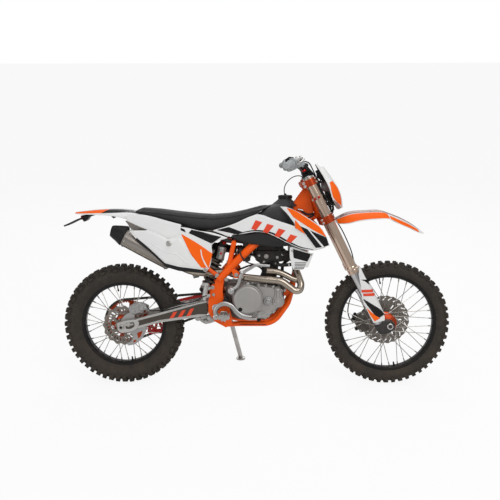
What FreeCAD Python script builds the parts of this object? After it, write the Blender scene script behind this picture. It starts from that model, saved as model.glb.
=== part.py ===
"""Enduro motorcycle, parked on its side stand. Lengths are in millimetres, angles in degrees.

Each piece is laid out on the upright motorcycle: X forwards, Y to its left, Z up, ground at zero and
X zero half way between the axles. What turns with the fork is laid out square to the steering axis,
and what turns with a wheel about its axle. One placement then leans every piece on the stand.
"""
import FreeCAD, Part
import math
import os
import re
import Sketcher
from FreeCAD import Placement, Rotation
from FreeCAD import Vector as V

# Driving dimensions: the alias of each cell of the sheet and its number
SIZES = {
    "wheelbase": 1470, "lean_angle": 10, "rake_angle": 26.5,
    "front_radius": 346, "front_crown": 46, "front_tread": 36, "front_side": 40, "front_section": 84,
    "front_lug_count": 26, "front_lug_height": 12, "front_lug_length": 22, "front_lug_width": 20,
    "rear_radius": 336, "rear_crown": 62, "rear_tread": 50, "rear_side": 51.5, "rear_section": 110,
    "rear_lug_count": 26, "rear_lug_height": 14.5, "rear_lug_length": 26, "rear_lug_width": 26,
    "front_rim_half": 27, "rear_rim_half": 32, "rim_flange": 10, "rim_wall": 4, "rim_depth": 9,
    "clearance": 0.3, "running_fit": 0.1,
    "axle_diameter": 20, "front_hub_half": 56, "hub_core": 27, "hub_flange": 50, "disc_seat": 42, "flange_place": 35,
    "spoke_diameter": 4, "spoke_count": 36,
    "front_disc": 130, "rear_disc": 112, "disc_thickness": 4.5, "front_band": 72, "rear_band": 30,
    "front_disc_place": 62, "rear_disc_place": 64,
    "sprocket_pitch": 121.4, "sprocket_tooth": 6, "sprocket_thickness": 7, "sprocket_place": 67,
    "front_sprocket": 35, "chain_width": 16, "chain_height": 18, "chain_plate": 3,
    "axle_lead": 68, "clamp_offset": 22, "leg_place": 98,
    "outer_tube": 56, "outer_low": 350, "outer_high": 925, "inner_tube": 48, "inner_high": 640,
    "lug_half": 24, "low_clamp": 656, "low_clamp_height": 41, "top_clamp": 878, "top_clamp_height": 37,
    "stem_diameter": 30, "head_wall": 12, "clamp_lobe": 9,
    "bar_diameter": 28.6, "bar_half": 405, "grip_diameter": 34, "grip_length": 118,
    "spar_diameter": 42, "cradle_diameter": 28, "down_tube": 40, "strut_diameter": 28, "rail_diameter": 20,
    "spar_place": 116, "plate_thickness": 27, "pivot_x": -215, "pivot_z": 447, "pivot_tube": 40,
    "arm_inside": 80, "arm_width": 28, "case_right": 88, "case_left": 80,
    "cover_depth": 62, "cover_radius": 78, "cover_x": -31, "cover_z": 499,
    "header_diameter": 40, "muffler_diameter": 102, "muffler_length": 329.77, "muffler_tilt": 28.43, "muffler_place": 84,
    "panel_wall": 4, "tank_half": 110, "seat_half": 100, "fender_half": 88,
    "stand_x": -150, "stand_y": 140, "stand_z": 345, "stand_reach": 300, "stand_lead": 60,
    "stand_diameter": 26, "peg_length": 82, "lever_diameter": 16,
}

doc = FreeCAD.newDocument("enduro_motorcycle")
sheet = doc.addObject("Spreadsheet::Sheet", "sizes")
for row, (alias, number) in enumerate(SIZES.items(), start=1):
    sheet.set(f"A{row}", alias)
    sheet.set(f"B{row}", str(number))
    sheet.setAlias(f"B{row}", alias)
doc.recompute()


def size(formula):
    """The value of a formula in the sheet's words."""
    return float(sheet.evalExpression(str(formula)))


def bound(formula):
    """The formula as another object has to write it, with each alias under the sheet's name."""
    return re.sub(r"[a-z_]+", lambda word: "sizes." + word.group() if word.group() in SIZES else word.group(),
                  str(formula))


# Places that many pieces share
front_x = size("wheelbase / 2")
rear_x = -front_x
front_z = size("front_radius")
rear_z = size("rear_radius")
datum_x = front_x - 735
rake = math.radians(size("rake_angle"))
lean = math.radians(size("lean_angle"))
gap = size("clearance")
fit = size("running_fit")
axle = size("axle_diameter / 2")
wall = size("panel_wall")
pivot_x = size("pivot_x") + datum_x
pivot_z = size("pivot_z")

# The fork's own frame: X forwards and square to the steering axis, Z up along it, level with the axle
steer_frame = Placement(V(front_x - size("axle_lead") * math.cos(rake), 0,
                          front_z - size("axle_lead") * math.sin(rake)),
                        Rotation(V(0, 1, 0), -size("rake_angle")))
front_wheel_frame = Placement(V(front_x, 0, front_z), Rotation())
rear_wheel_frame = Placement(V(rear_x, 0, rear_z), Rotation())
chassis_frame = Placement()

pieces = []


def keep(feature, name, frame):
    """Lists a finished sub-part under the name of its node."""
    feature.Label = name
    pieces.append((feature, frame))
    return feature


def keep_shape(shape, name, frame):
    """A sub-part whose shape is worked out here from the sheet's values."""
    feature = doc.addObject("Part::Feature", name)
    feature.Shape = shape.removeSplitter()
    return keep(feature, name, frame)


def origin_plane(body, role):
    return [plane for plane in body.Origin.OriginFeatures if plane.Role == role][0]


def outline_sketch(body, role, points, offset="0"):
    """A closed outline; each point is (across, up) or (across, up, radius) where an arc starts there.

    A positive radius turns the arc's middle to the right of the way it runs.
    """
    sketch = body.newObject("Sketcher::SketchObject", body.Name + "_outline")
    sketch.AttachmentSupport = (origin_plane(body, role), [""])
    sketch.MapMode = "FlatFace"
    if offset != "0":
        sketch.setExpression("AttachmentOffset.Base.z", bound(offset))
    places = [V(size(point[0]), size(point[1]), 0) for point in points]
    for index, point in enumerate(points):
        start = places[index]
        end = places[(index + 1) % len(points)]
        if len(point) == 2:
            sketch.addGeometry(Part.LineSegment(start, end), False)
            continue
        radius = size(point[2])
        chord = end - start
        right = V(chord.y, -chord.x, 0).normalize()
        rise = abs(radius) - math.sqrt(radius ** 2 - (chord.Length / 2) ** 2)
        middle = (start + end) / 2 + right * math.copysign(rise, radius)
        sketch.addGeometry(Part.Arc(start, middle, end), False)
    for index, point in enumerate(points):
        following = (index + 1) % len(points)
        start_of_this, end_of_this, start_of_next = 1, 2, 1
        join = (index, end_of_this, following, start_of_next)
        sketch.addConstraint(Sketcher.Constraint("Coincident", *ends(sketch, *join)))
        across = Sketcher.Constraint("DistanceX", index, arc_end(sketch, index, start_of_this), places[index].x)
        number = sketch.addConstraint(across)
        sketch.setExpression(f"Constraints[{number}]", bound(point[0]))
        up = Sketcher.Constraint("DistanceY", index, arc_end(sketch, index, start_of_this), places[index].y)
        number = sketch.addConstraint(up)
        sketch.setExpression(f"Constraints[{number}]", bound(point[1]))
        if len(point) == 3:
            curve = Sketcher.Constraint("Radius", index, abs(size(point[2])))
            number = sketch.addConstraint(curve)
            sketch.setExpression(f"Constraints[{number}]", bound(f"abs({point[2]})"))
    return sketch


def arc_end(sketch, index, end):
    """The sketch keeps an arc counter-clockwise, so an arc drawn the other way has its ends swapped."""
    curve = sketch.Geometry[index]
    if isinstance(curve, Part.ArcOfCircle) and swapped_arcs(sketch, index):
        return 3 - end
    return end


def swapped_arcs(sketch, index):
    curve = sketch.Geometry[index]
    before = sketch.Geometry[index - 1]
    start = curve.StartPoint
    return min(start.distanceToPoint(before.StartPoint), start.distanceToPoint(before.EndPoint)) > 1e-6


def ends(sketch, first, first_end, second, second_end):
    return first, arc_end(sketch, first, first_end), second, arc_end(sketch, second, second_end)


def turned(name, points, frame):
    """A piece turned about its wheel's axle, from an outline of (radius, place along the axle)."""
    body = doc.addObject("PartDesign::Body", name)
    sketch = outline_sketch(body, "XY_Plane", points)
    feature = body.newObject("PartDesign::Revolution", name + "_turned")
    feature.Profile = sketch
    feature.ReferenceAxis = (sketch, ["V_Axis"])
    feature.Angle = 360
    return keep(body, name, frame)


def prism(points, low, high):
    """The side outline of (x, z) points, solid from low to high across the motorcycle."""
    corners = [V(x, low, z) for x, z in points]
    return Part.Face(Part.makePolygon(corners + corners[:1])).extrude(V(0, high - low, 0))


def plan_prism(points, low, high):
    """The plan outline of (x, y) points, solid from low to high in height."""
    corners = [V(x, y, low) for x, y in points]
    return Part.Face(Part.makePolygon(corners + corners[:1])).extrude(V(0, 0, high - low))


def rod(start, end, diameter):
    start, end = V(*start), V(*end)
    return Part.makeCylinder(diameter / 2, (end - start).Length, start, end - start)


def bent_tube(points, diameter, bend=3.0):
    """A round tube along straight runs joined by arcs, each at most bend diameters in radius."""
    places = [V(*point) for point in points]
    edges = []
    last = places[0]
    for before, corner, after in zip(places, places[1:], places[2:]):
        back = (before - corner).normalize()
        ahead = (after - corner).normalize()
        half = back.getAngle(ahead) / 2
        room = 0.45 * min((before - corner).Length, (after - corner).Length)
        radius = min(bend * diameter, room * math.tan(half))
        reach = radius / math.tan(half)
        start = corner + back * reach
        end = corner + ahead * reach
        centre = corner + (back + ahead).normalize() * (radius / math.sin(half))
        middle = centre + (corner - centre).normalize() * radius
        edges.append(Part.LineSegment(last, start).toShape())
        edges.append(Part.Arc(start, middle, end).toShape())
        last = end
    edges.append(Part.LineSegment(last, places[-1]).toShape())
    path = Part.Wire(edges)
    circle = Part.Wire(Part.makeCircle(diameter / 2, places[0], places[1] - places[0]))
    return path.makePipeShell([circle], True, True)


def both_sides(shape):
    """The shape and its mirror image on the other side of the motorcycle, as two solids."""
    return Part.makeCompound([shape, shape.mirror(V(0, 0, 0), V(0, 1, 0))])


def fused_sides(shape):
    return shape.fuse(shape.mirror(V(0, 0, 0), V(0, 1, 0)))


def moved(points, x=0.0, z=0.0):
    return [(px + x, pz + z) for px, pz in points]


def steer_to_upright(across, up, y=0.0):
    """A point given square to the steering axis, in the upright motorcycle's frame."""
    return steer_frame.multVec(V(across, y, up))


# Wheels
def faceted_ring(outline, sides):
    """A ring about the axle in flat facets: the closed (radius, across) outline carried round its corners.

    The facets lie square to the ground at their middle, where a lug stands.
    """
    corners = []
    for index in range(sides):
        angle = 2 * math.pi * (index + 0.5) / sides - math.pi / 2
        corners.append([V(radius * math.cos(angle), across, radius * math.sin(angle)) for radius, across in outline])
    faces = []
    for here, there in zip(corners, corners[1:] + corners[:1]):
        for first in range(len(outline)):
            second = (first + 1) % len(outline)
            edge = [here[first], here[second], there[second], there[first]]
            faces.append(Part.Face(Part.makePolygon(edge + edge[:1])))
    shell = Part.makeShell(faces)
    shell.sewShape()
    solid = Part.makeSolid(shell)
    return solid if solid.Volume > 0 else solid.reversed()


def tyre(end):
    """A tyre: a faceted carcass with a lug at each facet's middle and one on each shoulder between two of them.

    The carcass is an ellipse from the rim's edge up, and the lugs' tips reach out to the tread's circle.
    """
    radius, crown = size(f"{end}_radius"), size(f"{end}_crown")
    length, width, height = size(f"{end}_lug_length"), size(f"{end}_lug_width"), size(f"{end}_lug_height")
    half = size(f"{end}_rim_half")
    count = int(size(f"{end}_lug_count"))
    spread = 1 / math.cos(math.pi / count)
    seat = size(f"{end}_radius - {end}_section + clearance") * spread
    flange = size(f"{end}_radius - {end}_section + rim_flange + clearance") * spread
    inside = half - size("rim_wall") - gap
    middle = radius - crown
    profile = [(seat, inside), (flange, inside), (flange, half + 2)]
    for turn in (90, 62, 30):
        angle = math.radians(turn)
        profile.append((middle + (crown - height) * math.cos(angle), size(f"{end}_side") * math.sin(angle)))
    carcass = faceted_ring(profile + [(r, -across) for r, across in reversed(profile)], count)
    shoulder = math.asin(size(f"{end}_tread") / crown) - 0.45 * width / crown
    lugs = []
    for tilt, wide, offset in ((0, 1.4 * width, 0), (shoulder, width, 0.5), (-shoulder, width, 0.5)):
        tip = math.sqrt(crown ** 2 - (wide / 2) ** 2)
        if not tilt:
            # The leaned motorcycle stands on the edge of its middle lugs
            tip = (crown - wide / 2 * math.sin(lean)) / math.cos(lean)
        block = Part.makeBox(length, wide, 1.6 * height, V(-length / 2, -wide / 2, tip - 1.6 * height))
        block.Placement = Placement(V(0, 0, middle), Rotation(V(1, 0, 0), -math.degrees(tilt)))
        for index in range(count):
            lug = block.copy()
            lug.rotate(V(0, 0, 0), V(0, 1, 0), 180 + 360 * (index + offset) / count)
            lugs.append(lug)
    return carcass.fuse(lugs)


def rim(end):
    """A rim with its well and two flanges, turned about the axle."""
    half = f"{end}_rim_half"
    bead = f"({end}_radius - {end}_section)"
    well = f"{bead} - rim_depth"
    lip = f"{bead} + rim_flange"
    outline = [
        (well, f"-({half} - 12)"), (f"{bead} - rim_wall", f"-{half}"), (lip, f"-{half}"),
        (lip, f"-({half} - rim_wall)"), (bead, f"-({half} - rim_wall)"),
        (bead, f"{half} - rim_wall"), (lip, f"{half} - rim_wall"), (lip, half),
        (f"{bead} - rim_wall", half), (well, f"{half} - 12"),
    ]
    turned(f"{end}_rim", outline, wheel_frames[end])


wheel_frames = {"front": front_wheel_frame, "rear": rear_wheel_frame}
for end in wheel_frames:
    keep_shape(tyre(end), f"{end}_tyre", wheel_frames[end])
    rim(end)


def hub(low, high, disc_side, rim_radius):
    """A hub's core and flanges with its spokes, which end in nipples just under the rim.

    It reaches from low to high along the axle, with the disc's seat at the end that disc_side names.
    """
    core = size("hub_core")
    flange = size("hub_flange")
    spoke = size("spoke_diameter")
    shape = Part.makeCylinder(core, high - low, V(0, low, 0), V(0, 1, 0))
    seat_low = high - 6 if disc_side > 0 else low
    shape = shape.fuse(Part.makeCylinder(size("disc_seat"), 6, V(0, seat_low, 0), V(0, 1, 0)))
    flange_place = size("flange_place")
    for side in (-1, 1):
        shape = shape.fuse(Part.makeCylinder(flange, 6, V(0, side * flange_place - 3, 0), V(0, 1, 0)))
    count = int(size("spoke_count"))
    spokes = []
    for index in range(count):
        side = 1 if index % 2 else -1
        turn = 1 if index % 4 < 2 else -1
        rim_angle = math.radians(360 * (index + 0.5) / count)
        hub_angle = rim_angle + turn * math.radians(62)
        foot = V((flange - 6) * math.cos(hub_angle), side * flange_place, (flange - 6) * math.sin(hub_angle))
        reach = rim_radius + 6
        tip = V(reach * math.cos(rim_angle), side * 5, reach * math.sin(rim_angle))
        spokes.append(rod(foot, tip, spoke))
    limit = Part.makeCylinder(rim_radius - gap, 400, V(0, -200, 0), V(0, 1, 0))
    shape = shape.fuse([spoke_rod.common(limit) for spoke_rod in spokes])
    return shape.cut(Part.makeCylinder(axle + fit, 400, V(0, -200, 0), V(0, 1, 0)))


front_disc_face = size("front_disc_place - disc_thickness / 2")
rear_disc_face = size("rear_disc_place - disc_thickness / 2")
keep_shape(hub(-size("front_hub_half"), front_disc_face, 1, size("front_radius - front_section - rim_depth")),
           "front_hub_and_spokes", front_wheel_frame)


def disc(radius, band_width, place, inner, carrier):
    """A brake disc: a band on spider arms round a ring that is bolted to the hub."""
    thick = size("disc_thickness")
    low = place - thick / 2
    band = Part.makeCylinder(radius, thick, V(0, low, 0), V(0, 1, 0))
    band = band.cut(Part.makeCylinder(radius - band_width, thick, V(0, low, 0), V(0, 1, 0)))
    ring = Part.makeCylinder(carrier, thick, V(0, low, 0), V(0, 1, 0))
    arms = []
    for index in range(6):
        arm = Part.makeBox(radius - band_width + 4 - inner, thick, 14, V(inner, low, -7))
        arm.rotate(V(0, 0, 0), V(0, 1, 0), 60 * index)
        arms.append(arm)
    shape = ring.fuse([band] + arms)
    return shape.cut(Part.makeCylinder(inner, thick, V(0, low, 0), V(0, 1, 0)))


keep_shape(disc(size("front_disc"), size("front_band"), size("front_disc_place"), size("hub_core") + gap, 44),
           "front_brake_disc", front_wheel_frame)
keep_shape(disc(size("rear_disc"), size("rear_band"), -size("rear_disc_place"), size("hub_core") + gap, 44),
           "rear_brake_disc", rear_wheel_frame)


def rear_hub():
    """The rear hub with the driven sprocket bolted to its left end."""
    place = size("sprocket_place")
    thick = size("sprocket_thickness")
    shape = hub(-rear_disc_face, place - thick / 2, -1, size("rear_radius - rear_section - rim_depth"))
    tip = size("sprocket_pitch + sprocket_tooth")
    wheel = Part.makeCylinder(tip, thick, V(0, place - thick / 2, 0), V(0, 1, 0))
    wheel = wheel.cut(Part.makeCylinder(axle + fit, thick, V(0, place - thick / 2, 0), V(0, 1, 0)))
    for index in range(6):
        hole = Part.makeCylinder(19, 3 * thick, V(82, place - thick, 0), V(0, 1, 0))
        hole.rotate(V(0, 0, 0), V(0, 1, 0), 60 * index + 30)
        wheel = wheel.cut(hole)
    return shape.fuse(wheel)


keep_shape(rear_hub(), "rear_hub_and_sprocket", rear_wheel_frame)


# Fork
leg_y = size("leg_place")
leg_s = size("clamp_offset")
outer = size("outer_tube / 2")
inner = size("inner_tube / 2")
lead = size("axle_lead")
lug = size("lug_half")


def clamp(low, height):
    """One triple clamp: lobes round both legs and the stem, joined by a bridge."""
    lobe = outer + size("clamp_lobe")
    plate = plan_prism([(-26, -24), (leg_s - 20, -leg_y), (leg_s + 26, -leg_y), (leg_s + 16, -30),
                        (leg_s + 16, 30), (leg_s + 26, leg_y), (leg_s - 20, leg_y), (-26, 24)],
                       low, low + height)
    for side in (-1, 1):
        plate = plate.fuse(Part.makeCylinder(lobe, height, V(leg_s, side * leg_y, low)))
    plate = plate.fuse(Part.makeCylinder(30, height, V(0, 0, low)))
    for side in (-1, 1):
        plate = plate.cut(Part.makeCylinder(outer + gap, height, V(leg_s, side * leg_y, low)))
    return plate


def triple_clamps():
    low, top = size("low_clamp"), size("top_clamp")
    low_height, top_height = size("low_clamp_height"), size("top_clamp_height")
    stem = Part.makeCylinder(size("stem_diameter / 2"), top + top_height + 8 - low, V(0, 0, low))
    shape = clamp(low, low_height).fuse([clamp(top, top_height), stem])
    nut = Part.makeCylinder(19, 10, V(0, 0, top + top_height))
    bore = Part.makeCylinder(8, 60, V(0, 0, top + top_height - 20))
    return shape.fuse(nut).cut(bore)


keep_shape(triple_clamps(), "triple_clamps", steer_frame)


def outer_tube():
    """The fork's upper tube, hollow where the lower tube slides, with a collar round its seal."""
    low, high = size("outer_low"), size("outer_high")
    tube = Part.makeCylinder(outer, high - low, V(leg_s, leg_y, low))
    tube = tube.fuse(Part.makeCylinder(outer + 3, 30, V(leg_s, leg_y, low)))
    return tube.cut(Part.makeCylinder(inner + gap, size("inner_high") + 5 - low, V(leg_s, leg_y, low)))


keep_shape(both_sides(outer_tube()), "fork_outer_tubes", steer_frame)


def fork_legs():
    """The lower tubes, their axle lugs and the axle with its spacers."""
    tube = Part.makeCylinder(inner, size("inner_high") + 20, V(leg_s, leg_y, -20))
    lug_outline = [(-4, 34), (8, -20), (35, -26), (lead + 4, -27), (lead + 26, -12), (lead + 26, 14),
                   (lead - 8, 34)]
    foot = prism(lug_outline, leg_y - lug, leg_y + lug)
    side = fused_sides(tube.fuse(foot))
    centre = V(lead, -leg_y - lug - 4, 0)
    bar = Part.makeCylinder(axle, 2 * (leg_y + lug + 4), centre, V(0, 1, 0))
    shape = side.fuse(bar)
    for sign, low in ((-1, size("front_hub_half") + 1), (1, front_disc_face + 1)):
        spacer = Part.makeCylinder(16, leg_y - lug - low, V(lead, sign * low, 0), V(0, sign, 0))
        shape = shape.fuse(spacer)
    return shape


keep_shape(fork_legs(), "fork_legs", steer_frame)


def fork_guard():
    """The plastic guard ahead of and outside one lower tube: an outer plate with a front wall."""
    outline = [(62, 372), (63, 295), (75, 234), (74, 204), (67, 66), (54, 42), (-5, 42), (-6, 226),
               (-4, 300), (20, 325)]
    plate_y = leg_y + lug + gap
    shell = prism(outline, leg_y - lug + 6, plate_y + wall)
    hollow = prism(moved(outline, x=-wall), 0, plate_y)
    below = prism([(-20, 20), (46 - wall, 20), (46 - wall, 60), (-20, 60)], 0, plate_y)
    shape = shell.cut([hollow, below])
    return shape.cut(Part.makeCylinder(outer + 3 + gap + 0.7, 400, V(leg_s, leg_y, size("outer_low") - 1)))


keep_shape(both_sides(fork_guard()), "fork_guards", steer_frame)


def front_fender():
    """The high front fender: a curved sheet with turned-down edges, bolted under the lower clamp."""
    top = [(60, 655), (129, 655), (230, 619), (304, 582), (346, 541), (385, 497), (422, 445), (463, 365)]
    low = [(448, 372), (409, 418), (362, 473), (321, 524), (277, 546), (175, 585), (110, 599), (60, 620)]
    shell = prism(top + low, -150, 150)
    hollow = prism(moved(top, x=-wall / 2, z=-wall) + moved(low, x=-12, z=-14), -150, 150)
    plan = [(60, 48), (110, 68), (200, 74), (320, 70), (400, 56), (463, 22)]
    inner_plan = [(40, 44), (110, 68 - wall), (200, 74 - wall), (320, 70 - wall), (400, 56 - wall), (459, 18)]
    outer_solid = plan_prism(plan + [(x, -y) for x, y in reversed(plan)], 300, 700)
    inner_solid = plan_prism(inner_plan + [(x, -y) for x, y in reversed(inner_plan)], 300, 700)
    mount = Part.makeBox(40, 56, size("low_clamp") - gap - 640, V(30, -28, 640))
    return shell.common(outer_solid).cut(hollow.common(inner_solid)).fuse(mount)


keep_shape(front_fender(), "front_fender", steer_frame)


lamp_low = 780
lamp_high = 868
lamp_half = 50


def headlight_mask():
    """The mask ahead of the clamps: a shell round the lamp, open at the back."""
    front = [(105, 967), (121, 950), (137, 893), (145, 847), (150, 795), (144, 743), (128, 690)]
    back = [(96, 690), (92, 765), (100, 821), (100, 886), (92, 963)]
    shell = prism(front + back, -150, 150)
    hollow = prism(moved(front, x=-wall) + moved(back, x=-wall - 8), -150, 150)
    section = [(90, 92), (122, 88), (146, 66), (152, 0)]
    inner_section = [(70, 92 - wall), (120, 88 - wall), (143, 64 - wall), (152 - wall, 0)]
    outer_solid = plan_prism(section + [(x, -y) for x, y in reversed(section[:-1])], 600, 1000)
    inner_solid = plan_prism(inner_section + [(x, -y) for x, y in reversed(inner_section[:-1])], 600, 1000)
    lamp_hole = prism([(100, lamp_low - gap), (170, lamp_low - gap), (170, lamp_high + gap),
                       (100, lamp_high + gap)], -lamp_half - gap, lamp_half + gap)
    return shell.common(outer_solid).cut([hollow.common(inner_solid), lamp_hole])


keep_shape(headlight_mask(), "headlight_mask", steer_frame)


def headlight():
    """The lamp unit behind the mask's window, held to the fork by a bracket on each leg."""
    body = prism([(84, 790), (100, lamp_low), (147, lamp_low), (147, lamp_high), (100, lamp_high), (84, 858)],
                 -lamp_half, lamp_half)
    side = leg_y - outer - gap
    strap = Part.makeBox(10, 2 * side, 20, V(74, -side, 810))
    ears = Part.makeBox(64, 6, 20, V(20, side - 6, 810))
    ears = ears.fuse(Part.makeBox(64, 6, 20, V(20, -side, 810)))
    return body.fuse([strap, ears])


keep_shape(headlight(), "headlight", steer_frame)

clamp_top = size("top_clamp + top_clamp_height")
bar = size("bar_diameter / 2")
bar_half = size("bar_half")
bar_run = [(30, 60, clamp_top + 42), (26, 112, clamp_top + 58), (-14, bar_half - 215, clamp_top + 112),
           (-70, bar_half, clamp_top + 123)]


def handlebar():
    """A tapered bar without a cross brace, held by two clamps on the upper triple clamp."""
    points = [(s, -y, t) for s, y, t in reversed(bar_run)] + bar_run
    tube = bent_tube(points, 2 * bar * 0.84, bend=3.5)
    blocks = [Part.makeBox(44, 24, 66 - gap, V(8, side * 42 - 12, clamp_top + gap)) for side in (-1, 1)]
    return tube.fuse(blocks)


keep_shape(handlebar(), "handlebar", steer_frame)


def grip_axis(start):
    """A point on the bar's straight end, start millimetres in from its tip, and the way outwards."""
    inside, tip = V(*bar_run[-2]), V(*bar_run[-1])
    way = (tip - inside).normalize()
    return tip - way * start, way


def hand_grips():
    grip = size("grip_diameter / 2")
    start, way = grip_axis(size("grip_length"))
    sleeve = Part.makeCylinder(grip, size("grip_length") + 4, start, way)
    return both_sides(sleeve.cut(Part.makeCylinder(bar * 0.84 + gap, size("grip_length"), start, way)))


keep_shape(hand_grips(), "hand_grips", steer_frame)


def hand_controls():
    """Brake and throttle on the right, clutch on the left: a housing, a reservoir and a lever each."""
    start, way = grip_axis(size("grip_length") + 46)
    bore = Part.makeCylinder(bar * 0.84 + gap, 130, start - way * 60, way)
    housing = Part.makeCylinder(27, 40, start, way)
    perch = Part.makeCylinder(21, 24, start - way * 30, way)
    base = start - way * 20
    arm = Part.makeBox(40, 30, 14, V(base.x + 8, base.y - 14, base.z - 8))
    pivot = V(base.x + 44, base.y + 4, base.z)
    lever = bent_tube([tuple(pivot), (pivot.x + 10, pivot.y + 40, pivot.z - 2),
                       (pivot.x - 6, pivot.y + 120, pivot.z - 4), (pivot.x - 26, pivot.y + 176, pivot.z - 6)], 11)
    join = housing.fuse([perch, arm, lever, rod(start - way * 10, start + way * 2, 36)]).cut(bore)
    cup = Part.makeBox(46, 40, 32, V(base.x + 6, base.y - 24, base.z + 6 + bar))
    cup = cup.fuse(Part.makeBox(10, 14, bar + 12, V(base.x + 20, base.y - 10, base.z)))
    right = join.fuse(cup.cut(bore)).mirror(V(0, 0, 0), V(0, 1, 0))
    return Part.makeCompound([join, right])


keep_shape(hand_controls(), "hand_controls", steer_frame)


def front_caliper():
    """The caliper behind the left leg, astride the disc, with the guard ahead of the disc."""
    thick = size("disc_thickness")
    place = size("front_disc_place")
    block = prism([(-74, 96), (-18, 96), (-12, 30), (-44, -14), (-88, 0), (-92, 50)], place - 20, place + 17)
    slot = Part.makeCylinder(size("front_disc") + 6, thick + 6, V(lead, place - thick / 2 - 3, 0), V(0, 1, 0))
    leg = Part.makeCylinder(inner + gap, 400, V(leg_s, leg_y, -100))
    ear = prism([(-40, 84), (4, 84), (4, 40), (-40, 36)], place + 10, leg_y + 8)
    return block.cut(slot).fuse(ear).cut(leg)


keep_shape(front_caliper(), "front_caliper", steer_frame)


# Chassis
head_low = size("low_clamp + low_clamp_height") + 1
head_high = size("top_clamp") - 1
head_radius = size("stem_diameter / 2 + head_wall")
spar_y = size("spar_place")
spar = size("spar_diameter")
cradle = size("cradle_diameter")
down_tube = size("down_tube")
plate_in = spar_y - spar / 2
plate_out = plate_in + size("plate_thickness")


def at(x, z):
    """A point of the main frame, which keeps its distance from the front axle."""
    return x + datum_x, z


def ats(points):
    return [at(x, z) for x, z in points]


spar_path = [at(236, 950) + (30,), at(120, 875) + (62,), at(10, 806) + (100,), at(-40, 762) + (spar_y,),
             at(-150, 652) + (spar_y,), at(-196, 600) + (spar_y,)]
spar_run = [(x, y, z) for x, z, y in spar_path]
plate_outline = ats([(-150, 672), (-186, 640), (-213, 604), (-222, 571), (-246, 543), (-255, 488), (-255, 420),
                     (-222, 372), (-160, 338), (-128, 352), (-128, 400), (-149, 477), (-173, 499), (-178, 543),
                     (-170, 593), (-140, 640)])


stand_pivot = V(size("stand_x") + datum_x, size("stand_y"), size("stand_z"))


def ground_height(y):
    """The ground's height under a place y to the left of the upright motorcycle, once it leans."""
    lift = ((size("front_crown") + size("rear_crown")) / 2) * (1 - math.cos(lean))
    return (y * math.sin(lean) - lift) / math.cos(lean)


stand_foot = V(stand_pivot.x + size("stand_lead"), size("stand_reach"), ground_height(size("stand_reach")))
stand_down = (stand_foot - stand_pivot).normalize()
stand_folded = V(-0.985, 0.13, 0.1).normalize()
stand_hinge = stand_down.cross(stand_folded).normalize()


def stand_pin():
    """The frame's side of the stand's hinge: a boss on the left pivot plate and its pin."""
    boss = rod(tuple(stand_pivot - stand_hinge * 11), tuple(stand_pivot - stand_hinge * 30), 26)
    pin = rod(tuple(stand_pivot - stand_hinge * 20), tuple(stand_pivot + stand_hinge * 15), 12)
    head = rod(tuple(stand_pivot + stand_hinge * 11), tuple(stand_pivot + stand_hinge * 15), 20)
    web = prism(ats([(-186, 366), (-128, 366), (-138, 330), (-166, 324)]), plate_in, plate_out)
    return boss.fuse([pin, head, web])


def main_frame():
    """Steel frame: head tube and gussets, twin spars, pivot plates, cradle and downtube."""
    head = Part.makeCylinder(head_radius, head_high - head_low, V(0, 0, head_low))
    head.Placement = steer_frame
    side = bent_tube(spar_run, spar, bend=2.5)
    side = side.fuse(prism(plate_outline, plate_in, plate_out))
    strut_top = at(-116, 800)
    strut_low = at(-146, 668)
    strut_y = spar_y - 8
    side = side.fuse(rod((strut_top[0], strut_y, strut_top[1]), (strut_low[0], strut_y, strut_low[1]),
                         size("strut_diameter - 2")))
    gusset = prism(ats([(262, 1085), (200, 992), (196, 930), (277, 905), (325, 935), (290, 1080)]), 14, 32)
    side = side.fuse(gusset)
    lower = [(-150, 352, spar_y - 14), (-100, 347, 62), (70, 347, 60), (118, 372, 60), (182, 462, 58),
             (203, 540, 48), (222, 640, 20)]
    cradle_run = [(x + datum_x, y, z) for x, z, y in lower]
    side = side.fuse(bent_tube(cradle_run, cradle, bend=4))
    side = side.fuse(prism(ats([(40, 375 - gap), (76, 375 - gap), (76, 350), (40, 350)]), 52, 64))
    both = fused_sides(side)
    neck = steer_to_upright(-4, head_low + 30)
    down = rod((222 + datum_x, 0, 625), tuple(neck), down_tube)
    cross = rod((pivot_x + 40, -plate_in - 4, 380), (pivot_x + 40, plate_in + 4, 380), 24)
    bridge_end = strut_y + 13
    bridge = rod((strut_top[0], -bridge_end, 800), (strut_top[0], bridge_end, 800), size("strut_diameter"))
    shock_ears = prism(ats([(-104, 812), (-104, 790), (-178, 794), (-190, 806), (-178, 820)]), 8, 14)
    shock_ears = shock_ears.fuse(prism(ats([(-104, 812), (-104, 790), (-178, 794), (-190, 806), (-178, 820)]),
                                       -30, -24))
    shape = both.fuse([head, down, cross, bridge, shock_ears, stand_pin()])
    stem_bore = Part.makeCylinder(size("stem_diameter / 2") + fit, 400, V(0, 0, head_low - 100))
    stem_bore.Placement = steer_frame
    top_room = Part.makeCylinder(150, 200, V(0, 0, head_high))
    top_room.Placement = steer_frame
    bearing = Part.makeCylinder(size("pivot_tube / 2"), 400, V(pivot_x, -200, pivot_z), V(0, 1, 0))
    return shape.cut([stem_bore, top_room, low_room(), bearing])


def low_room():
    """Room for the lower clamp's turn, from under it up to the head tube's end."""
    room = Part.makeCylinder(150, 300, V(0, 0, head_low - 300))
    keep_back = Part.makeBox(400, 400, 400, V(-400 - 46, -200, head_low - 350))
    room = room.cut(keep_back)
    room.Placement = steer_frame
    return room


keep_shape(main_frame(), "main_frame", chassis_frame)


def rear_wheel_points(points):
    """Side points given from the rear axle."""
    return [(x + rear_x, z + rear_z) for x, z in points]


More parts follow.
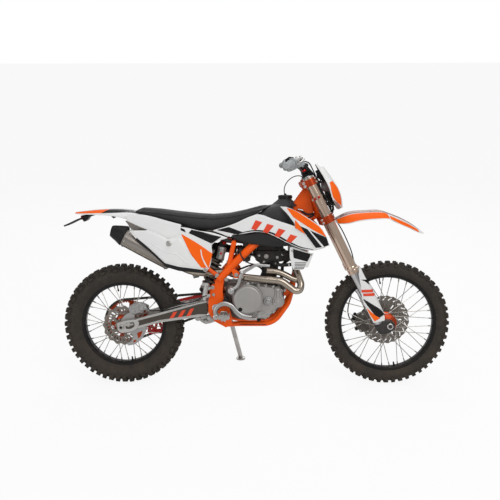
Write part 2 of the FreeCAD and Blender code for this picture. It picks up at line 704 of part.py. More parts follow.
# Swingarm and rear suspension
arm_in = size("arm_inside")
arm_out = size("arm_inside + arm_width")
chain_y = size("sprocket_place")
chain_half = size("chain_width / 2")
yoke_in = chain_y + chain_half + 3
brace_front = rear_x + 363


def swingarm():
    """Two box arms from the pivot to the axle, a brace ahead of the tyre, and the axle itself."""
    middle_x = pivot_x + 0.6 * (rear_x - pivot_x)
    middle_z = pivot_z + 0.6 * (rear_z - pivot_z)
    neck = [(pivot_x - 47, pivot_z - 43), (pivot_x - 47, pivot_z + 37), (pivot_x - 88, pivot_z + 28),
            (middle_x, middle_z + 34)]
    tail = rear_wheel_points([(80, 43), (-36, 19), (-38, -40), (90, -8)])
    arm = prism(neck + tail + [(middle_x, middle_z - 20), (pivot_x - 88, pivot_z - 53)], arm_in, arm_out)
    lug_side = [(pivot_x - 80, pivot_z - 46), (pivot_x - 80, pivot_z + 26), (pivot_x - 10, pivot_z + 32),
                (pivot_x + 30, pivot_z + 16), (pivot_x + 30, pivot_z - 16), (pivot_x - 10, pivot_z - 32)]
    side = arm.fuse(prism(lug_side, yoke_in, plate_in - gap))
    both = fused_sides(side)
    pin = size("pivot_tube / 2") - fit
    tube = rod((pivot_x, -plate_out - 3, pivot_z), (pivot_x, plate_out + 3, pivot_z), 2 * pin)
    brace = Part.makeBox(30, 2 * arm_in + 8, 34, V(brace_front - 30, -arm_in - 4, pivot_z - 23))
    bar_end = arm_out + 10
    spindle = rod((rear_x, -bar_end, rear_z), (rear_x, bar_end, rear_z), 2 * axle)
    shape = both.fuse([tube, brace, spindle])
    right_low = size("rear_disc_place - disc_thickness / 2") + 1
    left_low = size("sprocket_place + sprocket_thickness / 2") + 1
    for sign, low in ((-1, right_low), (1, left_low)):
        shape = shape.fuse(rod((rear_x, sign * low, rear_z), (rear_x, sign * arm_in, rear_z), 30))
        shape = shape.fuse(rod((rear_x, sign * arm_out, rear_z), (rear_x, sign * (arm_out + 8), rear_z), 34))
    return shape


keep_shape(swingarm(), "swingarm", chassis_frame)

shock_y = -8
shock_top = V(-178 + datum_x, shock_y, 806)
shock_foot = V(-318 + datum_x, shock_y, 400)


def along(profile, start, end):
    """A solid of revolution about the line from start to end, from (radius, distance from start) points."""
    face = Part.Face(Part.makePolygon([V(radius, 0, up) for radius, up in profile + profile[:1]]))
    solid = face.revolve(V(0, 0, 0), V(0, 0, 1), 360)
    solid.Placement = Placement(start, Rotation(V(0, 0, 1), end - start))
    return solid


def shock_absorber():
    """Damper body, spring seats and the spring's coils, drawn as rings on one solid, and both eyes."""
    length = (shock_top - shock_foot).Length
    profile = [(0, 14), (10, 14), (10, 120), (30, 120), (30, 132)]
    coil, wire = 38, 12
    first = 134
    for index in range(7):
        low = first + index * 24
        profile += [(26, low), (coil, low + 2), (coil, low + wire), (26, low + wire + 2)]
    profile += [(40, first + 170), (40, first + 182), (25, first + 186), (25, length - 20), (12, length - 12),
                (0, length - 12)]
    shape = along(profile, shock_foot, shock_top)
    for eye in (shock_top, shock_foot):
        ring = rod((eye.x, shock_y - 15.6, eye.z), (eye.x, shock_y + 15.6, eye.z), 30)
        shape = shape.fuse(ring)
    for eye in (shock_top, shock_foot):
        shape = shape.cut(rod((eye.x, shock_y - 40, eye.z), (eye.x, shock_y + 40, eye.z), 14 + 2 * gap))
    return shape


keep_shape(shock_absorber(), "shock_absorber", chassis_frame)


def suspension_linkage():
    """The rocker under the shock, its pins and the link to the frame's lower cross tube."""
    back = brace_front + gap
    outline = [(back, 456), (back, 434)] + ats([(-345, 385), (-285, 338), (-262, 344), (-262, 368),
                                                (-306, 416), (-330, 424)])
    plates = prism(outline, shock_y + 16, shock_y + 26).fuse(prism(outline, shock_y - 26, shock_y - 16))
    pin = rod((shock_foot.x, shock_y - 28, shock_foot.z), (shock_foot.x, shock_y + 28, shock_foot.z), 14)
    low_x = -274 + datum_x
    low_pin = rod((low_x, shock_y - 28, 355), (low_x, shock_y + 28, 355), 16)
    way = V(pivot_x + 40 - low_x, 0, 380 - 355).normalize()
    end = V(pivot_x + 40, shock_y, 380) - way * (12 + gap)
    link = rod((low_x, shock_y, 355), tuple(end), 22)
    return plates.fuse([pin, low_pin, link])


keep_shape(suspension_linkage(), "suspension_linkage", chassis_frame)


def subframe():
    """Rails under the seat and rear fender, with a strut to each from the pivot plates."""
    rail = size("rail_diameter")
    front = -116 - size("strut_diameter / 2") - gap
    run = [(front + datum_x, 70, 803), (-230 + datum_x, 70, 836), (-400 + datum_x, 70, 868),
           (-620 + datum_x, 68, 905)]
    side = bent_tube(run, rail, bend=6)
    foot_x, foot_z = at(-200.4, 622.5)
    side = side.fuse(rod((foot_x - 2.4, plate_in + 9, foot_z + 1.8), (-540 + datum_x, 72, 886), 18))
    both = fused_sides(side)
    for x, z in ats([(-330, 855), (-600, 901)]):
        both = both.fuse(rod((x, -70, z), (x, 70, z), 16))
    return both


keep_shape(subframe(), "subframe", chassis_frame)


# Engine
case_right = size("case_right")
case_left = size("case_left")
cover_x, cover_z = at(size("cover_x"), size("cover_z"))
sprocket_x, sprocket_z = at(-140, 470)


def crankcase():
    outline = ats([(-165, 575), (-165, 492), (-142, 395), (-83, 375), (59, 375), (150, 455), (158, 540),
                   (107, 578)])
    body = prism(outline, -case_right, case_left)
    room = prism(ats([(-220, 600), (-220, 360), (-92, 360), (-92, 600)]), chain_y - chain_half - 8, case_left)
    body = body.cut(room)
    shaft = rod((sprocket_x, 30, sprocket_z), (sprocket_x, chain_y + 5, sprocket_z), 24)
    teeth = rod((sprocket_x, chain_y - 3, sprocket_z), (sprocket_x, chain_y + 3, sprocket_z),
                2 * size("front_sprocket") - 20)
    return body.fuse([shaft, teeth])


keep_shape(crankcase(), "crankcase", chassis_frame)


def clutch_cover():
    """The right cover: a base, the round clutch cover with its raised disc, and the pump's round cover."""
    base = prism(ats([(-132, 560), (-124, 505), (-104, 420), (-60, 385), (60, 385), (140, 460), (150, 535),
                      (100, 566), (20, 574), (-60, 574)]), -case_right - 32, -case_right - gap)
    depth = size("cover_depth")
    round_cover = rod((cover_x, -case_right - depth, cover_z), (cover_x, -case_right - gap, cover_z),
                      2 * size("cover_radius"))
    lid = rod((cover_x, -case_right - depth - 14, cover_z - 8), (cover_x, -case_right - depth + 2, cover_z - 8),
              2 * size("cover_radius") - 18)
    pump_x, pump_z = at(112, 505)
    pump = rod((pump_x, -case_right - 46, pump_z), (pump_x, -case_right - gap, pump_z), 76)
    kick_x, kick_z = at(-130, 546)
    boss = rod((kick_x, -case_right - 52, kick_z), (kick_x, -case_right - gap, kick_z), 34)
    return base.fuse([round_cover, lid, pump, boss])


keep_shape(clutch_cover(), "clutch_cover", chassis_frame)


def flywheel_cover():
    """The left covers: a round one over the flywheel and a plate outside the drive sprocket."""
    x, z = at(20, 480)
    round_cover = rod((x, case_left + gap, z), (x, case_left + 32, z), 144)
    plate = prism(ats([(-170, 522), (-178, 470), (-168, 425), (-100, 420), (0, 430), (0, 520), (-110, 528)]),
                  case_left + gap, case_left + 11)
    return round_cover.fuse(plate)


keep_shape(flywheel_cover(), "flywheel_cover", chassis_frame)


def cylinder():
    outline = ats([(30, 577.5), (104, 578.3), (114, 582), (132, 690), (40, 678)])
    return prism(outline, -50, 50)


keep_shape(cylinder(), "cylinder", chassis_frame)
keep_shape(prism(ats([(34, 677.6), (134, 690.6), (188, 700), (190, 757), (120, 792), (0, 786), (-4, 700)]),
                 -60, 60), "cylinder_head", chassis_frame)


def carburettor():
    """Carburettor behind the head, with the boot that passes the shock on its left to the airbox."""
    head_back = -4 + datum_x
    body = bent_tube([(head_back - gap, 0, 742), (head_back - 30, 0, 742), (head_back - 88, 22, 748)], 54, 2)
    bowl = Part.makeCylinder(24, 56, V(head_back - 44, 10, 686))
    boot = bent_tube([(head_back - 84, 21, 748), (-146 + datum_x, 45, 762), (-262 + datum_x, 46, 772)], 48, 2)
    return body.fuse([bowl, boot])


keep_shape(carburettor(), "carburettor", chassis_frame)
keep_shape(prism(ats([(-264.6, 838), (-264.6, 715), (-420, 700), (-500, 770), (-500, 850), (-420, 846)]),
                 -26, 58), "airbox", chassis_frame)


radiator_in = 86
radiator_out = 140


def radiator():
    """One radiator beside the downtube, with the stay that holds it there."""
    outline = ats([(171, 782), (194, 704), (235, 676), (255, 690), (270, 718), (284, 760), (266, 866), (200, 886)])
    stay_x, stay_z = at(256.6, 720)
    stay = rod((stay_x, down_tube / 2 + gap, stay_z), (stay_x, radiator_in + 2, stay_z), 12)
    return prism(outline, radiator_in, radiator_out).fuse(stay)


keep_shape(both_sides(radiator()), "radiators", chassis_frame)

muffler_y = -size("muffler_place")
can_front = V(-450 + datum_x, muffler_y, 688)
can_tilt = math.radians(size("muffler_tilt"))
can_back = can_front + V(-math.cos(can_tilt), 0, math.sin(can_tilt)) * size("muffler_length")


def exhaust_header():
    """The header from the head's port, forwards round the downtube and back along the right side."""
    pipe = size("header_diameter")
    run = [(190 + gap, -26, 728), (206, -26, 728), (233, -57, 686), (246, -84, 634), (252, -114, 590),
           (252, -130, 556), (226, -134, 536), (188, -133, 566), (139, -131, 598), (37, -130, 607),
           (-56, -122, 614), (-102, -80, 626), (-132, -71, 632), (-273, -72, 631), (-355, -79, 644),
           (-436, -84, 681)]
    main = bent_tube([(x + datum_x, y, z) for x, y, z in run], pipe, bend=1.6)
    branch = [(64, -112, 648), (140, -112, 638), (196, -112, 612), (246, -100, 600)]
    stub = bent_tube([(x + datum_x, y, z) for x, y, z in branch], pipe - 4, bend=3)
    return main.fuse(stub)


keep_shape(exhaust_header(), "exhaust_header", chassis_frame)


def muffler():
    """The muffler's can on its inlet cone, with a dished end cap and the hanger to the rail."""
    length = (can_back - can_front).Length
    radius = size("muffler_diameter / 2")
    profile = [(0, 0), (24, 0), (radius - 4, 34), (radius, 40), (radius, length - 26), (radius - 3, length - 24),
               (radius - 8, length + 12), (30, length + 26), (24, length + 26), (24, length - 40), (0, length - 40)]
    can = along(profile, can_front, can_back)
    hanger = prism(ats([(-650, 835), (-600, 810), (-588, 903), (-615, 908)]), -84, -78.2 - gap)
    return can.fuse(hanger)


keep_shape(muffler(), "muffler", chassis_frame)


# Tank, seat and panels
tank_half = size("tank_half")
gusset_room = ats([(262, 1090), (196, 994), (192, 926), (277, 900), (330, 935)])


def widths(points):
    """A plan outline that is alike on both sides, from (x, half width) points."""
    return [(x + datum_x, y) for x, y in points] + [(x + datum_x, -y) for x, y in reversed(points)]


def fuel_tank():
    """The tank astride the spars, with its filler neck."""
    side = prism(ats([(84, 1003), (123, 1010), (133, 1037), (198, 1037), (209, 999), (215, 950), (204, 876),
                      (100, 850), (14, 862), (-18, 898), (11, 949)]), -tank_half, tank_half)
    plan = plan_prism(widths([(-30, tank_half - 20), (40, tank_half), (120, tank_half), (220, tank_half - 28)]),
                      800, 1100)
    neck_room = prism(ats([(125, 1012), (131, 1060), (210, 1060), (206, 1008)]), -200, 200)
    neck_room = neck_room.cut(Part.makeCylinder(38, 200, V(164 + datum_x, 0, 950)))
    tunnel = prism(ats([(260, 991), (120, 901), (10, 835), (-60, 780), (-60, 700), (260, 700)]), -92, 92)
    behind = prism(ats([(106, 892.5), (10, 835), (-60, 780), (-60, 700), (106, 700)]), -200, 200)
    gussets = prism(gusset_room, -34, 34)
    return side.common(plan).cut([neck_room, tunnel, behind, gussets])


keep_shape(fuel_tank(), "fuel_tank", chassis_frame)

cap = doc.addObject("Part::Cylinder", "fuel_cap")
cap.setExpression("Radius", bound("37"))
cap.Height = 18
cap_frame = Placement(V(164 + datum_x, 0, 1037 + gap), Rotation())
keep(cap, "fuel_cap", cap_frame)


def seat():
    """The seat as a plain solid, with the bumpers by which its base rests on the rails."""
    top = [(-662, 975), (-634, 985), (-524, 977), (-414, 963), (-304, 952), (-233, 948), (-139, 955), (-57, 972),
           (25, 994), (80, 1007)]
    low = [(10, 955), (-28, 934), (-82, 909), (-163, 879), (-228, 866), (-298, 877), (-379, 895), (-433, 914),
           (-498, 932), (-552, 947), (-595, 962)]
    half = size("seat_half")
    shape = prism(ats(top + low), -half, half)
    plan = plan_prism(widths([(-670, 60), (-600, 84), (-430, half), (-230, half), (-60, half - 14), (84, 56)]),
                      850, 1000)
    shape = shape.common(plan)
    bumper = Part.makeBox(26, 16, 30, V(-258 + datum_x, 62, 852))
    return shape.fuse([bumper, bumper.mirror(V(0, 0, 0), V(0, 1, 0))])


keep_shape(seat(), "seat", chassis_frame)


def panel(outline, low_plan, high_plan, low, high):
    """A leaning curved panel: its side outline cut from a sheet between a low and a high plan line."""
    def band(plan, height):
        inside = [(x, y - wall) for x, y in plan]
        corners = [V(x + datum_x, y, height) for x, y in plan + inside[::-1]]
        return Part.makePolygon(corners + corners[:1])
    sheet_solid = Part.makeLoft([band(low_plan, low), band(high_plan, high)], True, True)
    return sheet_solid.common(prism(ats(outline), 0, 300))


def shroud():
    outline = [(-226, 869), (9, 958), (131, 1004), (163, 999), (195, 997), (264, 962), (333, 904), (365, 856),
               (393, 792), (309, 768), (240, 779), (175, 806), (68, 856), (15, 864), (-124, 845), (-146, 837)]
    low_plan = [(-240, 128), (-140, 132), (0, 148), (130, 162), (260, 174), (400, 182)]
    high_plan = [(-240, 106), (-140, 108), (0, 116), (130, 122), (260, 152), (400, 176)]
    return panel(outline, low_plan, high_plan, 750, 1020)


def shroud_pegs():
    """Pegs by which the shroud sits on the radiator's outer face and on the tank's side."""
    lower_x, lower_z = at(225, 812)
    upper_x, upper_z = at(60, 946)
    lower = rod((lower_x, radiator_out + gap, lower_z), (lower_x, 163, lower_z), 18)
    upper = rod((upper_x, tank_half + gap, upper_z), (upper_x, 127, upper_z), 18)
    return [lower, upper]


keep_shape(both_sides(shroud().fuse(shroud_pegs())), "shrouds", chassis_frame)


def lower_cover():
    """The dark cover below the shroud, between it and the frame's spar."""
    outline = [(-130, 838), (-20, 851), (15, 858), (64, 851), (133, 820), (203, 785), (144, 765), (36, 776),
               (-55, 798)]
    low_plan = [(-140, 142), (0, 142), (210, 150)]
    high_plan = [(-140, 122), (0, 124), (210, 142)]
    cover = panel(outline, low_plan, high_plan, 750, 870)
    peg_x, peg_z = at(10, 806)
    return cover.fuse(rod((peg_x, 100 + spar / 2 + gap, peg_z), (peg_x, 131, peg_z), 14))


keep_shape(both_sides(lower_cover()), "lower_covers", chassis_frame)


def side_panel():
    outline = [(-643, 958), (-590, 950), (-497, 922), (-378, 887), (-228, 858), (-150, 830), (-223, 803),
               (-239, 785), (-231, 758), (-234, 731), (-250, 666), (-272, 646), (-415, 671), (-486, 692),
               (-566, 765), (-641, 826), (-676, 868)]
    low_plan = [(-700, 160), (-480, 164), (-280, 150), (-130, 142)]
    high_plan = [(-700, 118), (-480, 124), (-280, 118), (-130, 114)]
    cover = panel(outline, low_plan, high_plan, 640, 970)
    pegs = []
    for peg_x, peg_z, inside, outside in ((-330, 855, 80, 132), (-560, 895, 78.4, 128)):
        pegs.append(rod((peg_x + datum_x, inside + gap, peg_z), (peg_x + datum_x, outside, peg_z), 14))
    return cover.fuse(pegs)


keep_shape(both_sides(side_panel()), "side_panels", chassis_frame)


def rear_fender():
    """The tail: a shell with turned-down sides from the seat back to the lamp."""
    top = [(-993, 961), (-938, 968), (-882, 974), (-816, 978), (-744, 978), (-690, 972), (-640, 955), (-600, 940)]
    low = [(-600, 886), (-628, 901), (-709, 933), (-790, 947), (-872, 950), (-954, 952)]
    half = size("fender_half")
    plan = [(-1000, 40), (-940, 56), (-800, 78), (-700, half), (-600, half)]
    inner_plan = [(-996, 36), (-940, 56 - wall), (-800, 78 - wall), (-700, half - wall), (-580, half - wall)]
    shell = prism(ats(top + low), -200, 200).common(plan_prism(widths(plan), 800, 1000))
    hollow = prism(ats(moved(top, z=-wall) + [(-580, 930), (-580, 800), (-996, 800)]), -200, 200)
    shell = shell.cut(hollow.common(plan_prism(widths(inner_plan), 700, 1000)))
    bosses = [rod((-612 + datum_x, side * 68, 915.6), (-612 + datum_x, side * 68, 942), 12) for side in (-1, 1)]
    return shell.fuse(bosses)


keep_shape(rear_fender(), "rear_fender", chassis_frame)
keep_shape(prism(ats([(-971, 954), (-965, 912), (-941, 915), (-912, 957)]), -40, 40), "tail_lamp", chassis_frame)


def plate_holder():
    """The flap that carries the number plate, behind and below the lamp."""
    flap = prism(ats([(-1058, 888), (-1056, 882), (-1000, 906), (-969, 918), (-971, 926), (-976, 932),
                      (-1019, 913)]), -58, 58)
    stem = prism(ats([(-990, 918), (-966.3, 918), (-971.4, 954), (-971.4, 959), (-990, 957)]), -20, 20)
    return flap.fuse(stem)


keep_shape(plate_holder(), "plate_holder", chassis_frame)


# Controls and fittings on the frame
def footpeg():
    face = plate_out + gap
    bracket = prism(ats([(-190, 428), (-150, 428), (-150, 386), (-186, 386)]), face, face + 14)
    peg = prism(ats([(-200, 421), (-138, 421), (-138, 411), (-150, 403), (-188, 403), (-200, 411)]), face + 8,
                face + size("peg_length"))
    return bracket.fuse(peg)


keep_shape(both_sides(footpeg()), "footpegs", chassis_frame)


def brake_pedal():
    """The rear brake pedal, an S over the footpeg, with its pivot behind the peg."""
    bar_size = size("lever_diameter") - 2
    run = [(-214, -160, 400), (-226, -160, 438), (-205, -160, 470), (-165, -160, 487), (-122, -160, 466),
           (-80, -160, 421), (-30, -160, 398)]
    lever = bent_tube([(x + datum_x, y, z) for x, y, z in run], bar_size, bend=3)
    pivot = rod((-214 + datum_x, -plate_out - gap, 400), (-214 + datum_x, -168, 400), 22)
    pad = prism(ats([(-40, 402), (8, 402), (8, 392), (-40, 392)]), -180, -146)
    return lever.fuse([pivot, pad])


keep_shape(brake_pedal(), "brake_pedal", chassis_frame)


def shift_lever():
    bar_size = size("lever_diameter") - 2
    y = case_left + 44
    shaft = rod((-80 + datum_x, case_left + gap, 408), (-80 + datum_x, y + 6, 408), 18)
    arm = rod((-80 + datum_x, y, 408), (62 + datum_x, y + 6, 424), bar_size)
    toe = rod((62 + datum_x, y, 424), (62 + datum_x, y + 44, 424), bar_size + 2)
    return shaft.fuse([arm, toe])


keep_shape(shift_lever(), "shift_lever", chassis_frame)


def kick_starter():
    bar_size = size("lever_diameter") - 2
    x, z = at(-130, 546)
    hub_end = -case_right - 52 - gap
    hub_solid = rod((x, hub_end, z), (x, hub_end - 20, z), 32)
    run = [(-130, -152, 552), (-106, -160, 594), (-76, -166, 645), (-6, -168, 688), (74, -168, 684)]
    arm = bent_tube([(px + datum_x, py, pz) for px, py, pz in run], bar_size, bend=3)
    return hub_solid.fuse(arm)


keep_shape(kick_starter(), "kick_starter", chassis_frame)


def rear_caliper():
    """The rear caliper astride the disc, its bracket round the axle and the disc's guard fin."""
    thick = size("disc_thickness")
    place = -size("rear_disc_place")
    block = prism(rear_wheel_points([(20, 96), (70, 124), (112, 131), (146, 112), (146, 92), (120, 80), (66, 54)]), place - 22, place + 20)
    slot = rod((rear_x, place - thick / 2 - 2, rear_z), (rear_x, place + thick / 2 + 2, rear_z),
               2 * size("rear_disc") + 10)
    outline = [(-22, 18), (12, 66), (60, 108), (110, 118), (116, 84), (60, 46), (36, 6), (77, 2), (127, -21),
               (92, -89), (14, -128), (-2, -117), (-6, -40), (-26, -8)]
    plate_y = place - thick / 2 - 5
    bracket = prism(rear_wheel_points(outline), plate_y - 6, plate_y)
    bore = rod((rear_x, -arm_in, rear_z), (rear_x, 0, rear_z), 30 + 2 * gap)
    return block.cut(slot).fuse(bracket).cut(bore)


keep_shape(rear_caliper(), "rear_caliper", chassis_frame)


def rear_master_cylinder():
    y = -plate_out - 18
    body = rod((-262 + datum_x, y, 466), (-250 + datum_x, y, 548), 28)
    bracket = Part.makeBox(18, 18, 24, V(-258 + datum_x, y, 498))
    bracket = bracket.cut(Part.makeBox(40, 40, 40, V(-270 + datum_x, -plate_out - gap, 490)))
    return body.fuse(bracket)


keep_shape(rear_master_cylinder(), "rear_master_cylinder", chassis_frame)


def chain_loop(offset, low, high):
    """The chain's side outline, offset from its pitch line, solid from low to high across."""
    front_radius = size("front_sprocket") + offset
    rear_radius = size("sprocket_pitch") + offset
    centre_front = V(sprocket_x, 0, sprocket_z)
    centre_rear = V(rear_x, 0, rear_z)
    way = centre_rear - centre_front
    tilt = math.asin((size("sprocket_pitch") - size("front_sprocket")) / way.Length)
    heading = math.atan2(way.z, way.x)
    def on(centre, radius, angle):
        return V(centre.x + radius * math.cos(angle), low, centre.z + radius * math.sin(angle))
    top = heading - math.pi / 2 - tilt
    bottom = heading + math.pi / 2 + tilt
    def turn(centre, radius, first, last, steps):
        """Corners of a part turn whose facets touch the circle, as the straight runs do."""
        step = (last - first) / steps
        return [on(centre, radius / math.cos(step / 2), first + step * (index + 0.5)) for index in range(steps)]
    corners = turn(centre_rear, rear_radius, bottom, top, 12)
    corners += turn(centre_front, front_radius, top, bottom - 2 * math.pi, 8)
    return Part.Face(Part.makePolygon(corners + corners[:1])).extrude(V(0, high - low, 0))


def chain():
    """The chain as one fixed loop, a channel of link plates in which the sprockets' teeth run."""
    half_height = size("chain_height / 2")
    low, high = chain_y - chain_half, chain_y + chain_half
    plate = size("chain_plate")
    shape = chain_loop(half_height, low, high).cut(chain_loop(-half_height, low, high))
    inside = chain_loop(size("sprocket_tooth") + 1.2, low + plate, high - plate)
    return shape.cut(inside.cut(chain_loop(-half_height - 1, low + plate, high - plate)))


keep_shape(chain(), "chain", chassis_frame)


def chain_guide():
    """The guide block under the swingarm, open front and back for the chain's lower run."""
    outline = rear_wheel_points([(128, -50), (144, -34), (172, 40), (208, 44), (222, -8), (220, -78), (114, -86)])
    body = prism(outline, chain_y - 13, arm_in - gap)
    room = chain_loop(size("chain_height / 2") + 1.5, chain_y - chain_half - 1, chain_y + chain_half + 1)
    core = chain_loop(-size("chain_height / 2") - 1.5, chain_y - chain_half - 1, chain_y + chain_half + 1)
    return body.cut(room.cut(core))


keep_shape(chain_guide(), "chain_guide", chassis_frame)


def breather_hose():
    """The tank's vent hose, from its cap into the open top of the steering stem."""
    end = steer_to_upright(0, size("top_clamp + top_clamp_height") - 2)
    above = steer_to_upright(0, size("top_clamp + top_clamp_height") + 30)
    run = [(161 + datum_x, 0, 1055 + 4 * gap), (157 + datum_x, 0, 1082), (164 + datum_x, 0, 1114),
           (186 + datum_x, 0, 1142), (216 + datum_x, 0, 1160), tuple(above), tuple(end)]
    return bent_tube(run, 5, bend=40)


keep_shape(breather_hose(), "breather_hose", chassis_frame)


def front_brake_hose():
    """The front brake hose, down ahead of the left leg and behind its guard to the caliper."""
    run = [(64, 92, 640), (72, 90, 596), (74, 86, 500), (66, 72, 420), (40, 62, 350), (10, 58, 270), (-20, 60, 190),
           (-42, 64, 130), (-50, 66, 97)]
    return bent_tube(run, 6, bend=40)


keep_shape(front_brake_hose(), "front_brake_hose", steer_frame)


# Side stand
def side_stand():
    """The stand's leg, from its eye on the frame's pin down to the foot on the ground."""
    up = V(0, -math.sin(lean), math.cos(lean))
    eye = rod(tuple(stand_pivot - stand_hinge * 10), tuple(stand_pivot + stand_hinge * 10), 30)
    leg = rod(tuple(stand_pivot), tuple(stand_foot + up * 10 - stand_down * 4), size("stand_diameter"))
    foot = Part.makeCylinder(27, 9, stand_foot, up)
    bore = rod(tuple(stand_pivot - stand_hinge * 40), tuple(stand_pivot + stand_hinge * 40), 12 + 2 * fit)
    room = [rod(tuple(stand_pivot - stand_hinge * 60), tuple(stand_pivot - stand_hinge * 10), 60),
            rod(tuple(stand_pivot + stand_hinge * 10), tuple(stand_pivot + stand_hinge * 60), 60)]
    near = leg.common(Part.makeSphere(50, stand_pivot)).cut(room)
    far = leg.cut(Part.makeSphere(50, stand_pivot))
    shape = far.fuse([near, eye]).fuse(foot).cut(bore)
    ground = Part.makeBox(400, 400, 60, V(-200, -200, -60))
    ground.Placement = Placement(stand_foot, Rotation(V(1, 0, 0), size("lean_angle")))
    return shape.cut(ground)


keep_shape(side_stand(), "side_stand", chassis_frame)


def lean_and_rest():
    """Leans every sub-part on the stand, with the tyres on the ground and the whole centred on the origin."""
    drop_front = size("front_radius - front_crown") * math.cos(lean) + size("front_crown")
    drop_rear = size("rear_radius - rear_crown") * math.cos(lean) + size("rear_crown")
    lift_front = drop_front - front_z * math.cos(lean)
    lift_rear = drop_rear - rear_z * math.cos(lean)
    pitch = math.degrees(math.atan((lift_front - lift_rear) / size("wheelbase")))
    tilt = Placement(V(0, 0, (lift_front + lift_rear) / 2), Rotation(V(0, 1, 0), -pitch))
    leaned = tilt.multiply(Placement(V(0, 0, 0), Rotation(V(1, 0, 0), -size("lean_angle"))))
    box = FreeCAD.BoundBox()
    for feature, frame in pieces:
        feature.Placement = leaned.multiply(frame)
    doc.recompute()
    for feature, frame in pieces:
        for point in feature.Shape.tessellate(0.5)[0]:
            box.add(point)
    centre = Placement(V(-box.Center.x, -box.Center.y, -box.ZMin), Rotation())
    for feature, frame in pieces:
        feature.Placement = centre.multiply(leaned).multiply(frame)
    doc.recompute()
    return centre.multiply(leaned)


parked = lean_and_rest()
for item in doc.Objects:
    if "Invalid" in item.State or "Error" in item.State:
        raise RuntimeError(f"{item.Label} failed: {item.State}")
for feature, frame in pieces:
    if feature.Shape.isNull() or not feature.Shape.isValid():
        raise RuntimeError(f"{feature.Label} has no valid shape")
os.makedirs("parts", exist_ok=True)
for feature, frame in pieces:
    feature.Shape.exportStep(f"parts/{feature.Label}.step")
    print(feature.Label, len(feature.Shape.Solids), round(feature.Shape.Volume / 1000, 1), "cm3")
print("parked placement", parked)
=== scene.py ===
"""Looks of an enduro motorcycle parked on its side stand.

Shapes are worked out in millimetres on the upright motorcycle, X forwards, Y to its left, Z up, or square to
the steering axis for what turns with the fork. One turn and shift then leans them as the frame is leaned.
"""
import math
import bpy
import numpy as np
from mathutils import Matrix, Vector


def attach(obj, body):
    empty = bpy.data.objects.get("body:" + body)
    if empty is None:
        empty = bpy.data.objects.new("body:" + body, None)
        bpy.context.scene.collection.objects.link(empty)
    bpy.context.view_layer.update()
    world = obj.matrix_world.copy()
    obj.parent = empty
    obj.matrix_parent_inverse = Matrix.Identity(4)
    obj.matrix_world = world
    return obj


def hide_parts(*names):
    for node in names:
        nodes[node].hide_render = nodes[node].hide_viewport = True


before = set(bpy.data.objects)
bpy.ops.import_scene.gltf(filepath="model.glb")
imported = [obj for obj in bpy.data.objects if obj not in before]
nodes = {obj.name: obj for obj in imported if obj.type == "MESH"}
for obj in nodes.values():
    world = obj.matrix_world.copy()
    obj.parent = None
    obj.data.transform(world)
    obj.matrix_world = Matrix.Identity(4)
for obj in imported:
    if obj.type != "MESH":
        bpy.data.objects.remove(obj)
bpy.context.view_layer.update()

# Placement of the parked motorcycle, and of the steering axis on the upright one
LEAN = math.radians(10.0)
PITCH = math.radians(0.0094743)
SHIFT = np.array([-5.14382, -211.28, 0.822531])
RAKE = math.radians(26.5)
FRONT_AXLE = np.array([735.0, 0.0, 346.0])
REAR_AXLE = np.array([-735.0, 0.0, 336.0])
AXLE_LEAD = 68.0
TURN_X = np.array([[1, 0, 0], [0, math.cos(LEAN), math.sin(LEAN)], [0, -math.sin(LEAN), math.cos(LEAN)]])
TURN_Y = np.array([[math.cos(PITCH), 0, math.sin(PITCH)], [0, 1, 0], [-math.sin(PITCH), 0, math.cos(PITCH)]])
PARK = TURN_Y @ TURN_X
MM = 0.001


def park(points):
    """Upright millimetres to parked metres: the lean about X, the small pitch about Y, then the shift."""
    return (np.asarray(points, float) @ PARK.T + SHIFT) * MM


def unsteer(points):
    """Steering-frame points (ahead, left, up the axis) to the upright frame: a turn by the rake about Y."""
    p = np.asarray(points, float)
    c, s = math.cos(RAKE), math.sin(RAKE)
    base_x = FRONT_AXLE[0] - AXLE_LEAD * c
    base_z = FRONT_AXLE[2] - AXLE_LEAD * s
    return np.stack([base_x + p[..., 0] * c - p[..., 2] * s, p[..., 1], base_z + p[..., 0] * s
        + p[..., 2] * c], -1)


def steered(points):
    return park(unsteer(points))


def wheel_place(axle):
    """A wheel's own millimetres, (ahead, left, up) from its axle, to parked metres."""
    return lambda points: park(np.asarray(points, float) + axle)


PLACES = {"chassis": park, "fork": steered, "front_wheel": wheel_place(FRONT_AXLE),
    "rear_wheel": wheel_place(REAR_AXLE)}


def circle(count):
    """Evenly spaced angles once round, the last one short of a full turn."""
    return np.linspace(0, 2 * math.pi, count, endpoint=False)


def on_circle(radius, left, angle):
    """Points at the angles round an axle, all at one distance to its left."""
    return np.stack([radius * np.cos(angle), np.full(len(angle), left), radius * np.sin(angle)], -1)


def unit(ways):
    """Rows brought to length one."""
    return ways / np.linalg.norm(ways, axis=-1, keepdims=True)


def rect(x0, z0, x1, z1):
    return [(x0, z0), (x1, z0), (x1, z1), (x0, z1)]


def ring_quads(rings, sides):
    """The quads between rings of points, each ring closed, as rows of four indices."""
    i, j = np.arange(rings - 1)[:, None], np.arange(sides)[None, :]
    nxt = (j + 1) % sides
    return np.stack(np.broadcast_arrays(i * sides + j, i * sides + nxt, (i + 1) * sides + nxt,
        (i + 1) * sides + j), -1).reshape(-1, 4)


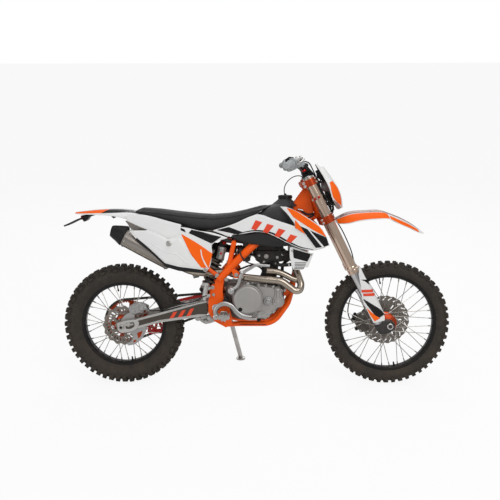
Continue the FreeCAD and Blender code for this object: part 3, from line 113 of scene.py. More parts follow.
def line(points, count, corners=()):
    """count places along a curve through the points: cubic Hermite spans whose tangents are chord slopes.

    At the ends and at the numbered corners each span keeps its own slope, so the curve breaks there.
    """
    p = np.asarray(points, float)
    step = np.linalg.norm(np.diff(p, axis=0), axis=1)
    t = np.concatenate([[0.0], np.cumsum(step)])
    slope = np.diff(p, axis=0) / step[:, None]
    inside = (slope[:-1] * step[1:, None] + slope[1:] * step[:-1, None]) / (step[1:] + step[:-1])[:, None]
    out = np.concatenate([slope[:1], inside, slope[-1:]])
    into = out.copy()
    for corner in corners:
        if 0 < corner < len(p) - 1:
            into[corner] = slope[corner - 1]
            out[corner] = slope[corner]
    at = np.linspace(0, t[-1], count)
    k = np.clip(np.searchsorted(t, at, side="right") - 1, 0, len(step) - 1)
    u = ((at - t[k]) / step[k])[:, None]
    h = step[k][:, None]
    return (2 * u ** 3 - 3 * u ** 2 + 1) * p[k] + (u ** 3 - 2 * u ** 2
        + u) * h * out[k] + (3 * u ** 2 - 2 * u ** 3) * p[k + 1] + (u ** 3 - u ** 2) * h * into[k + 1]


class Shape:
    """Vertices and faces gathered as arrays before they go into one mesh."""

    def __init__(self):
        self.points, self.faces, self.total = [], [], 0

    def add(self, points, faces):
        self.points.append(np.asarray(points, float).reshape(-1, 3))
        for block in faces:
            block = np.asarray(block, int)
            if len(block):
                self.faces += (block + self.total).tolist()
        self.total += len(self.points[-1])
        return self

    def grid(self, points, around=False, along=False, caps=False):
        """A grid of points as quads (i,j)-(i+1,j)-(i+1,j+1)-(i,j+1), wrapped where around or along is set."""
        n, m = points.shape[:2]
        i = np.arange(n if along else n - 1)[:, None]
        j = np.arange(m if around else m - 1)[None, :]
        a, b = i * m + j, (i + 1) % n * m + j
        c, d = (i + 1) % n * m + (j + 1) % m, i * m + (j + 1) % m
        quads = np.stack(np.broadcast_arrays(a, b, c, d), -1).reshape(-1, 4)
        ends = [np.arange(m)[None], (np.arange(m) + (n - 1) * m)[None, ::-1]] if caps else []
        return self.add(points, [quads] + ends)

    def round(self, rings, caps=False):
        """Rings from lathe or tube as a closed skin that faces outwards."""
        return self.grid(rings[:, ::-1], around=True, caps=caps)

    def copies(self, points, faces, turns, places):
        """The same small mesh at many places: each copy's points are turn times point plus place."""
        points, turns, places = np.asarray(points, float), np.asarray(turns, float), np.asarray(places, float)
        every = np.einsum("kij,nj->kni", turns, points) + places[:, None, :]
        steps = (np.arange(len(places)) * len(points))[:, None, None]
        blocks = [(np.asarray(f, int)[None] + steps).reshape(-1, len(f[0])) for f in faces if len(f)]
        return self.add(every.reshape(-1, 3), blocks)


def shapes(count):
    return [Shape() for _ in range(count)]


def link(obj):
    bpy.context.scene.collection.objects.link(obj)


def piece(name, shape, material, body="chassis", place=None, flip=False, smooth=40, wall=0.0, bevel=0.0,
        replaces=(), slot=None, mirrored=False):
    """Puts a Shape into an object that rides on a body, with its side view (x, z) kept as the map 'side'.

    place takes its points to parked metres. If not given, place is the body's. slot is not used: it is looked
    up from the finish when not given, and then left.
    """
    place = place or PLACES[body]
    slot = SLOTS[material.name.split(".")[0]] if slot is None else slot
    points = np.concatenate(shape.points)
    faces = shape.faces
    if mirrored:
        other = points * np.array([1.0, -1.0, 1.0])
        faces = faces + [[v + len(points) for v in reversed(f)] for f in faces]
        points = np.concatenate([points, other])
    if flip:
        faces = [f[::-1] for f in faces]
    mesh = bpy.data.meshes.new(name)
    mesh.from_pydata(place(points).tolist(), [], faces)
    corner = np.empty(len(mesh.loops), np.int32)
    mesh.loops.foreach_get("vertex_index", corner)
    mesh.uv_layers.new(name="side").data.foreach_set("uv", (points[corner][:, [0, 2]] * MM).ravel())
    mesh.polygons.foreach_set("use_smooth", np.ones(len(mesh.polygons), bool))
    mesh.materials.append(material)
    obj = bpy.data.objects.new(name, mesh)
    link(obj)
    if wall:
        add = obj.modifiers.new("wall", "SOLIDIFY")
        add.thickness = wall * MM
        add.offset = -1.0
    if bevel:
        add = obj.modifiers.new("edge", "BEVEL")
        add.width = bevel * MM
        add.segments = 2
        add.limit_method = "ANGLE"
    mesh.set_sharp_from_angle(angle=math.radians(smooth))
    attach(obj, body)
    if replaces:
        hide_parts(*replaces)
    return obj


# Small meshes that are repeated
def block(length, width, height, taper=0.0, low=0.0):
    """A box standing on the plane of its foot, its top drawn in by taper on every side."""
    x, y, t = length / 2, width / 2, taper
    pts = [(-x, -y, low), (x, -y, low), (x, y, low), (-x, y, low), (-x + t, -y + t, height),
        (x - t, -y + t, height), (x - t, y - t, height), (-x + t, y - t, height)]
    return (np.array(pts), [[(0, 3, 2, 1), (4, 5, 6, 7), (0, 1, 5, 4), (1, 2, 6, 5), (2, 3, 7, 6),
        (3, 0, 4, 7)]])


def lathe(profile, start, end, sides=32):
    """Rings round the line from start to end: ring k has the profile's radius at its distance from start."""
    start, end = np.asarray(start, float), np.asarray(end, float)
    way = (end - start) / np.linalg.norm(end - start)
    ref = np.array([1.0, 0, 0]) if abs(way[0]) < 0.9 else np.array([0, 1.0, 0])
    u = np.cross(way, ref)
    u /= np.linalg.norm(u)
    v = np.cross(way, u)
    a = circle(sides)
    ring = np.cos(a)[:, None] * u + np.sin(a)[:, None] * v
    r = np.array([p[0] for p in profile], float)[:, None, None]
    d = np.array([p[1] for p in profile], float)[:, None, None]
    return start + way * d + ring[None] * r


def tube(points, radius, count=60, sides=16, smooth=True):
    """A round tube: circles of one radius, or of radii spread along it, square to a smooth curve's slope."""
    path = line(points, count) if smooth else np.asarray(points, float)
    slope = np.gradient(path, axis=0)
    slope = unit(slope)
    spread = np.abs(slope).sum(0)
    ref = np.eye(3)[int(np.argmin(spread))]
    u = np.cross(slope, ref)
    u = unit(u)
    v = np.cross(slope, u)
    radii = np.interp(np.linspace(0, 1, len(path)), np.linspace(0, 1, np.size(radius)), np.atleast_1d(radius))
    a = circle(sides)
    ring = np.cos(a)[None, :, None] * u[:, None, :] + np.sin(a)[None, :, None] * v[:, None, :]
    return path[:, None, :] + ring * radii[:, None, None]


def turn_to(way, ahead):
    """Turns whose third column is way and whose first is ahead made square to it, one per row."""
    way = unit(way)
    first = ahead - way * (ahead * way).sum(-1, keepdims=True)
    first /= np.linalg.norm(first, axis=-1, keepdims=True)
    return np.stack([first, np.cross(way, first), way], -1)


BOLT_POINTS = lathe([(0.01, 0), (6.0, 0), (6.0, 1.2), (5.0, 1.6), (5.0, 5.0), (4.4, 5.6), (2.4, 5.6),
    (2.2, 3.0), (0.01, 3.0)], (0, 0, 0), (0, 0, 1), 8)
HEX_POINTS = lathe([(0.01, 0), (7.4, 0), (7.4, 1.4), (5.8, 1.6), (5.8, 5.6), (5.2, 6.2), (0.01, 6.2)],
    (0, 0, 0), (0, 0, 1), 6)


def bolts(shape, places, way, scale=1.0, small=BOLT_POINTS):
    """Bolt heads at the given places, all facing way."""
    places = np.asarray(places, float)
    quads = ring_quads(*small.shape[:2])
    way = np.asarray(way, float)
    side = np.array([1.0, 0, 0]) if abs(way[0]) < 0.9 * np.linalg.norm(way) else np.array([0, 0, 1.0])
    turn = turn_to(way[None], side[None]) * scale
    return shape.copies(small.reshape(-1, 3), [quads], np.repeat(turn, len(places), 0), places)


# Materials
def group(name, inputs, outputs):
    """A shader group with the named inputs, as (name, kind, value), and outputs, and its two end nodes."""
    tree = bpy.data.node_groups.new(name, "ShaderNodeTree")
    for title, kind, value in inputs:
        socket = tree.interface.new_socket(title, in_out="INPUT", socket_type="NodeSocket" + kind)
        if value is not None:
            socket.default_value = value
    for title, kind in outputs:
        tree.interface.new_socket(title, in_out="OUTPUT", socket_type="NodeSocket" + kind)
    return tree, tree.nodes.new("NodeGroupInput"), tree.nodes.new("NodeGroupOutput")


def put(tree, kind, links=None, **settings):
    """A node with its settings, and each named or numbered input set to a value or joined to a socket."""
    node = tree.nodes.new(kind)
    for key, value in settings.items():
        setattr(node, key, value)
    for key, value in (links or {}).items():
        if isinstance(value, bpy.types.NodeSocket):
            tree.links.new(value, node.inputs[key])
        else:
            node.inputs[key].default_value = value
    return node


def math_node(tree, operation, first, second=0.0, clamp=False):
    return put(tree, "ShaderNodeMath", {0: first, 1: second}, operation=operation, use_clamp=clamp).outputs[0]


def smooth_step(tree, value, low, high):
    """0 at low, 1 at high, eased between."""
    return put(tree, "ShaderNodeMapRange", {"Value": value, "From Min": low, "From Max": high},
        interpolation_type="SMOOTHSTEP").outputs[0]


def grain_group():
    """Fine and coarse noise: Shade is their weighted sum about one half, Height the fine part alone."""
    tree, head, tail = group("grain", [("Vector", "Vector", None), ("Coarse", "Float", 12.0),
        ("Fine", "Float", 900.0), ("Stretch", "Vector", (1, 1, 1))], [("Shade", "Float"),
        ("Height", "Float")])
    place = put(tree, "ShaderNodeVectorMath", {0: head.outputs["Vector"], 1: head.outputs["Stretch"]},
        operation="MULTIPLY").outputs[0]
    coarse = put(tree, "ShaderNodeTexNoise", {"Vector": place, "Scale": head.outputs["Coarse"], "Detail": 5.0,
        "Roughness": 0.6})
    fine = put(tree, "ShaderNodeTexNoise", {"Vector": place, "Scale": head.outputs["Fine"], "Detail": 3.0})
    both = math_node(tree, "ADD", math_node(tree, "MULTIPLY", coarse.outputs[0], 0.7),
        math_node(tree, "MULTIPLY", fine.outputs[0], 0.3))
    tree.links.new(both, tail.inputs["Shade"])
    tree.links.new(fine.outputs[0], tail.inputs["Height"])
    return tree


def wear_group():
    """Edges: one minus the dot of the face's normal and a rounded normal, broken up by noise."""
    tree, head, tail = group("edge_wear", [("Vector", "Vector", None), ("Radius", "Float", 0.0015),
        ("Amount", "Float", 1.0)], [("Mask", "Float")])
    round_off = put(tree, "ShaderNodeBevel", {"Radius": head.outputs["Radius"]}, samples=3)
    plain = put(tree, "ShaderNodeNewGeometry")
    dot = put(tree, "ShaderNodeVectorMath", {0: round_off.outputs[0], 1: plain.outputs["Normal"]},
        operation="DOT_PRODUCT").outputs["Value"]
    edge = smooth_step(tree, math_node(tree, "SUBTRACT", 1.0, dot), 0.02, 0.25)
    noise = put(tree, "ShaderNodeTexNoise", {"Vector": head.outputs["Vector"], "Scale": 90.0, "Detail": 6.0})
    broken = smooth_step(tree, noise.outputs[0], 0.42, 0.62)
    mask = math_node(tree, "MULTIPLY", math_node(tree, "MULTIPLY", edge, broken), head.outputs["Amount"],
        True)
    tree.links.new(mask, tail.inputs["Mask"])
    return tree


def dust_group():
    """Dust: thicker towards the ground and on faces that look up, in patches of noise."""
    tree, head, tail = group("dust", [("Vector", "Vector", None), ("Top", "Float", 0.9),
        ("Amount", "Float", 0.5), ("Patch", "Float", 14.0)], [("Mask", "Float")])
    split = put(tree, "ShaderNodeSeparateXYZ", {0: head.outputs["Vector"]})
    low = smooth_step(tree, split.outputs[2], head.outputs["Top"], 0.0)
    face = put(tree, "ShaderNodeSeparateXYZ", {0: put(tree, "ShaderNodeNewGeometry").outputs["Normal"]})
    upward = math_node(tree, "ADD", math_node(tree, "MULTIPLY", face.outputs[2], 0.35), 0.65, True)
    noise = put(tree, "ShaderNodeTexNoise", {"Vector": head.outputs["Vector"], "Scale": head.outputs["Patch"],
        "Detail": 8.0, "Roughness": 0.65})
    patch = smooth_step(tree, noise.outputs[0], 0.35, 0.72)
    mask = math_node(tree, "MULTIPLY", math_node(tree, "MULTIPLY", low, upward), patch)
    mask = math_node(tree, "MULTIPLY", mask, head.outputs["Amount"], True)
    tree.links.new(mask, tail.inputs["Mask"])
    return tree


def pebble_group():
    """Moulded or vinyl grain: the distance to the edges of small Voronoi cells."""
    tree, head, tail = group("pebble", [("Vector", "Vector", None), ("Scale", "Float", 500.0)],
        [("Height", "Float")])
    cells = put(tree, "ShaderNodeTexVoronoi", {"Vector": head.outputs["Vector"],
        "Scale": head.outputs["Scale"]}, feature="DISTANCE_TO_EDGE")
    height = smooth_step(tree, cells.outputs[0], 0.0, 0.22)
    tree.links.new(height, tail.inputs["Height"])
    return tree


GRAIN, WEAR, DUST, PEBBLE = grain_group(), wear_group(), dust_group(), pebble_group()
DUST_COLOUR = (0.17, 0.115, 0.075, 1.0)


def use(tree, made, links):
    return put(tree, "ShaderNodeGroup", links, node_tree=made)


def mix(tree, factor, first, second):
    node = put(tree, "ShaderNodeMix", {0: factor}, data_type="RGBA")
    for index, value in ((6, first), (7, second)):
        if isinstance(value, bpy.types.NodeSocket):
            tree.links.new(value, node.inputs[index])
        else:
            node.inputs[index].default_value = value
    return node.outputs[2]


def rgba(colour):
    return *colour, 1.0


def surface(name, colour, other, rough=(0.3, 0.5), metallic=0.0, coarse=12.0, fine=900.0, stretch=(1, 1, 1),
        bump=0.02, pebble=0.0, wear=0.0, worn=(0.5, 0.5, 0.5), dust=0.0, dust_top=0.9, coat=0.0,
        coat_rough=0.1, specular=0.5, metal_wear=0.0):
    """A finish: two shades mixed by grain, worn edges, dust over both, and a bump of grain or pebbles."""
    material = bpy.data.materials.new(name)
    material.use_nodes = True
    tree = material.node_tree
    tree.nodes.clear()
    place = put(tree, "ShaderNodeTexCoord").outputs["Object"]
    grain = use(tree, GRAIN, {"Vector": place, "Coarse": coarse, "Fine": fine, "Stretch": stretch})
    shade = smooth_step(tree, grain.outputs["Shade"], 0.3, 0.7)
    base = mix(tree, shade, rgba(colour), rgba(other))
    roughness = put(tree, "ShaderNodeMapRange", {"Value": grain.outputs["Shade"], "From Min": 0.3,
        "From Max": 0.7, "To Min": rough[0], "To Max": rough[1]}).outputs[0]
    height = grain.outputs["Height"]
    if pebble:
        height = use(tree, PEBBLE, {"Vector": place, "Scale": pebble}).outputs["Height"]
    shader = put(tree, "ShaderNodeBsdfPrincipled", {"Metallic": metallic, "Coat Weight": coat,
        "Coat Roughness": coat_rough, "Specular IOR Level": specular})
    if wear:
        mask = use(tree, WEAR, {"Vector": place, "Amount": wear}).outputs[0]
        base = mix(tree, mask, base, rgba(worn))
        if metal_wear:
            tree.links.new(math_node(tree, "MAXIMUM", math_node(tree, "MULTIPLY", mask, metal_wear),
                metallic), shader.inputs["Metallic"])
    if dust:
        mask = use(tree, DUST, {"Vector": place, "Amount": dust, "Top": dust_top}).outputs[0]
        base = mix(tree, mask, base, DUST_COLOUR)
        roughness = math_node(tree, "ADD", roughness, math_node(tree, "MULTIPLY", mask, 0.4), True)
    relief = put(tree, "ShaderNodeBump", {"Height": height, "Strength": 1.0, "Distance": bump * MM})
    tree.links.new(base, shader.inputs["Base Color"])
    tree.links.new(roughness, shader.inputs["Roughness"])
    tree.links.new(relief.outputs[0], shader.inputs["Normal"])
    out = put(tree, "ShaderNodeOutputMaterial")
    tree.links.new(shader.outputs[0], out.inputs[0])
    return material


tyre_rubber = surface("tyre_rubber", (0.022, 0.019, 0.016), (0.04, 0.034, 0.028), (0.55, 0.8), coarse=40,
    fine=500, bump=0.25, wear=1.0, worn=(0.17, 0.15, 0.125), dust=0.25, dust_top=1.1, specular=0.3)
rim_black = surface("rim_black", (0.006, 0.006, 0.0065), (0.01, 0.01, 0.01), (0.3, 0.46), coarse=20,
    bump=0.01, wear=0.3, worn=(0.35, 0.35, 0.34), dust=0.12, coat=0.0, specular=0.2)
spoke_steel = surface("spoke_steel", (0.42, 0.4, 0.37), (0.3, 0.285, 0.265), (0.2, 0.36), 1.0, fine=1400,
    bump=0.01, dust=0.2)
hub_orange = surface("hub_orange", (0.46, 0.055, 0.01), (0.36, 0.038, 0.008), (0.28, 0.42), 0.75, coarse=16,
    bump=0.015, wear=0.6, worn=(0.6, 0.42, 0.32), dust=0.2, metal_wear=1.0)
disc_steel = surface("disc_steel", (0.27, 0.24, 0.215), (0.2, 0.178, 0.158), (0.4, 0.56), 1.0, coarse=30,
    fine=1800, bump=0.03, dust=0.2)
clamp_orange = surface("clamp_orange", (0.5, 0.06, 0.01), (0.36, 0.04, 0.008), (0.24, 0.38), 0.7, coarse=14,
    fine=1400, bump=0.02, wear=0.5, worn=(0.72, 0.4, 0.26), metal_wear=1.0)
tube_bronze = surface("tube_bronze", (0.62, 0.475, 0.375), (0.59, 0.45, 0.355), (0.1, 0.16), 0.85, coarse=6,
    fine=900, stretch=(1, 1, 0.12), bump=0.012, wear=0.3, worn=(0.62, 0.52, 0.42))
leg_chrome = surface("leg_chrome", (0.6, 0.6, 0.61), (0.52, 0.52, 0.53), (0.08, 0.2), 1.0, coarse=10,
    fine=1500, bump=0.004, dust=0.15)
lug_black = surface("lug_black", (0.022, 0.022, 0.023), (0.045, 0.044, 0.043), (0.38, 0.55), 0.4, coarse=30,
    fine=700, bump=0.06, wear=0.7, worn=(0.3, 0.3, 0.3), dust=0.2)
white_plastic = surface("white_plastic", (0.8, 0.8, 0.79), (0.74, 0.745, 0.74), (0.26, 0.4), coarse=7,
    fine=350, bump=0.02, wear=0.25, worn=(0.62, 0.62, 0.6), dust=0.12, dust_top=0.8, coat=0.12)
orange_plastic = surface("orange_plastic", (0.98, 0.14, 0.001), (0.94, 0.12, 0.001), (0.25, 0.38), coarse=7,
    fine=350, bump=0.02, wear=0.25, worn=(0.95, 0.4, 0.18), dust=0.1, coat=0.04, specular=0.25)
grey_plastic = surface("grey_plastic", (0.014, 0.0135, 0.013), (0.024, 0.023, 0.023), (0.42, 0.58), coarse=9,
    fine=500, bump=0.06, pebble=900, wear=0.3, worn=(0.14, 0.14, 0.14), dust=0.15, specular=0.22)
black_plastic = surface("black_plastic", (0.008, 0.008, 0.0085), (0.014, 0.014, 0.0145), (0.4, 0.58),
    coarse=10, bump=0.05, pebble=1000, wear=0.3, worn=(0.09, 0.09, 0.09), dust=0.12, specular=0.22)
black_decal = surface("black_decal", (0.006, 0.006, 0.0065), (0.01, 0.01, 0.0105), (0.22, 0.34), coarse=25,
    fine=300, bump=0.01, dust=0.08, coat=0.1, specular=0.22)
tank_plastic = surface("tank_plastic", (0.027, 0.027, 0.029), (0.038, 0.038, 0.04), (0.4, 0.54), coarse=6,
    fine=500, bump=0.07, pebble=850, dust=0.1, specular=0.22)
seat_vinyl = surface("seat_vinyl", (0.022, 0.022, 0.023), (0.034, 0.034, 0.035), (0.58, 0.78), coarse=11,
    fine=500, bump=0.16, pebble=420, dust=0.18, dust_top=1.4, specular=0.35)
lamp_glass = surface("lamp_glass", (0.55, 0.58, 0.61), (0.42, 0.45, 0.48), (0.06, 0.14), 0.2, coarse=60,
    fine=200, bump=0.05, coat=0.8, coat_rough=0.03)
bar_black = surface("bar_black", (0.008, 0.008, 0.0085), (0.014, 0.014, 0.014), (0.3, 0.46), 0.35, coarse=20,
    bump=0.02, wear=0.6, worn=(0.25, 0.25, 0.25), specular=0.22)
grip_rubber = surface("grip_rubber", (0.33, 0.345, 0.35), (0.4, 0.415, 0.42), (0.6, 0.8), coarse=25, fine=600,
    bump=0.12, dust=0.15, dust_top=1.6)
control_grey = surface("control_grey", (0.29, 0.305, 0.31), (0.37, 0.385, 0.39), (0.34, 0.5), 0.45, coarse=26,
    fine=600, bump=0.05, wear=0.5, worn=(0.55, 0.55, 0.55))
hose_rubber = surface("hose_rubber", (0.014, 0.014, 0.014), (0.026, 0.025, 0.025), (0.42, 0.6), coarse=30,
    fine=500, bump=0.05, specular=0.22)
cast_silver = surface("cast_silver", (0.58, 0.575, 0.56), (0.44, 0.435, 0.42), (0.34, 0.52), 0.85, coarse=24,
    fine=500, bump=0.09, wear=0.7, worn=(0.66, 0.65, 0.63), dust=0.25, dust_top=1.0)
frame_orange = surface("frame_orange", (0.93, 0.112, 0.002), (0.86, 0.094, 0.002), (0.26, 0.4), coarse=9,
    fine=260, bump=0.05, wear=0.35, worn=(0.88, 0.34, 0.14), dust=0.16, dust_top=0.9, coat=0.05,
    specular=0.25)
arm_face = surface("arm_face", (0.105, 0.088, 0.076), (0.075, 0.062, 0.053), (0.36, 0.52), 0.7, coarse=5,
    fine=700, stretch=(0.12, 1, 1), bump=0.03, wear=1.0, worn=(0.52, 0.51, 0.49), dust=0.2)
arm_bright = surface("arm_bright", (0.66, 0.65, 0.63), (0.54, 0.53, 0.51), (0.28, 0.44), 0.9, coarse=5,
    fine=800, stretch=(0.12, 1, 1), bump=0.03, wear=0.5, worn=(0.7, 0.69, 0.67), dust=0.15)
engine_grey = surface("engine_grey", (0.15, 0.137, 0.125), (0.085, 0.077, 0.07), (0.42, 0.6), 0.7, coarse=22,
    fine=420, bump=0.16, wear=0.9, worn=(0.46, 0.45, 0.43), dust=0.3, dust_top=0.9)
cover_grey = surface("cover_grey", (0.45, 0.435, 0.415), (0.37, 0.355, 0.34), (0.36, 0.5), 0.75, coarse=14,
    fine=600, bump=0.07, wear=0.8, worn=(0.58, 0.57, 0.55), dust=0.15, dust_top=0.9)
cylinder_black = surface("cylinder_black", (0.026, 0.024, 0.022), (0.045, 0.04, 0.036), (0.5, 0.7), 0.5,
    coarse=22, fine=450, bump=0.14, wear=0.8, worn=(0.22, 0.21, 0.2), dust=0.3)
core_silver = surface("core_silver", (0.33, 0.33, 0.33), (0.22, 0.22, 0.22), (0.4, 0.55), 0.85, coarse=18,
    fine=700, bump=0.06, wear=0.5, worn=(0.5, 0.5, 0.5), dust=0.2)
pipe_steel = surface("pipe_steel", (0.44, 0.38, 0.315), (0.31, 0.262, 0.212), (0.2, 0.34), 1.0, coarse=7,
    fine=900, bump=0.01, dust=0.1)
can_titanium = surface("can_titanium", (0.33, 0.3, 0.275), (0.26, 0.235, 0.21), (0.26, 0.4), 0.95, coarse=5,
    fine=900, stretch=(0.2, 1, 1), bump=0.015, wear=0.4, worn=(0.5, 0.48, 0.46))
plain_steel = surface("plain_steel", (0.6, 0.59, 0.57), (0.46, 0.45, 0.43), (0.24, 0.4), 1.0, coarse=22,
    fine=900, bump=0.02, wear=0.4, worn=(0.7, 0.69, 0.66), dust=0.2)
lever_polish = surface("lever_polish", (0.5, 0.495, 0.485), (0.4, 0.395, 0.385), (0.28, 0.42), 1.0, coarse=16,
    fine=900, bump=0.01, dust=0.12)
chain_steel = surface("chain_steel", (0.035, 0.032, 0.03), (0.065, 0.06, 0.055), (0.32, 0.55), 0.8, coarse=40,
    fine=700, bump=0.03, wear=0.8, worn=(0.28, 0.26, 0.24), dust=0.2)
guide_red = surface("guide_red", (0.85, 0.02, 0.015), (0.7, 0.015, 0.012), (0.36, 0.5), coarse=15, bump=0.04,
    pebble=900, wear=0.5, worn=(0.45, 0.08, 0.06), dust=0.2)
lamp_red = surface("lamp_red", (0.4, 0.008, 0.008), (0.3, 0.006, 0.006), (0.1, 0.2), coarse=50, fine=200,
    bump=0.05, coat=0.7, coat_rough=0.04)
slash_red = surface("slash_red", (0.8, 0.062, 0.012), (0.72, 0.045, 0.01), (0.24, 0.36), coarse=18, fine=350,
    bump=0.01, coat=0.2)
anodised_red = surface("anodised_red", (0.55, 0.012, 0.01), (0.42, 0.008, 0.008), (0.2, 0.34), 0.8, coarse=30,
    fine=900, bump=0.01, wear=0.4, worn=(0.7, 0.4, 0.36))
spring_black = surface("spring_black", (0.015, 0.014, 0.0135), (0.026, 0.024, 0.022), (0.3, 0.45), 0.3,
    coarse=20, bump=0.02, wear=0.5, worn=(0.24, 0.22, 0.2), dust=0.2, specular=0.22)
# Pinkish grey: painted shade for white plastic where it lies in shadow, used along the front fender's top and
# low on the headlight mask.
crown_rose = surface("crown_rose", (0.34, 0.235, 0.215), (0.29, 0.195, 0.178), (0.3, 0.44), coarse=8,
    fine=350, bump=0.01, dust=0.1)
lid_grey = surface("lid_grey", (0.4, 0.385, 0.365), (0.35, 0.338, 0.32), (0.4, 0.52), 0.55, coarse=9,
    fine=700, bump=0.012, wear=0.3, worn=(0.55, 0.54, 0.52), dust=0.1)
shock_coil = surface("shock_coil", (0.3, 0.245, 0.205), (0.22, 0.18, 0.15), (0.32, 0.46), 0.4, coarse=16,
    bump=0.03, wear=0.4, worn=(0.24, 0.21, 0.18), dust=0.2)
SLOTS = {finish: slot for slot, finishes in {"tyre_black": "tyre_rubber",
    "disc_steel": "spoke_steel disc_steel", "hub_orange": "hub_orange", "clamp_orange": "clamp_orange",
    "tube_bronze": "tube_bronze", "bar_black": "lug_black bar_black spring_black",
    "plastic_white": "white_plastic crown_rose", "plastic_orange": "orange_plastic slash_red anodised_red",
    "plastic_grey": "grey_plastic", "plastic_black": "black_plastic black_decal control_grey",
    "tank_black": "tank_plastic", "seat_black": "seat_vinyl", "lamp_clear": "lamp_glass",
    "grip_grey": "grip_rubber", "hose_black": "hose_rubber shock_coil",
    "silver_cast": "cast_silver lever_polish", "frame_orange": "frame_orange",
    "arm_grey": "arm_face arm_bright", "engine_grey": "engine_grey cover_grey lid_grey",
    "cylinder_black": "cylinder_black", "radiator_silver": "core_silver", "header_steel": "pipe_steel",
    "muffler_grey": "can_titanium", "steel_plain": "plain_steel", "chain_black": "chain_steel",
    "guide_red": "guide_red", "lamp_red": "lamp_red"}.items() for finish in finishes.split()}
for finish, names in ((tyre_rubber, "front_tyre rear_tyre"), (rim_black, "front_rim rear_rim"),
        (spoke_steel, "front_hub_and_spokes"), (hub_orange, "rear_hub_and_sprocket"),
        (disc_steel, "front_brake_disc rear_brake_disc"), (clamp_orange, "triple_clamps"),
        (tube_bronze, "fork_outer_tubes"), (leg_chrome, "fork_legs"), (white_plastic,
        "fork_guards headlight_mask shrouds side_panels rear_fender"), (orange_plastic, "front_fender"),
        (lamp_glass, "headlight"), (bar_black, "handlebar hand_controls"), (grip_rubber, "hand_grips"),
        (cast_silver, "front_caliper suspension_linkage rear_caliper rear_master_cylinder"),
        (hose_rubber, "front_brake_hose breather_hose"), (plain_steel, "side_stand footpegs"),
        (frame_orange, "main_frame"), (arm_bright, "swingarm"), (spring_black, "shock_absorber"),
        (lug_black, "subframe"), (engine_grey, "crankcase carburettor"), (cover_grey,
        "clutch_cover flywheel_cover"), (cylinder_black, "cylinder cylinder_head"),
        (black_plastic, "airbox fuel_cap plate_holder"), (core_silver, "radiators"),
        (pipe_steel, "exhaust_header"), (can_titanium, "muffler"), (tank_plastic, "fuel_tank"),
        (seat_vinyl, "seat"), (grey_plastic, "lower_covers"), (lamp_red, "tail_lamp"),
        (lever_polish, "brake_pedal shift_lever kick_starter"), (chain_steel, "chain"),
        (guide_red, "chain_guide")):
    for node_name in names.split():
        for material_slot in nodes[node_name].material_slots:
            material_slot.material = finish


# Wheels
def around(profile, count):
    """The (radius, left) profile turned about the axle: point (r cos a, left, r sin a) for count angles a."""
    p = np.asarray(profile, float)
    a = circle(count)[:, None]
    return np.stack([p[None, :, 0] * np.cos(a), np.broadcast_to(p[None, :, 1], (count, len(p))),
        p[None, :, 0] * np.sin(a)], -1)


def spun(radius, left, angle, lean):
    """Places at an angle round the axle, and the turns that stand a lug there, leaned out from the radius."""
    angle, lean = np.broadcast_arrays(np.asarray(angle, float), np.asarray(lean, float))
    out = np.stack([np.cos(angle) * np.cos(lean), np.sin(lean), np.sin(angle) * np.cos(lean)], -1)
    ahead = np.stack([-np.sin(angle), np.zeros_like(angle), np.cos(angle)], -1)
    place = np.stack([radius * np.cos(angle), np.full_like(angle, left), radius * np.sin(angle)], -1)
    return turn_to(out, ahead), place


def tyre(node, body, half_profile, rows, side_rows):
    """A carcass turned from its half profile, with rows of lugs, each a block stood on the crown's normal."""
    shape = Shape()
    other = [(r, -y) for r, y in reversed(half_profile) if abs(y) > 0.01]
    shape.grid(around(half_profile + other, 144), around=True, along=True)
    for count, radius, left, lean, (length, width, height, taper), offset in rows + side_rows:
        pts, faces = block(length, width, height, taper, -4.0)
        angle = (np.arange(count) + offset) * 2 * math.pi / count - math.pi / 2
        for side in (1, -1) if left else (1,):
            turns, places = spun(radius, side * left, angle, side * math.radians(lean))
            shape.copies(pts, faces, turns, places)
    piece(node + "_lugs", shape, tyre_rubber, body, smooth=35, bevel=0.8, replaces=[node])


tyre("front_tyre", "front_wheel", [(264, 20), (270, 25), (277, 29.5), (288, 36), (300, 39.5), (311, 39.5),
    (321, 36), (329, 28), (333, 15), (334, 0)], [(26, 333.4, 9.5, 8, (24, 15, 12, 1.5), 0.0),
    (26, 331.5, 20, 20, (22, 15, 12.5, 1.5), 0.5), (26, 327, 30.5, 38, (24, 13, 12.5, 1.5), 0.0)],
    [(26, 319.5, 36.5, 55, (24, 14, 11, 2), 0.5), (26, 321, 35.5, 50, (20, 12, 9, 2), 0.0),
    (96, 305, 39.2, 84, (5, 8, 1.6, 0.6), 0.0)])
tyre("rear_tyre", "rear_wheel", [(228, 25), (235, 31), (244, 36), (258, 44), (272, 49.5), (286, 51.5),
    (299, 49), (311, 41), (318, 28), (321, 12), (321.5, 0)], [(26, 321, 14, 9, (28, 22, 14.5, 2), 0.0),
    (26, 317.5, 30, 24, (26, 18, 15, 2), 0.5), (26, 321.5, 0, 0, (20, 16, 14.5, 2), 0.5),
    (26, 311, 40.5, 40, (26, 18, 14.5, 2), 0.0)], [(26, 301, 47.0, 58, (27, 18, 12.5, 2), 0.5),
    (26, 303, 46.5, 54, (22, 14, 9, 2), 0.0), (96, 278, 50.8, 88, (5, 9, 1.6, 0.6), 0.0)])
SPOKES = 36


def spokes(rim, flange, lift):
    """Crossed spokes: thin rods from a flange hole to the rim, the foot turned 62 degrees either way."""
    index = np.arange(SPOKES)
    side = np.where(index % 2, 1.0, -1.0)
    turn = np.where(index % 4 < 2, 1.0, -1.0)
    tip = 2 * math.pi * (index + 0.5) / SPOKES
    foot = tip + turn * math.radians(62)
    start = np.stack([flange * np.cos(foot), side * lift, flange * np.sin(foot)], -1)
    end = np.stack([rim * np.cos(tip), side * 5, rim * np.sin(tip)], -1)
    return start, end


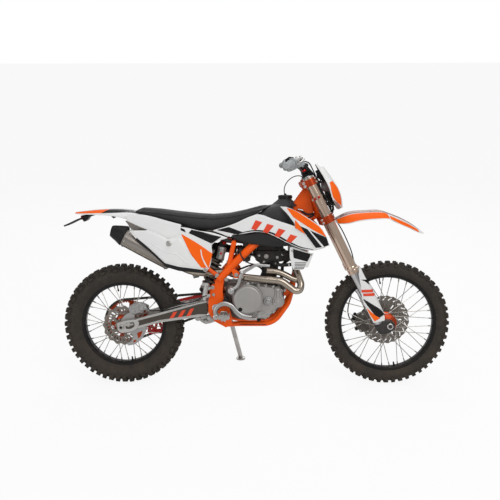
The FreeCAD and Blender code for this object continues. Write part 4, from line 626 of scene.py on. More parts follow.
def rods(shape, starts, ends, radius, sides=8):
    """Thin rods between pairs of points: one ring at each end, joined."""
    way = ends - starts
    length = np.linalg.norm(way, axis=1)
    turns = turn_to(way, np.tile([0.0, 1.0, 0.0], (len(way), 1)))
    a = circle(sides)
    ring = np.stack([radius * np.cos(a), radius * np.sin(a), np.zeros(sides)], -1)
    pts = np.concatenate([ring, ring + [0, 0, 1.0]])
    j = np.arange(sides)
    quads = np.stack([j, (j + 1) % sides, (j + 1) % sides + sides, j + sides], -1)
    turns = turns * np.stack([np.ones_like(length), np.ones_like(length), length], -1)[:, None, :]
    return shape.copies(pts, [quads], turns, starts)


def hub_piece(name, node, body, rim, low, high, disc_end, drum):
    """The hub's turned body and flanges with bolts, and its spokes with a nipple each under the rim."""
    profile = [(10.2, low), (18, low), (20, low + 2), (24, low + 4), (24, -46), (50, -39), (51.5, -37),
        (51.5, -33), (47, -31), (drum, -22), (drum - 2, 0), (drum, 22), (47, 31), (51.5, 33), (51.5, 37),
        (50, 39), (24, 46), (24, high - 4), (20, high - 2), (18, high), (10.2, high)]
    shape = Shape().round(lathe(profile, (0, 0, 0), (0, 1, 0), 64))
    start, end = spokes(rim, 45, 35)
    metal = Shape()
    rods(metal, start, end, 1.9)
    way = (end - start) / np.linalg.norm(end - start, axis=1)[:, None]
    rods(metal, end - way * 18, end + way * 1.5, 3.6, 6)
    turn = np.arange(6) * math.pi / 3
    spot = on_circle(45, disc_end, turn)
    bolts(metal, spot * [0.82, 1, 0.82], (0, 1 if disc_end > 0 else -1, 0), 1.0)
    piece(name + "_hub", shape, hub_orange, body, replaces=[node], bevel=0.6)
    piece(name + "_spokes", metal, spoke_steel, body)
    valve = Shape().round(lathe([(0.01, 0), (3, 0), (3, 22), (4.6, 22), (4.6, 34), (0.01, 34)],
        (rim * math.cos(1.75), 0, rim * math.sin(1.75)), (0, 0, 0), 12))
    valve.round(lathe([(0.01, 0), (5, 0), (5, 12), (3.5, 20), (0.01, 20)], (rim * math.cos(4.9), 0,
        rim * math.sin(4.9)), (0, 0, 0), 12))
    piece(name + "_valve", valve, black_plastic, body)


hub_piece("front", "front_hub_and_spokes", "front_wheel", 252.5, -56, 58, 66.5, 27)
hub_piece("rear", "rear_hub_and_sprocket", "rear_wheel", 216.5, -60, 62, -68.5, 34)


def ring_plate(shape, place, thick, inside, outside, count, across, hole, twist=0.0):
    """A flat ring with holes: cells over angle and radius, both rims free curves, some cells left out.

    inside and outside give a radius for every angle, twist slants the cells and hole(i, j) leaves them out.
    """
    a = circle(count)[:, None]
    v = np.linspace(0, 1, across)[None, :]
    r = inside(a) * (1 - v) + outside(a) * v
    a = a + twist * v
    i, j = np.meshgrid(np.arange(count), np.arange(across - 1), indexing="ij")
    keep = ~hole(i, j)
    front = np.stack([r * np.cos(a), np.full_like(r, place - thick / 2), r * np.sin(a)], -1)
    back = front + [0, thick, 0]
    index = np.arange(count * across).reshape(count, across)
    nxt = np.roll(index, -1, 0)
    quad = np.stack([index[:, :-1], index[:, 1:], nxt[:, 1:], nxt[:, :-1]], -1)
    top = quad[keep]
    total = count * across
    walls = []
    pad = np.pad(keep, ((0, 0), (1, 1)))
    for edge, beyond in (((0, 1), np.roll(keep, 1, 0)), ((2, 3), np.roll(keep, -1, 0)), ((1, 2), pad[:, 2:]),
            ((3, 0), pad[:, :-2])):
        q = quad[keep & ~beyond]
        walls.append(np.stack([q[:, edge[1]], q[:, edge[0]], q[:, edge[0]] + total, q[:, edge[1]] + total],
            -1))
    return shape.add(np.concatenate([front.reshape(-1, 3), back.reshape(-1, 3)]),
        [top, top[:, ::-1] + total] + walls)


def flat(radius):
    return lambda a: np.full_like(a, float(radius))


def wave(radius, depth, count):
    return lambda a: radius + depth * np.cos(count * a)


def front_disc():
    """A nearly whole plate: a waved rim with slanted rows of holes, radial slits, and a pierced carrier."""
    shape = Shape()
    ring_plate(shape, 62, 4.5, flat(58), wave(137, 2.2, 24), 288, 14, lambda i, j: (j > 8) & (j < 12)
        & ((i + 2 * j) % 12 < 3) | (j > 1) & (j < 6) & (i % 48 < 4), -0.1)
    ring_plate(shape, 62, 4.0, flat(37), flat(60), 144, 5, lambda i, j: (j > 0) & (j < 3) & (i % 24 > 15))
    spot = np.arange(6) * math.pi / 3
    for side in (1, -1):
        bolts(shape, on_circle(44, 62 + side * 2.0, spot), (0, side, 0))
    piece("front_wave_disc", shape, disc_steel, "front_wheel", replaces=["front_brake_disc"])


def rear_disc():
    """A thin waved band with slanted slots, on five arms, before an orange hub plate."""
    shape = Shape()
    ring_plate(shape, -64, 4.5, wave(64, 2.0, 15), wave(107, 4.0, 15), 240, 12,
        lambda i, j: (j > 1) & (j < 7) & (i % 8 < 4), 0.2)
    ring_plate(shape, -64, 4.0, flat(33), wave(66, 2.0, 15), 180, 6, lambda i, j: (j > 0) & (i % 36 > 9),
        -0.3)
    for side in (1, -1):
        spot = np.arange(5) * math.pi * 0.4
        bolts(shape, on_circle(38, -64 + side * 2.0, spot), (0, side, 0))
    piece("rear_wave_disc", shape, disc_steel, "rear_wheel", replaces=["rear_brake_disc"])
    drum = Shape().round(lathe([(20, 0), (52, 0), (53.5, 1.5), (53.5, 6.5), (51, 9), (30, 12), (30, 18),
        (20, 18)], (0, -42, 0), (0, -60, 0), 64))
    piece("rear_hub_plate", drum, hub_orange, "rear_wheel", bevel=0.5)


front_disc()
rear_disc()


def tooth_rim(pitch, count):
    """Sprocket rim: about the pitch radius, with a cosine wave to a power: narrow teeth, wide gullets."""
    return lambda a: pitch - 3.0 + 8.5 * np.clip(0.5 + 0.5 * np.cos(count * a), 0, 1) ** 1.6


def sprocket():
    shape = Shape()
    ring_plate(shape, 67, 6.5, flat(44), tooth_rim(121.4, 48), 480, 6, lambda i, j: (j > 0) & (j < 4)
        & (i % 80 > 22), 0.1)
    ring_plate(shape, 65, 4, flat(24), flat(50), 96, 2, lambda i, j: j < 0)
    spot = np.arange(6) * math.pi / 3 + 0.14
    bolts(shape, on_circle(50, 70.5, spot), (0, 1, 0), 1.1, HEX_POINTS)
    piece("rear_sprocket", shape, hub_orange, "rear_wheel")


sprocket()

# Chain
SPROCKET = np.array([-140.0, 67.0, 470.0])
PITCH_RADIUS = (35.0, 121.4)
LINK = 15.875


def chain_route():
    """The pitch line: two arcs and the two straight runs that touch them."""
    front, rear = PITCH_RADIUS
    a, b = SPROCKET[[0, 2]], REAR_AXLE[[0, 2]]
    way = b - a
    tilt = math.asin((rear - front) / np.linalg.norm(way))
    heading = math.atan2(way[1], way[0])
    top, bottom = heading - math.pi / 2 - tilt, heading + math.pi / 2 + tilt
    turn = np.linspace(top, bottom - 2 * math.pi, 90)
    back = np.linspace(bottom, top, 240)
    first = a + front * np.stack([np.cos(turn), np.sin(turn)], -1)
    last = b + rear * np.stack([np.cos(back), np.sin(back)], -1)
    return np.concatenate([first, last, first[:1]])


def chain():
    """Links at even steps along the pitch line, plates in and out by turns, with a roller at each joint."""
    route = chain_route()
    step = np.linalg.norm(np.diff(route, axis=0), axis=1)
    t = np.concatenate([[0], np.cumsum(step)])
    count = int(2 * round(t[-1] / LINK / 2))
    at = np.linspace(0, t[-1], count, endpoint=False)
    x, z = np.interp(at, t, route[:, 0]), np.interp(at, t, route[:, 1])
    joint = np.stack([x, np.full(count, SPROCKET[1]), z], -1)
    following = np.roll(joint, -1, 0)
    middle, way = (joint + following) / 2, following - joint
    turns = turn_to(np.tile([0.0, 1.0, 0.0], (count, 1)), way)
    a = circle(12)
    oval = np.stack([7.9 * np.sign(np.cos(a)) * (np.abs(np.cos(a)) > 0.2) + 7.6 * np.cos(a),
        7.4 * np.sin(a) * (1 - 0.22 * (np.abs(np.cos(a)) < 0.3)), np.zeros(12)], -1)
    shape = Shape()
    ring = np.arange(12)
    for start, offsets in ((0, (-7.4, 5.6)), (1, (-5.2, 3.4))):
        for low in offsets:
            pts = np.concatenate([oval + [0, 0, low], oval + [0, 0, low + 1.8]])
            sides = np.stack([ring, (ring + 1) % 12, (ring + 1) % 12 + 12, ring + 12], -1)
            shape.copies(pts, [sides, ring[None, ::-1], ring[None] + 12], turns[start::2], middle[start::2])
    pin = lathe([(0.01, -7.9), (2.6, -7.9), (2.6, -7.4)], (0, 0, 0), (0, 0, 1), 8)
    roller = lathe([(5.0, -3.2), (5.0, 3.2)], (0, 0, 0), (0, 0, 1), 8)
    for small in (pin, roller, pin[::-1] * [1, 1, -1]):
        shape.copies(small.reshape(-1, 3), [ring_quads(len(small), 8)], turns, joint)
    piece("drive_chain", shape, chain_steel, smooth=30, replaces=["chain"])


chain()


# Body panels
def plan(points):
    """Half widths at places ahead: a smooth curve through (x, half width) points, read by x."""
    curve = line(points, 160)
    return lambda x: np.interp(x, curve[:, 0], curve[:, 1])


def flank(low_plan, low_z, high_plan, high_z, crown=0.0):
    """The half width at (x, z): straight from the low plan to the high one, plus a crown between them."""
    low, high = plan(low_plan), plan(high_plan)

    def side(x, z):
        t = (z - low_z) / (high_z - low_z)
        return low(x) * (1 - t) + high(x) * t + crown * np.clip(1 - (2 * t - 1) ** 2, 0, 1)
    return side


def skin(shape, side, low, top, lift=0.0, count=60, across=14, corners=((), ()), roll=0.0, smooth=True):
    """A panel between two edge curves: straight steps across, laid on side(x, z) and lifted off it.

    roll draws the rim inwards over the outer tenth of the width, as a moulded edge is.
    """
    a = line(low, count, corners[0] if smooth else range(1, len(low) - 1))
    b = line(top, count, corners[1] if smooth else range(1, len(top) - 1))
    v = np.linspace(0, 1, across)
    flat_points = a[:, None, :] * (1 - v)[None, :, None] + b[:, None, :] * v[None, :, None]
    x, z = flat_points[..., 0], flat_points[..., 1]
    width = np.linalg.norm(b - a, axis=1)[:, None]
    rim = np.minimum(v, 1 - v)[None, :] * width
    y = side(x, z) + lift - roll * np.clip(1 - rim / 12.0, 0, 1) ** 2
    return shape.grid(np.stack([x, y, z], -1))


SHROUD = flank([(-240, 128), (-140, 132), (0, 148), (130, 162), (260, 174), (400, 182)], 750,
    [(-240, 106), (-140, 108), (0, 116), (130, 122), (260, 152), (400, 176)], 1020, 3)
SHROUD_LOW = [(-226, 868), (-146, 837), (-124, 845), (-50, 856), (15, 864), (68, 856), (120, 833), (175, 806),
    (240, 779), (309, 768), (373, 783)]
SHROUD_TOP = [(-226, 871), (-160, 890), (-100, 912), (-50, 936), (9, 958), (45, 952), (80, 938), (140, 918),
    (212, 894), (300, 838), (373, 786)]


def mirrored_panel(name, shape, material, **settings):
    return piece(name, shape, material, flip=True, mirrored=True, **settings)


def shrouds():
    """The white shroud, the wing over it with its wedge and stripes, and slashes in place of lettering."""
    base = skin(Shape(), SHROUD, SHROUD_LOW, SHROUD_TOP, count=110, across=18, corners=((1, 2), (4,)),
        roll=2.5)
    mirrored_panel("shroud_main", base, white_plastic, wall=2.6, bevel=0.7, replaces=["shrouds"])
    wing = skin(Shape(), SHROUD, [(133, 999), (172, 958), (209, 910), (211, 894), (260, 852), (319, 773)],
        [(162, 999), (184, 992), (255, 957), (335, 905), (355, 886), (378, 841), (396, 795)], 5.0, count=90,
        across=18, corners=((2, 3), (3, 4)), roll=3.0)
    mirrored_panel("shroud_wing", wing, white_plastic, wall=3.4, bevel=0.8)
    orange = skin(Shape(), SHROUD, [(168, 991), (203, 944), (238, 921), (296, 884), (374, 842)],
        [(169, 993), (195, 986), (255, 953), (336, 900), (352, 882), (375, 845)], 5.6, across=12,
        corners=((1,), (3, 4)))
    skin(orange, SHROUD, [(211, 928), (212, 889), (262, 857)], [(213, 929), (240, 899), (263, 859)], 5.6,
        across=8, corners=((1,), (1,)))
    mirrored_panel("wing_orange", orange, orange_plastic, wall=0.9)
    wedge = skin(Shape(), SHROUD, [(233, 897), (262, 863), (321, 783), (362, 787)],
        [(236, 899), (311, 867), (377, 840), (391, 799)], 5.6, across=12, corners=((1, 2), (1, 2)))
    mirrored_panel("wing_wedge", wedge, black_decal, wall=0.9)
    stripe = skin(Shape(), SHROUD, [(277, 882), (355, 786)], [(288, 878), (366, 789)], 6.2, across=4,
        smooth=False)
    mirrored_panel("wing_stripe", stripe, white_plastic, wall=0.7)
    edge = skin(Shape(), SHROUD, [(-118, 848), (15, 867), (70, 859), (176, 809), (241, 783), (308, 772)],
        [(-118, 851), (15, 874), (74, 867), (180, 817), (243, 788), (308, 775)], 0.5, across=4)
    mirrored_panel("shroud_edge_line", edge, black_decal, wall=0.7)
    band = skin(Shape(), SHROUD, [(-205, 871), (-98, 849), (-66, 858)], [(-203, 874), (-143, 889),
        (-68, 862)], 0.5, across=6, corners=((1,), (1,)))
    mirrored_panel("shroud_band", band, black_decal, wall=0.7)
    slashes = Shape()
    for index in range(4):
        x = -22 + 62 * index
        top = 930 - 15.5 * index - 3 * index * index
        skin(slashes, SHROUD, [(x, top - 50 + 3 * index), (x + 26, top - 58 + 3 * index)],
            [(x + 24, top - 3), (x + 60, top - 14)], 0.6, 12, 8, smooth=False)
    mirrored_panel("shroud_slashes", slashes, slash_red, wall=0.8)


COVER = flank([(-140, 142), (0, 142), (210, 150)], 750, [(-140, 122), (0, 124), (210, 142)], 870, 4)


def lower_covers():
    """The dark cover under each shroud, with a raised rib along its lower edge."""
    low = [(-130, 836), (-60, 804), (0, 795), (40, 790), (90, 784), (144, 786), (196, 792)]
    top = [(-130, 840), (-20, 853), (15, 860), (64, 853), (133, 822), (196, 796)]
    mirrored_panel("lower_cover", skin(Shape(), COVER, low, top, -1.0, 70, 16, roll=3.0), grey_plastic,
        wall=3.0, bevel=0.8, replaces=["lower_covers"])
    rib = skin(Shape(), COVER, [(x + 3, z + 4) for x, z in low[1:]], [(x + 3, z + 12) for x, z in low[1:]],
        1.6, 50, 6, roll=1.2)
    mirrored_panel("lower_cover_rib", rib, grey_plastic, wall=3.0)


PANEL = flank([(-700, 160), (-480, 164), (-280, 150), (-130, 142)], 640, [(-700, 118), (-480, 124),
    (-280, 118), (-130, 114)], 970, 5)


def side_panels():
    """The white side panel with its raised number plate, orange field, black bands and a bolt."""
    low = [(-676, 868), (-641, 826), (-566, 765), (-486, 692), (-415, 671), (-340, 656), (-268, 648),
        (-250, 666), (-234, 731), (-231, 758), (-239, 785), (-223, 803), (-150, 829)]
    top = [(-677, 870), (-591, 871), (-567, 877), (-514, 853), (-471, 829), (-420, 842), (-400, 890),
        (-378, 887), (-300, 869), (-228, 858), (-150, 832)]
    base = skin(Shape(), PANEL, low, top, 0.0, 160, 20, corners=((3, 6, 10), (1, 5, 6)), roll=2.0)
    skin(base, PANEL, [(-690, 921), (-620, 890), (-524, 854), (-471, 830), (-424, 838), (-404, 845)],
        [(-690, 961), (-643, 957), (-590, 952), (-540, 941), (-497, 929), (-398, 902)], 1.2, 80, 16, roll=3.0)
    mirrored_panel("side_panel", base, white_plastic, wall=2.6, bevel=0.7, replaces=["side_panels"])
    plate = skin(Shape(), PANEL, [(-672, 874), (-632, 826), (-562, 772), (-484, 700), (-414, 682),
        (-284, 664)], [(-655, 866), (-572, 866), (-467, 822), (-425, 828), (-408, 836), (-345, 742)], 3.0, 90,
        20, corners=((3, 4), (2, 3, 4)), roll=3.5)
    mirrored_panel("number_plate", plate, white_plastic, wall=3.6, bevel=0.9)
    field = skin(Shape(), PANEL, [(-397, 850), (-348, 748), (-299, 673), (-252, 667)],
        [(-395, 852), (-310, 802), (-230, 747), (-249, 672)], 0.6, 50, 14, corners=((1, 2), (2,)))
    mirrored_panel("side_orange", field, orange_plastic, wall=0.8)
    curve = skin(Shape(), PANEL, [(-295, 768), (-289, 731), (-274, 694), (-256, 664)],
        [(-289, 768), (-283, 731), (-266, 695), (-250, 664)], 1.3, 30, 4)
    mirrored_panel("side_stripe", curve, white_plastic, wall=0.7)
    band = skin(Shape(), PANEL, [(-358, 857), (-290, 826), (-234, 800), (-185, 834)],
        [(-343, 875), (-290, 864), (-220, 845), (-183, 837)], 0.6, 30, 8, corners=((2,), ()))
    skin(band, PANEL, [(-404, 874), (-372, 860)], [(-410, 890), (-380, 877)], 0.6, 8, 6, smooth=False)
    mirrored_panel("side_band", band, black_decal, wall=0.8)
    rim = skin(Shape(), PANEL, [(-641, 824), (-560, 752), (-478, 676), (-410, 655), (-266, 640)],
        [(-636, 832), (-562, 770), (-484, 697), (-414, 678), (-271, 658)], 1.0, 70, 5,
        corners=((2, 3), (2, 3)))
    mirrored_panel("side_lower_edge", rim, black_plastic, wall=4.0, bevel=0.8)
    fold = skin(Shape(), PANEL, [(-560, 800), (-480, 752), (-425, 742), (-365, 690)],
        [(-556, 806), (-478, 759), (-420, 750), (-358, 694)], 5.2, 40, 6, corners=((1, 2), (1, 2)), roll=2.2)
    mirrored_panel("plate_fold", fold, white_plastic, wall=2.0)
    place = PANEL(np.array(-448.0), np.array(790.0))
    heads = bolts(Shape(), [(-464, place + 3.2, 802), (-268, PANEL(np.array(-268.0), np.array(660.0)) + 1,
        660)], (0, 1, 0.14), 2.0)
    well = Shape().round(lathe([(0.01, 0), (15, 0), (15, 1.5), (13, 2.2), (12, 0.8), (0.01, 0.8)],
        (-464, place + 2.2, 802), (-464, place + 12.2, 803.4), 32))
    piece("bolt_well", well, plain_steel, mirrored=True)
    piece("panel_bolts", heads, plain_steel, mirrored=True)


def arch(shape, stations, top, low, half, power=2.6, across=33, shift=0.0, ridge=0.0, span=(-1, 1)):
    """A fender: at each station a crown at top falls to low at its half width, by a power of the way out."""
    t, b, w = plan(top), plan(low), plan(half)
    x = stations[:, None]
    v = span if np.ndim(span) == 2 else np.linspace(span[0], span[1], across)[None, :]
    fall = np.abs(v) ** power
    z = t(x) - (t(x) - b(x)) * fall + ridge * np.exp(-((np.abs(v) - 0.62) / 0.07) ** 2)
    y = w(x) * np.sign(v) * (1 - (1 - np.abs(v)) ** 1.25) + 0 * x
    return shape.grid(np.stack([np.broadcast_to(x, z.shape), y + shift * np.sign(v), z + shift], -1))


def rear_fender():
    """The rear fender's shell, its orange and dark strips along the top edge and the strut under it."""
    top = [(-993, 961), (-938, 968), (-882, 974), (-816, 978), (-744, 978), (-690, 974), (-640, 967),
        (-600, 957)]
    low = [(-993, 955), (-954, 952), (-872, 950), (-790, 945), (-709, 930), (-628, 900), (-600, 886)]
    half = [(-1000, 40), (-940, 56), (-800, 78), (-700, 88), (-600, 90)]
    x = np.linspace(-991, -600, 70)
    shape = arch(Shape(), x, top, low, half, ridge=1.6)
    piece("rear_fender_shell", shape, white_plastic, wall=2.6, bevel=0.6, replaces=["rear_fender"])
    crown, edge = plan(top), plan(low)

    def share(at, height):
        """How far across a height lies: the way out at which the arch has fallen to it."""
        return np.clip((crown(at) - height) / (crown(at) - edge(at)), 0.002, 0.98) ** (1 / 2.6)
    for name, first, last, material, slot in (("fender_orange", -988, -804, orange_plastic, "plastic_orange"),
            ("fender_dark", -840, -604, black_decal, "plastic_black")):
        strip = Shape()
        at = np.linspace(first, last, 50)[:, None]
        v = np.linspace(0, 1, 10)[None, :]
        split = np.interp(at, [-988, -960, -841, -804], [955, 956, 959, 976])
        foot = np.interp(at, [-853, -802, -725, -677, -628, -604], [957, 960, 962, 961, 955, 949])
        if name == "fender_orange":
            ends = (share(at, crown(at) - 1.2), share(at, np.minimum(split, crown(at) - 1.4)))
        else:
            head = np.where(at < -804, split, crown(at) - 1.0)
            ends = (share(at, np.minimum(head, crown(at) - 1.0)), share(at, np.minimum(foot, crown(at) - 4)))
        across = ends[0] * (1 - v) + ends[1] * v
        for sign in (1, -1):
            arch(strip, at[:, 0], top, low, half, across=10, shift=0.5, ridge=1.6,
                span=np.sort(sign * across, axis=1))
        piece(name, strip, material, wall=0.8, slot=slot)


def front_fender():
    """The front fender in the steering frame: white shell, orange sides, a raised spine, and painted shade
    along the middle of its top.
    """
    top = [(60, 655), (129, 655), (230, 619), (304, 582), (346, 541), (385, 497), (422, 445), (463, 368)]
    low = [(60, 622), (110, 600), (175, 585), (277, 546), (321, 524), (362, 473), (409, 418), (448, 372),
        (463, 362)]
    half = [(60, 48), (110, 68), (200, 74), (320, 70), (400, 56), (450, 32), (463, 20)]
    x = np.linspace(60, 463, 90)
    shape = arch(Shape(), x, top, low, half, 2.4, ridge=2.0)
    piece("front_fender_shell", shape, white_plastic, "fork", wall=2.8, bevel=0.6, replaces=["front_fender"])
    sides = Shape()
    for first, last, near, far in ((64, 326, 0.56, 0.965), (330, 440, 0.7, 0.975)):
        place = np.linspace(first, last, 50)
        for span in ((near, far), (-far, -near)):
            arch(sides, place, top, low, half, 2.4, 12, 0.5, 2.0, span=span)
    # Painted shade: a pinkish grey sheet over the middle of the top, where the white shell lies in shadow.
    crown = arch(Shape(), np.linspace(62, 450, 60), top, low, half, 2.4, 16, 0.0, 0.0, span=(-0.5, 0.5))
    piece("front_fender_painted_shade", crown, crown_rose, "fork", lambda v: steered(v + [0.2, 0, 0.5]), wall=0.8)
    piece("front_fender_orange", sides, orange_plastic, "fork", wall=0.8)
    stay = Shape()
    for sign in (1, -1):
        stay.round(lathe(rect(0.01, 0, 7, 14), (84, sign * 34, 612), (84, sign * 34, 650), 16))
    piece("fender_bolts", stay, plain_steel, "fork")


def mask_side(part, first, last, reach, lift, across=61, count=70):
    """A band of the headlight mask, lifted off it: from the back edge round the front, a power curve in plan.

    reach gives the first and last share of the way from the side's back edge (0) to the front (1).
    """
    front = plan([(690, 128), (743, 144), (795, 150), (847, 145), (893, 137), (950, 121), (967, 105)])
    back = plan([(690, 96), (765, 92), (821, 100), (886, 100), (940, 96), (967, 94)])
    half = plan([(690, 34), (720, 58), (760, 84), (820, 92), (880, 84), (930, 62), (967, 30)])
    t = np.linspace(first, last, count)[:, None]
    v = np.linspace(*reach, across)[None, :]
    turn = v * math.pi / 2
    s = back(t) + (front(t) - back(t)) * np.abs(np.sin(turn)) ** 0.8 * np.sign(np.sin(turn) + 1e-09)
    y = part * half(t) * np.abs(np.cos(turn)) ** 0.55
    return np.stack([s + lift * np.abs(np.sin(turn)), y + part * lift * np.cos(turn), t + 0 * v], -1)


def headlight_mask():
    """The mask: two halves joined at the front, a lamp window, orange side patches, painted shade low on each
    side, and the lamp behind.
    """
    left = mask_side(1, 690, 967, (0, 1), 0.0)
    right = mask_side(-1, 690, 967, (1, 0), 0.0)
    points = np.concatenate([left, right[:, 1:]], 1)
    n, m = points.shape[:2]
    index = np.arange(n * m).reshape(n, m)
    quads = np.stack([index[:-1, :-1], index[1:, :-1], index[1:, 1:], index[:-1, 1:]], -1)
    middle = (points[:-1, :-1] + points[1:, 1:]) / 2
    window = (np.abs(middle[..., 1]) < 52) & (middle[..., 2] > 778) & (middle[..., 2] < 870)
    shape = Shape().add(points, [quads[~window]])
    piece("mask_shell", shape, white_plastic, "fork", wall=2.4, bevel=0.5, replaces=["headlight_mask"])
    # The rose patch is painted shade: a pinkish grey sheet low on each side, where the white mask lies in
    # shadow.
    for name, low, high, near, far, material, slot in (("mask_orange", 699, 849,
            [0.45, 0.13, 0.04, 0.053, 0.16], [0.46, 0.6, 0.66, 0.62, 0.5], orange_plastic, "plastic_orange"),
            ("mask_painted_shade", 693, 752, [0.01, 0.01, 0.01, 0.01, 0.01], [0.36, 0.3, 0.22, 0.1, 0.03], crown_rose,
            "plastic_white")):
        patch = Shape()
        t = np.linspace(0, 1, 40)
        steps = [0, 0.22, 0.46, 0.74, 1]
        near, far = np.interp(t, steps, near)[:, None], np.interp(t, steps, far)[:, None]
        v = np.linspace(0, 1, 14)[None, :]
        column = (near * (1 - v) + far * v) * 100
        k = np.clip(column.astype(int), 0, 99)
        f = (column - k)[..., None]
        rows = np.arange(40)[:, None]
        for side in (1, -1):
            whole = mask_side(side, low, high, (0, 1), 0.5, across=101, count=40)
            band = whole[rows, k] * (1 - f) + whole[rows, k + 1] * f
            patch.grid(band if side > 0 else band[:, ::-1])
        piece(name, patch, material, "fork", wall=0.8, slot=slot)
    back = Shape().round(lathe([(0.01, 0), (26, 0), (34, 6), (44, 30), (50, 40), (54, 42), (54, 46),
        (46, 46)], (92, 0, 822), (140, 0, 826), 40))
    piece("lamp_shell", back, control_grey, "fork", replaces=["headlight"])
    glass = Shape().round(lathe([(51, 40), (50, 46), (44, 50), (30, 54), (14, 56), (0.01, 56.5)],
        (92, 0, 822), (140, 0, 826), 40))
    piece("lamp_lens", glass, lamp_glass, "fork")


def fork_guards():
    """White guards ahead of and outside the lower legs, bulged across and drawn to a point at the top."""
    rear = [(-5, 60), (-6, 140), (-4, 196), (6, 236), (20, 272), (30, 310), (44, 346), (58, 370)]
    front = [(54, 46), (62, 58), (68, 80), (73, 140), (74, 204), (75, 234), (66, 280), (63, 320), (63, 345),
        (64, 372)]

    def guard(shape, low_edge, high_edge, lift, count=60, across=16):
        a, b = line(low_edge, count), line(high_edge, count)
        v = np.linspace(0, 1, across)[None, :, None]
        flat_points = a[:, None] * (1 - v) + b[:, None] * v
        s, t = flat_points[..., 0], flat_points[..., 1]
        y = 126.5 + 5.5 * (1 - ((s - 34) / 42) ** 2) - 22.0 * np.clip((s - 58) / 17, 0, 1) ** 2 + lift
        return shape.grid(np.stack([s, y, t], -1))
    shell = guard(Shape(), rear, front, 0.0)
    piece("fork_guard", shell, white_plastic, "fork", wall=2.8, bevel=0.8, mirrored=True,
        replaces=["fork_guards"])
    black = guard(Shape(), [(35, 306), (52, 298), (69, 290)], [(37, 303), (51, 288), (66, 257)], 0.6, 16, 8)
    guard(black, [(1, 200), (3, 184), (14, 125), (25, 72)], [(3, 204), (36, 152), (62, 107), (69, 76)], 0.6,
        30, 10)
    piece("guard_black", black, black_decal, "fork", wall=0.8, mirrored=True)
    orange = guard(Shape(), [(-3, 146), (-2, 105), (6, 65)], [(-1, 148), (18, 102), (38, 69)], 1.0, 24, 10)
    piece("guard_orange", orange, orange_plastic, "fork", wall=0.8, mirrored=True)
    slashes = Shape()
    for low in (214, 236):
        guard(slashes, [(10, low + 4), (66, low - 22)], [(14, low + 18), (72, low - 8)], 0.8, 12, 8)
    piece("guard_slashes", slashes, slash_red, "fork", wall=0.8, mirrored=True)


shrouds()
lower_covers()
side_panels()
rear_fender()
front_fender()
headlight_mask()
fork_guards()


# Plates, rods and helpers for the metal pieces
def rounded(points, radius=6.0, steps=4):
    """A closed outline whose corners are cut back by the radius and joined by parabolas."""
    p = np.asarray(points, float)
    before, after = np.roll(p, 1, 0) - p, np.roll(p, -1, 0) - p
    first, second = np.linalg.norm(before, axis=1)[:, None], np.linalg.norm(after, axis=1)[:, None]
    reach = np.minimum(radius, 0.45 * np.minimum(first, second))
    t = np.linspace(0, 1, steps)[None, :, None]
    a, b = (p + before / first * reach)[:, None], (p + after / second * reach)[:, None]
    return ((1 - t) ** 2 * a + 2 * t * (1 - t) * p[:, None] + t ** 2 * b).reshape(-1, 2)


def slab(shape, outline, low, high, edge=1.5, axis="side"):
    """A plate: an outline carried from low to high, its rims drawn in by edge along the outline's normals.

    axis side takes (ahead, up) and carries it across, plan takes (ahead, left) and carries it upwards.
    """
    low, high = sorted((low, high))
    p = np.asarray(outline, float)
    turn = np.roll(p, -1, 0)
    if (p[:, 0] * turn[:, 1] - turn[:, 0] * p[:, 1]).sum() < 0:
        p = p[::-1]
    along = np.roll(p, -1, 0) - np.roll(p, 1, 0)
    along = unit(along)
    out = np.stack([along[:, 1], -along[:, 0]], -1)
    edge = min(edge, (high - low) * 0.45)
    rings = [np.column_stack([p - out * inset, np.full(len(p), place)]) for place,
        inset in ((low, edge), (low + edge, 0), (high - edge, 0), (high, edge))]
    grid = np.stack(rings)
    if axis == "side":
        return shape.grid(grid[..., [0, 2, 1]], around=True, caps=True)
    return shape.grid(grid[:, ::-1], around=True, caps=True)


def at_rear(points):
    """Side points given from the rear axle, in the upright frame."""
    return [(x + REAR_AXLE[0], z + REAR_AXLE[2]) for x, z in points]


def cylinder(shape, start, end, radius, sides=32, edge=1.2):
    """A closed round bar with its rims broken by edge."""
    length = float(np.linalg.norm(np.subtract(end, start)))
    profile = [(radius - edge, 0), (radius, edge), (radius, length - edge), (radius - edge, length)]
    return shape.round(lathe(profile, start, end, sides), caps=True)


def hose(shape, points, radius, count=70, sides=12):
    return shape.round(tube(points, radius, count, sides), caps=True)


# Fork and front brake
LEG = (22.0, 98.0)


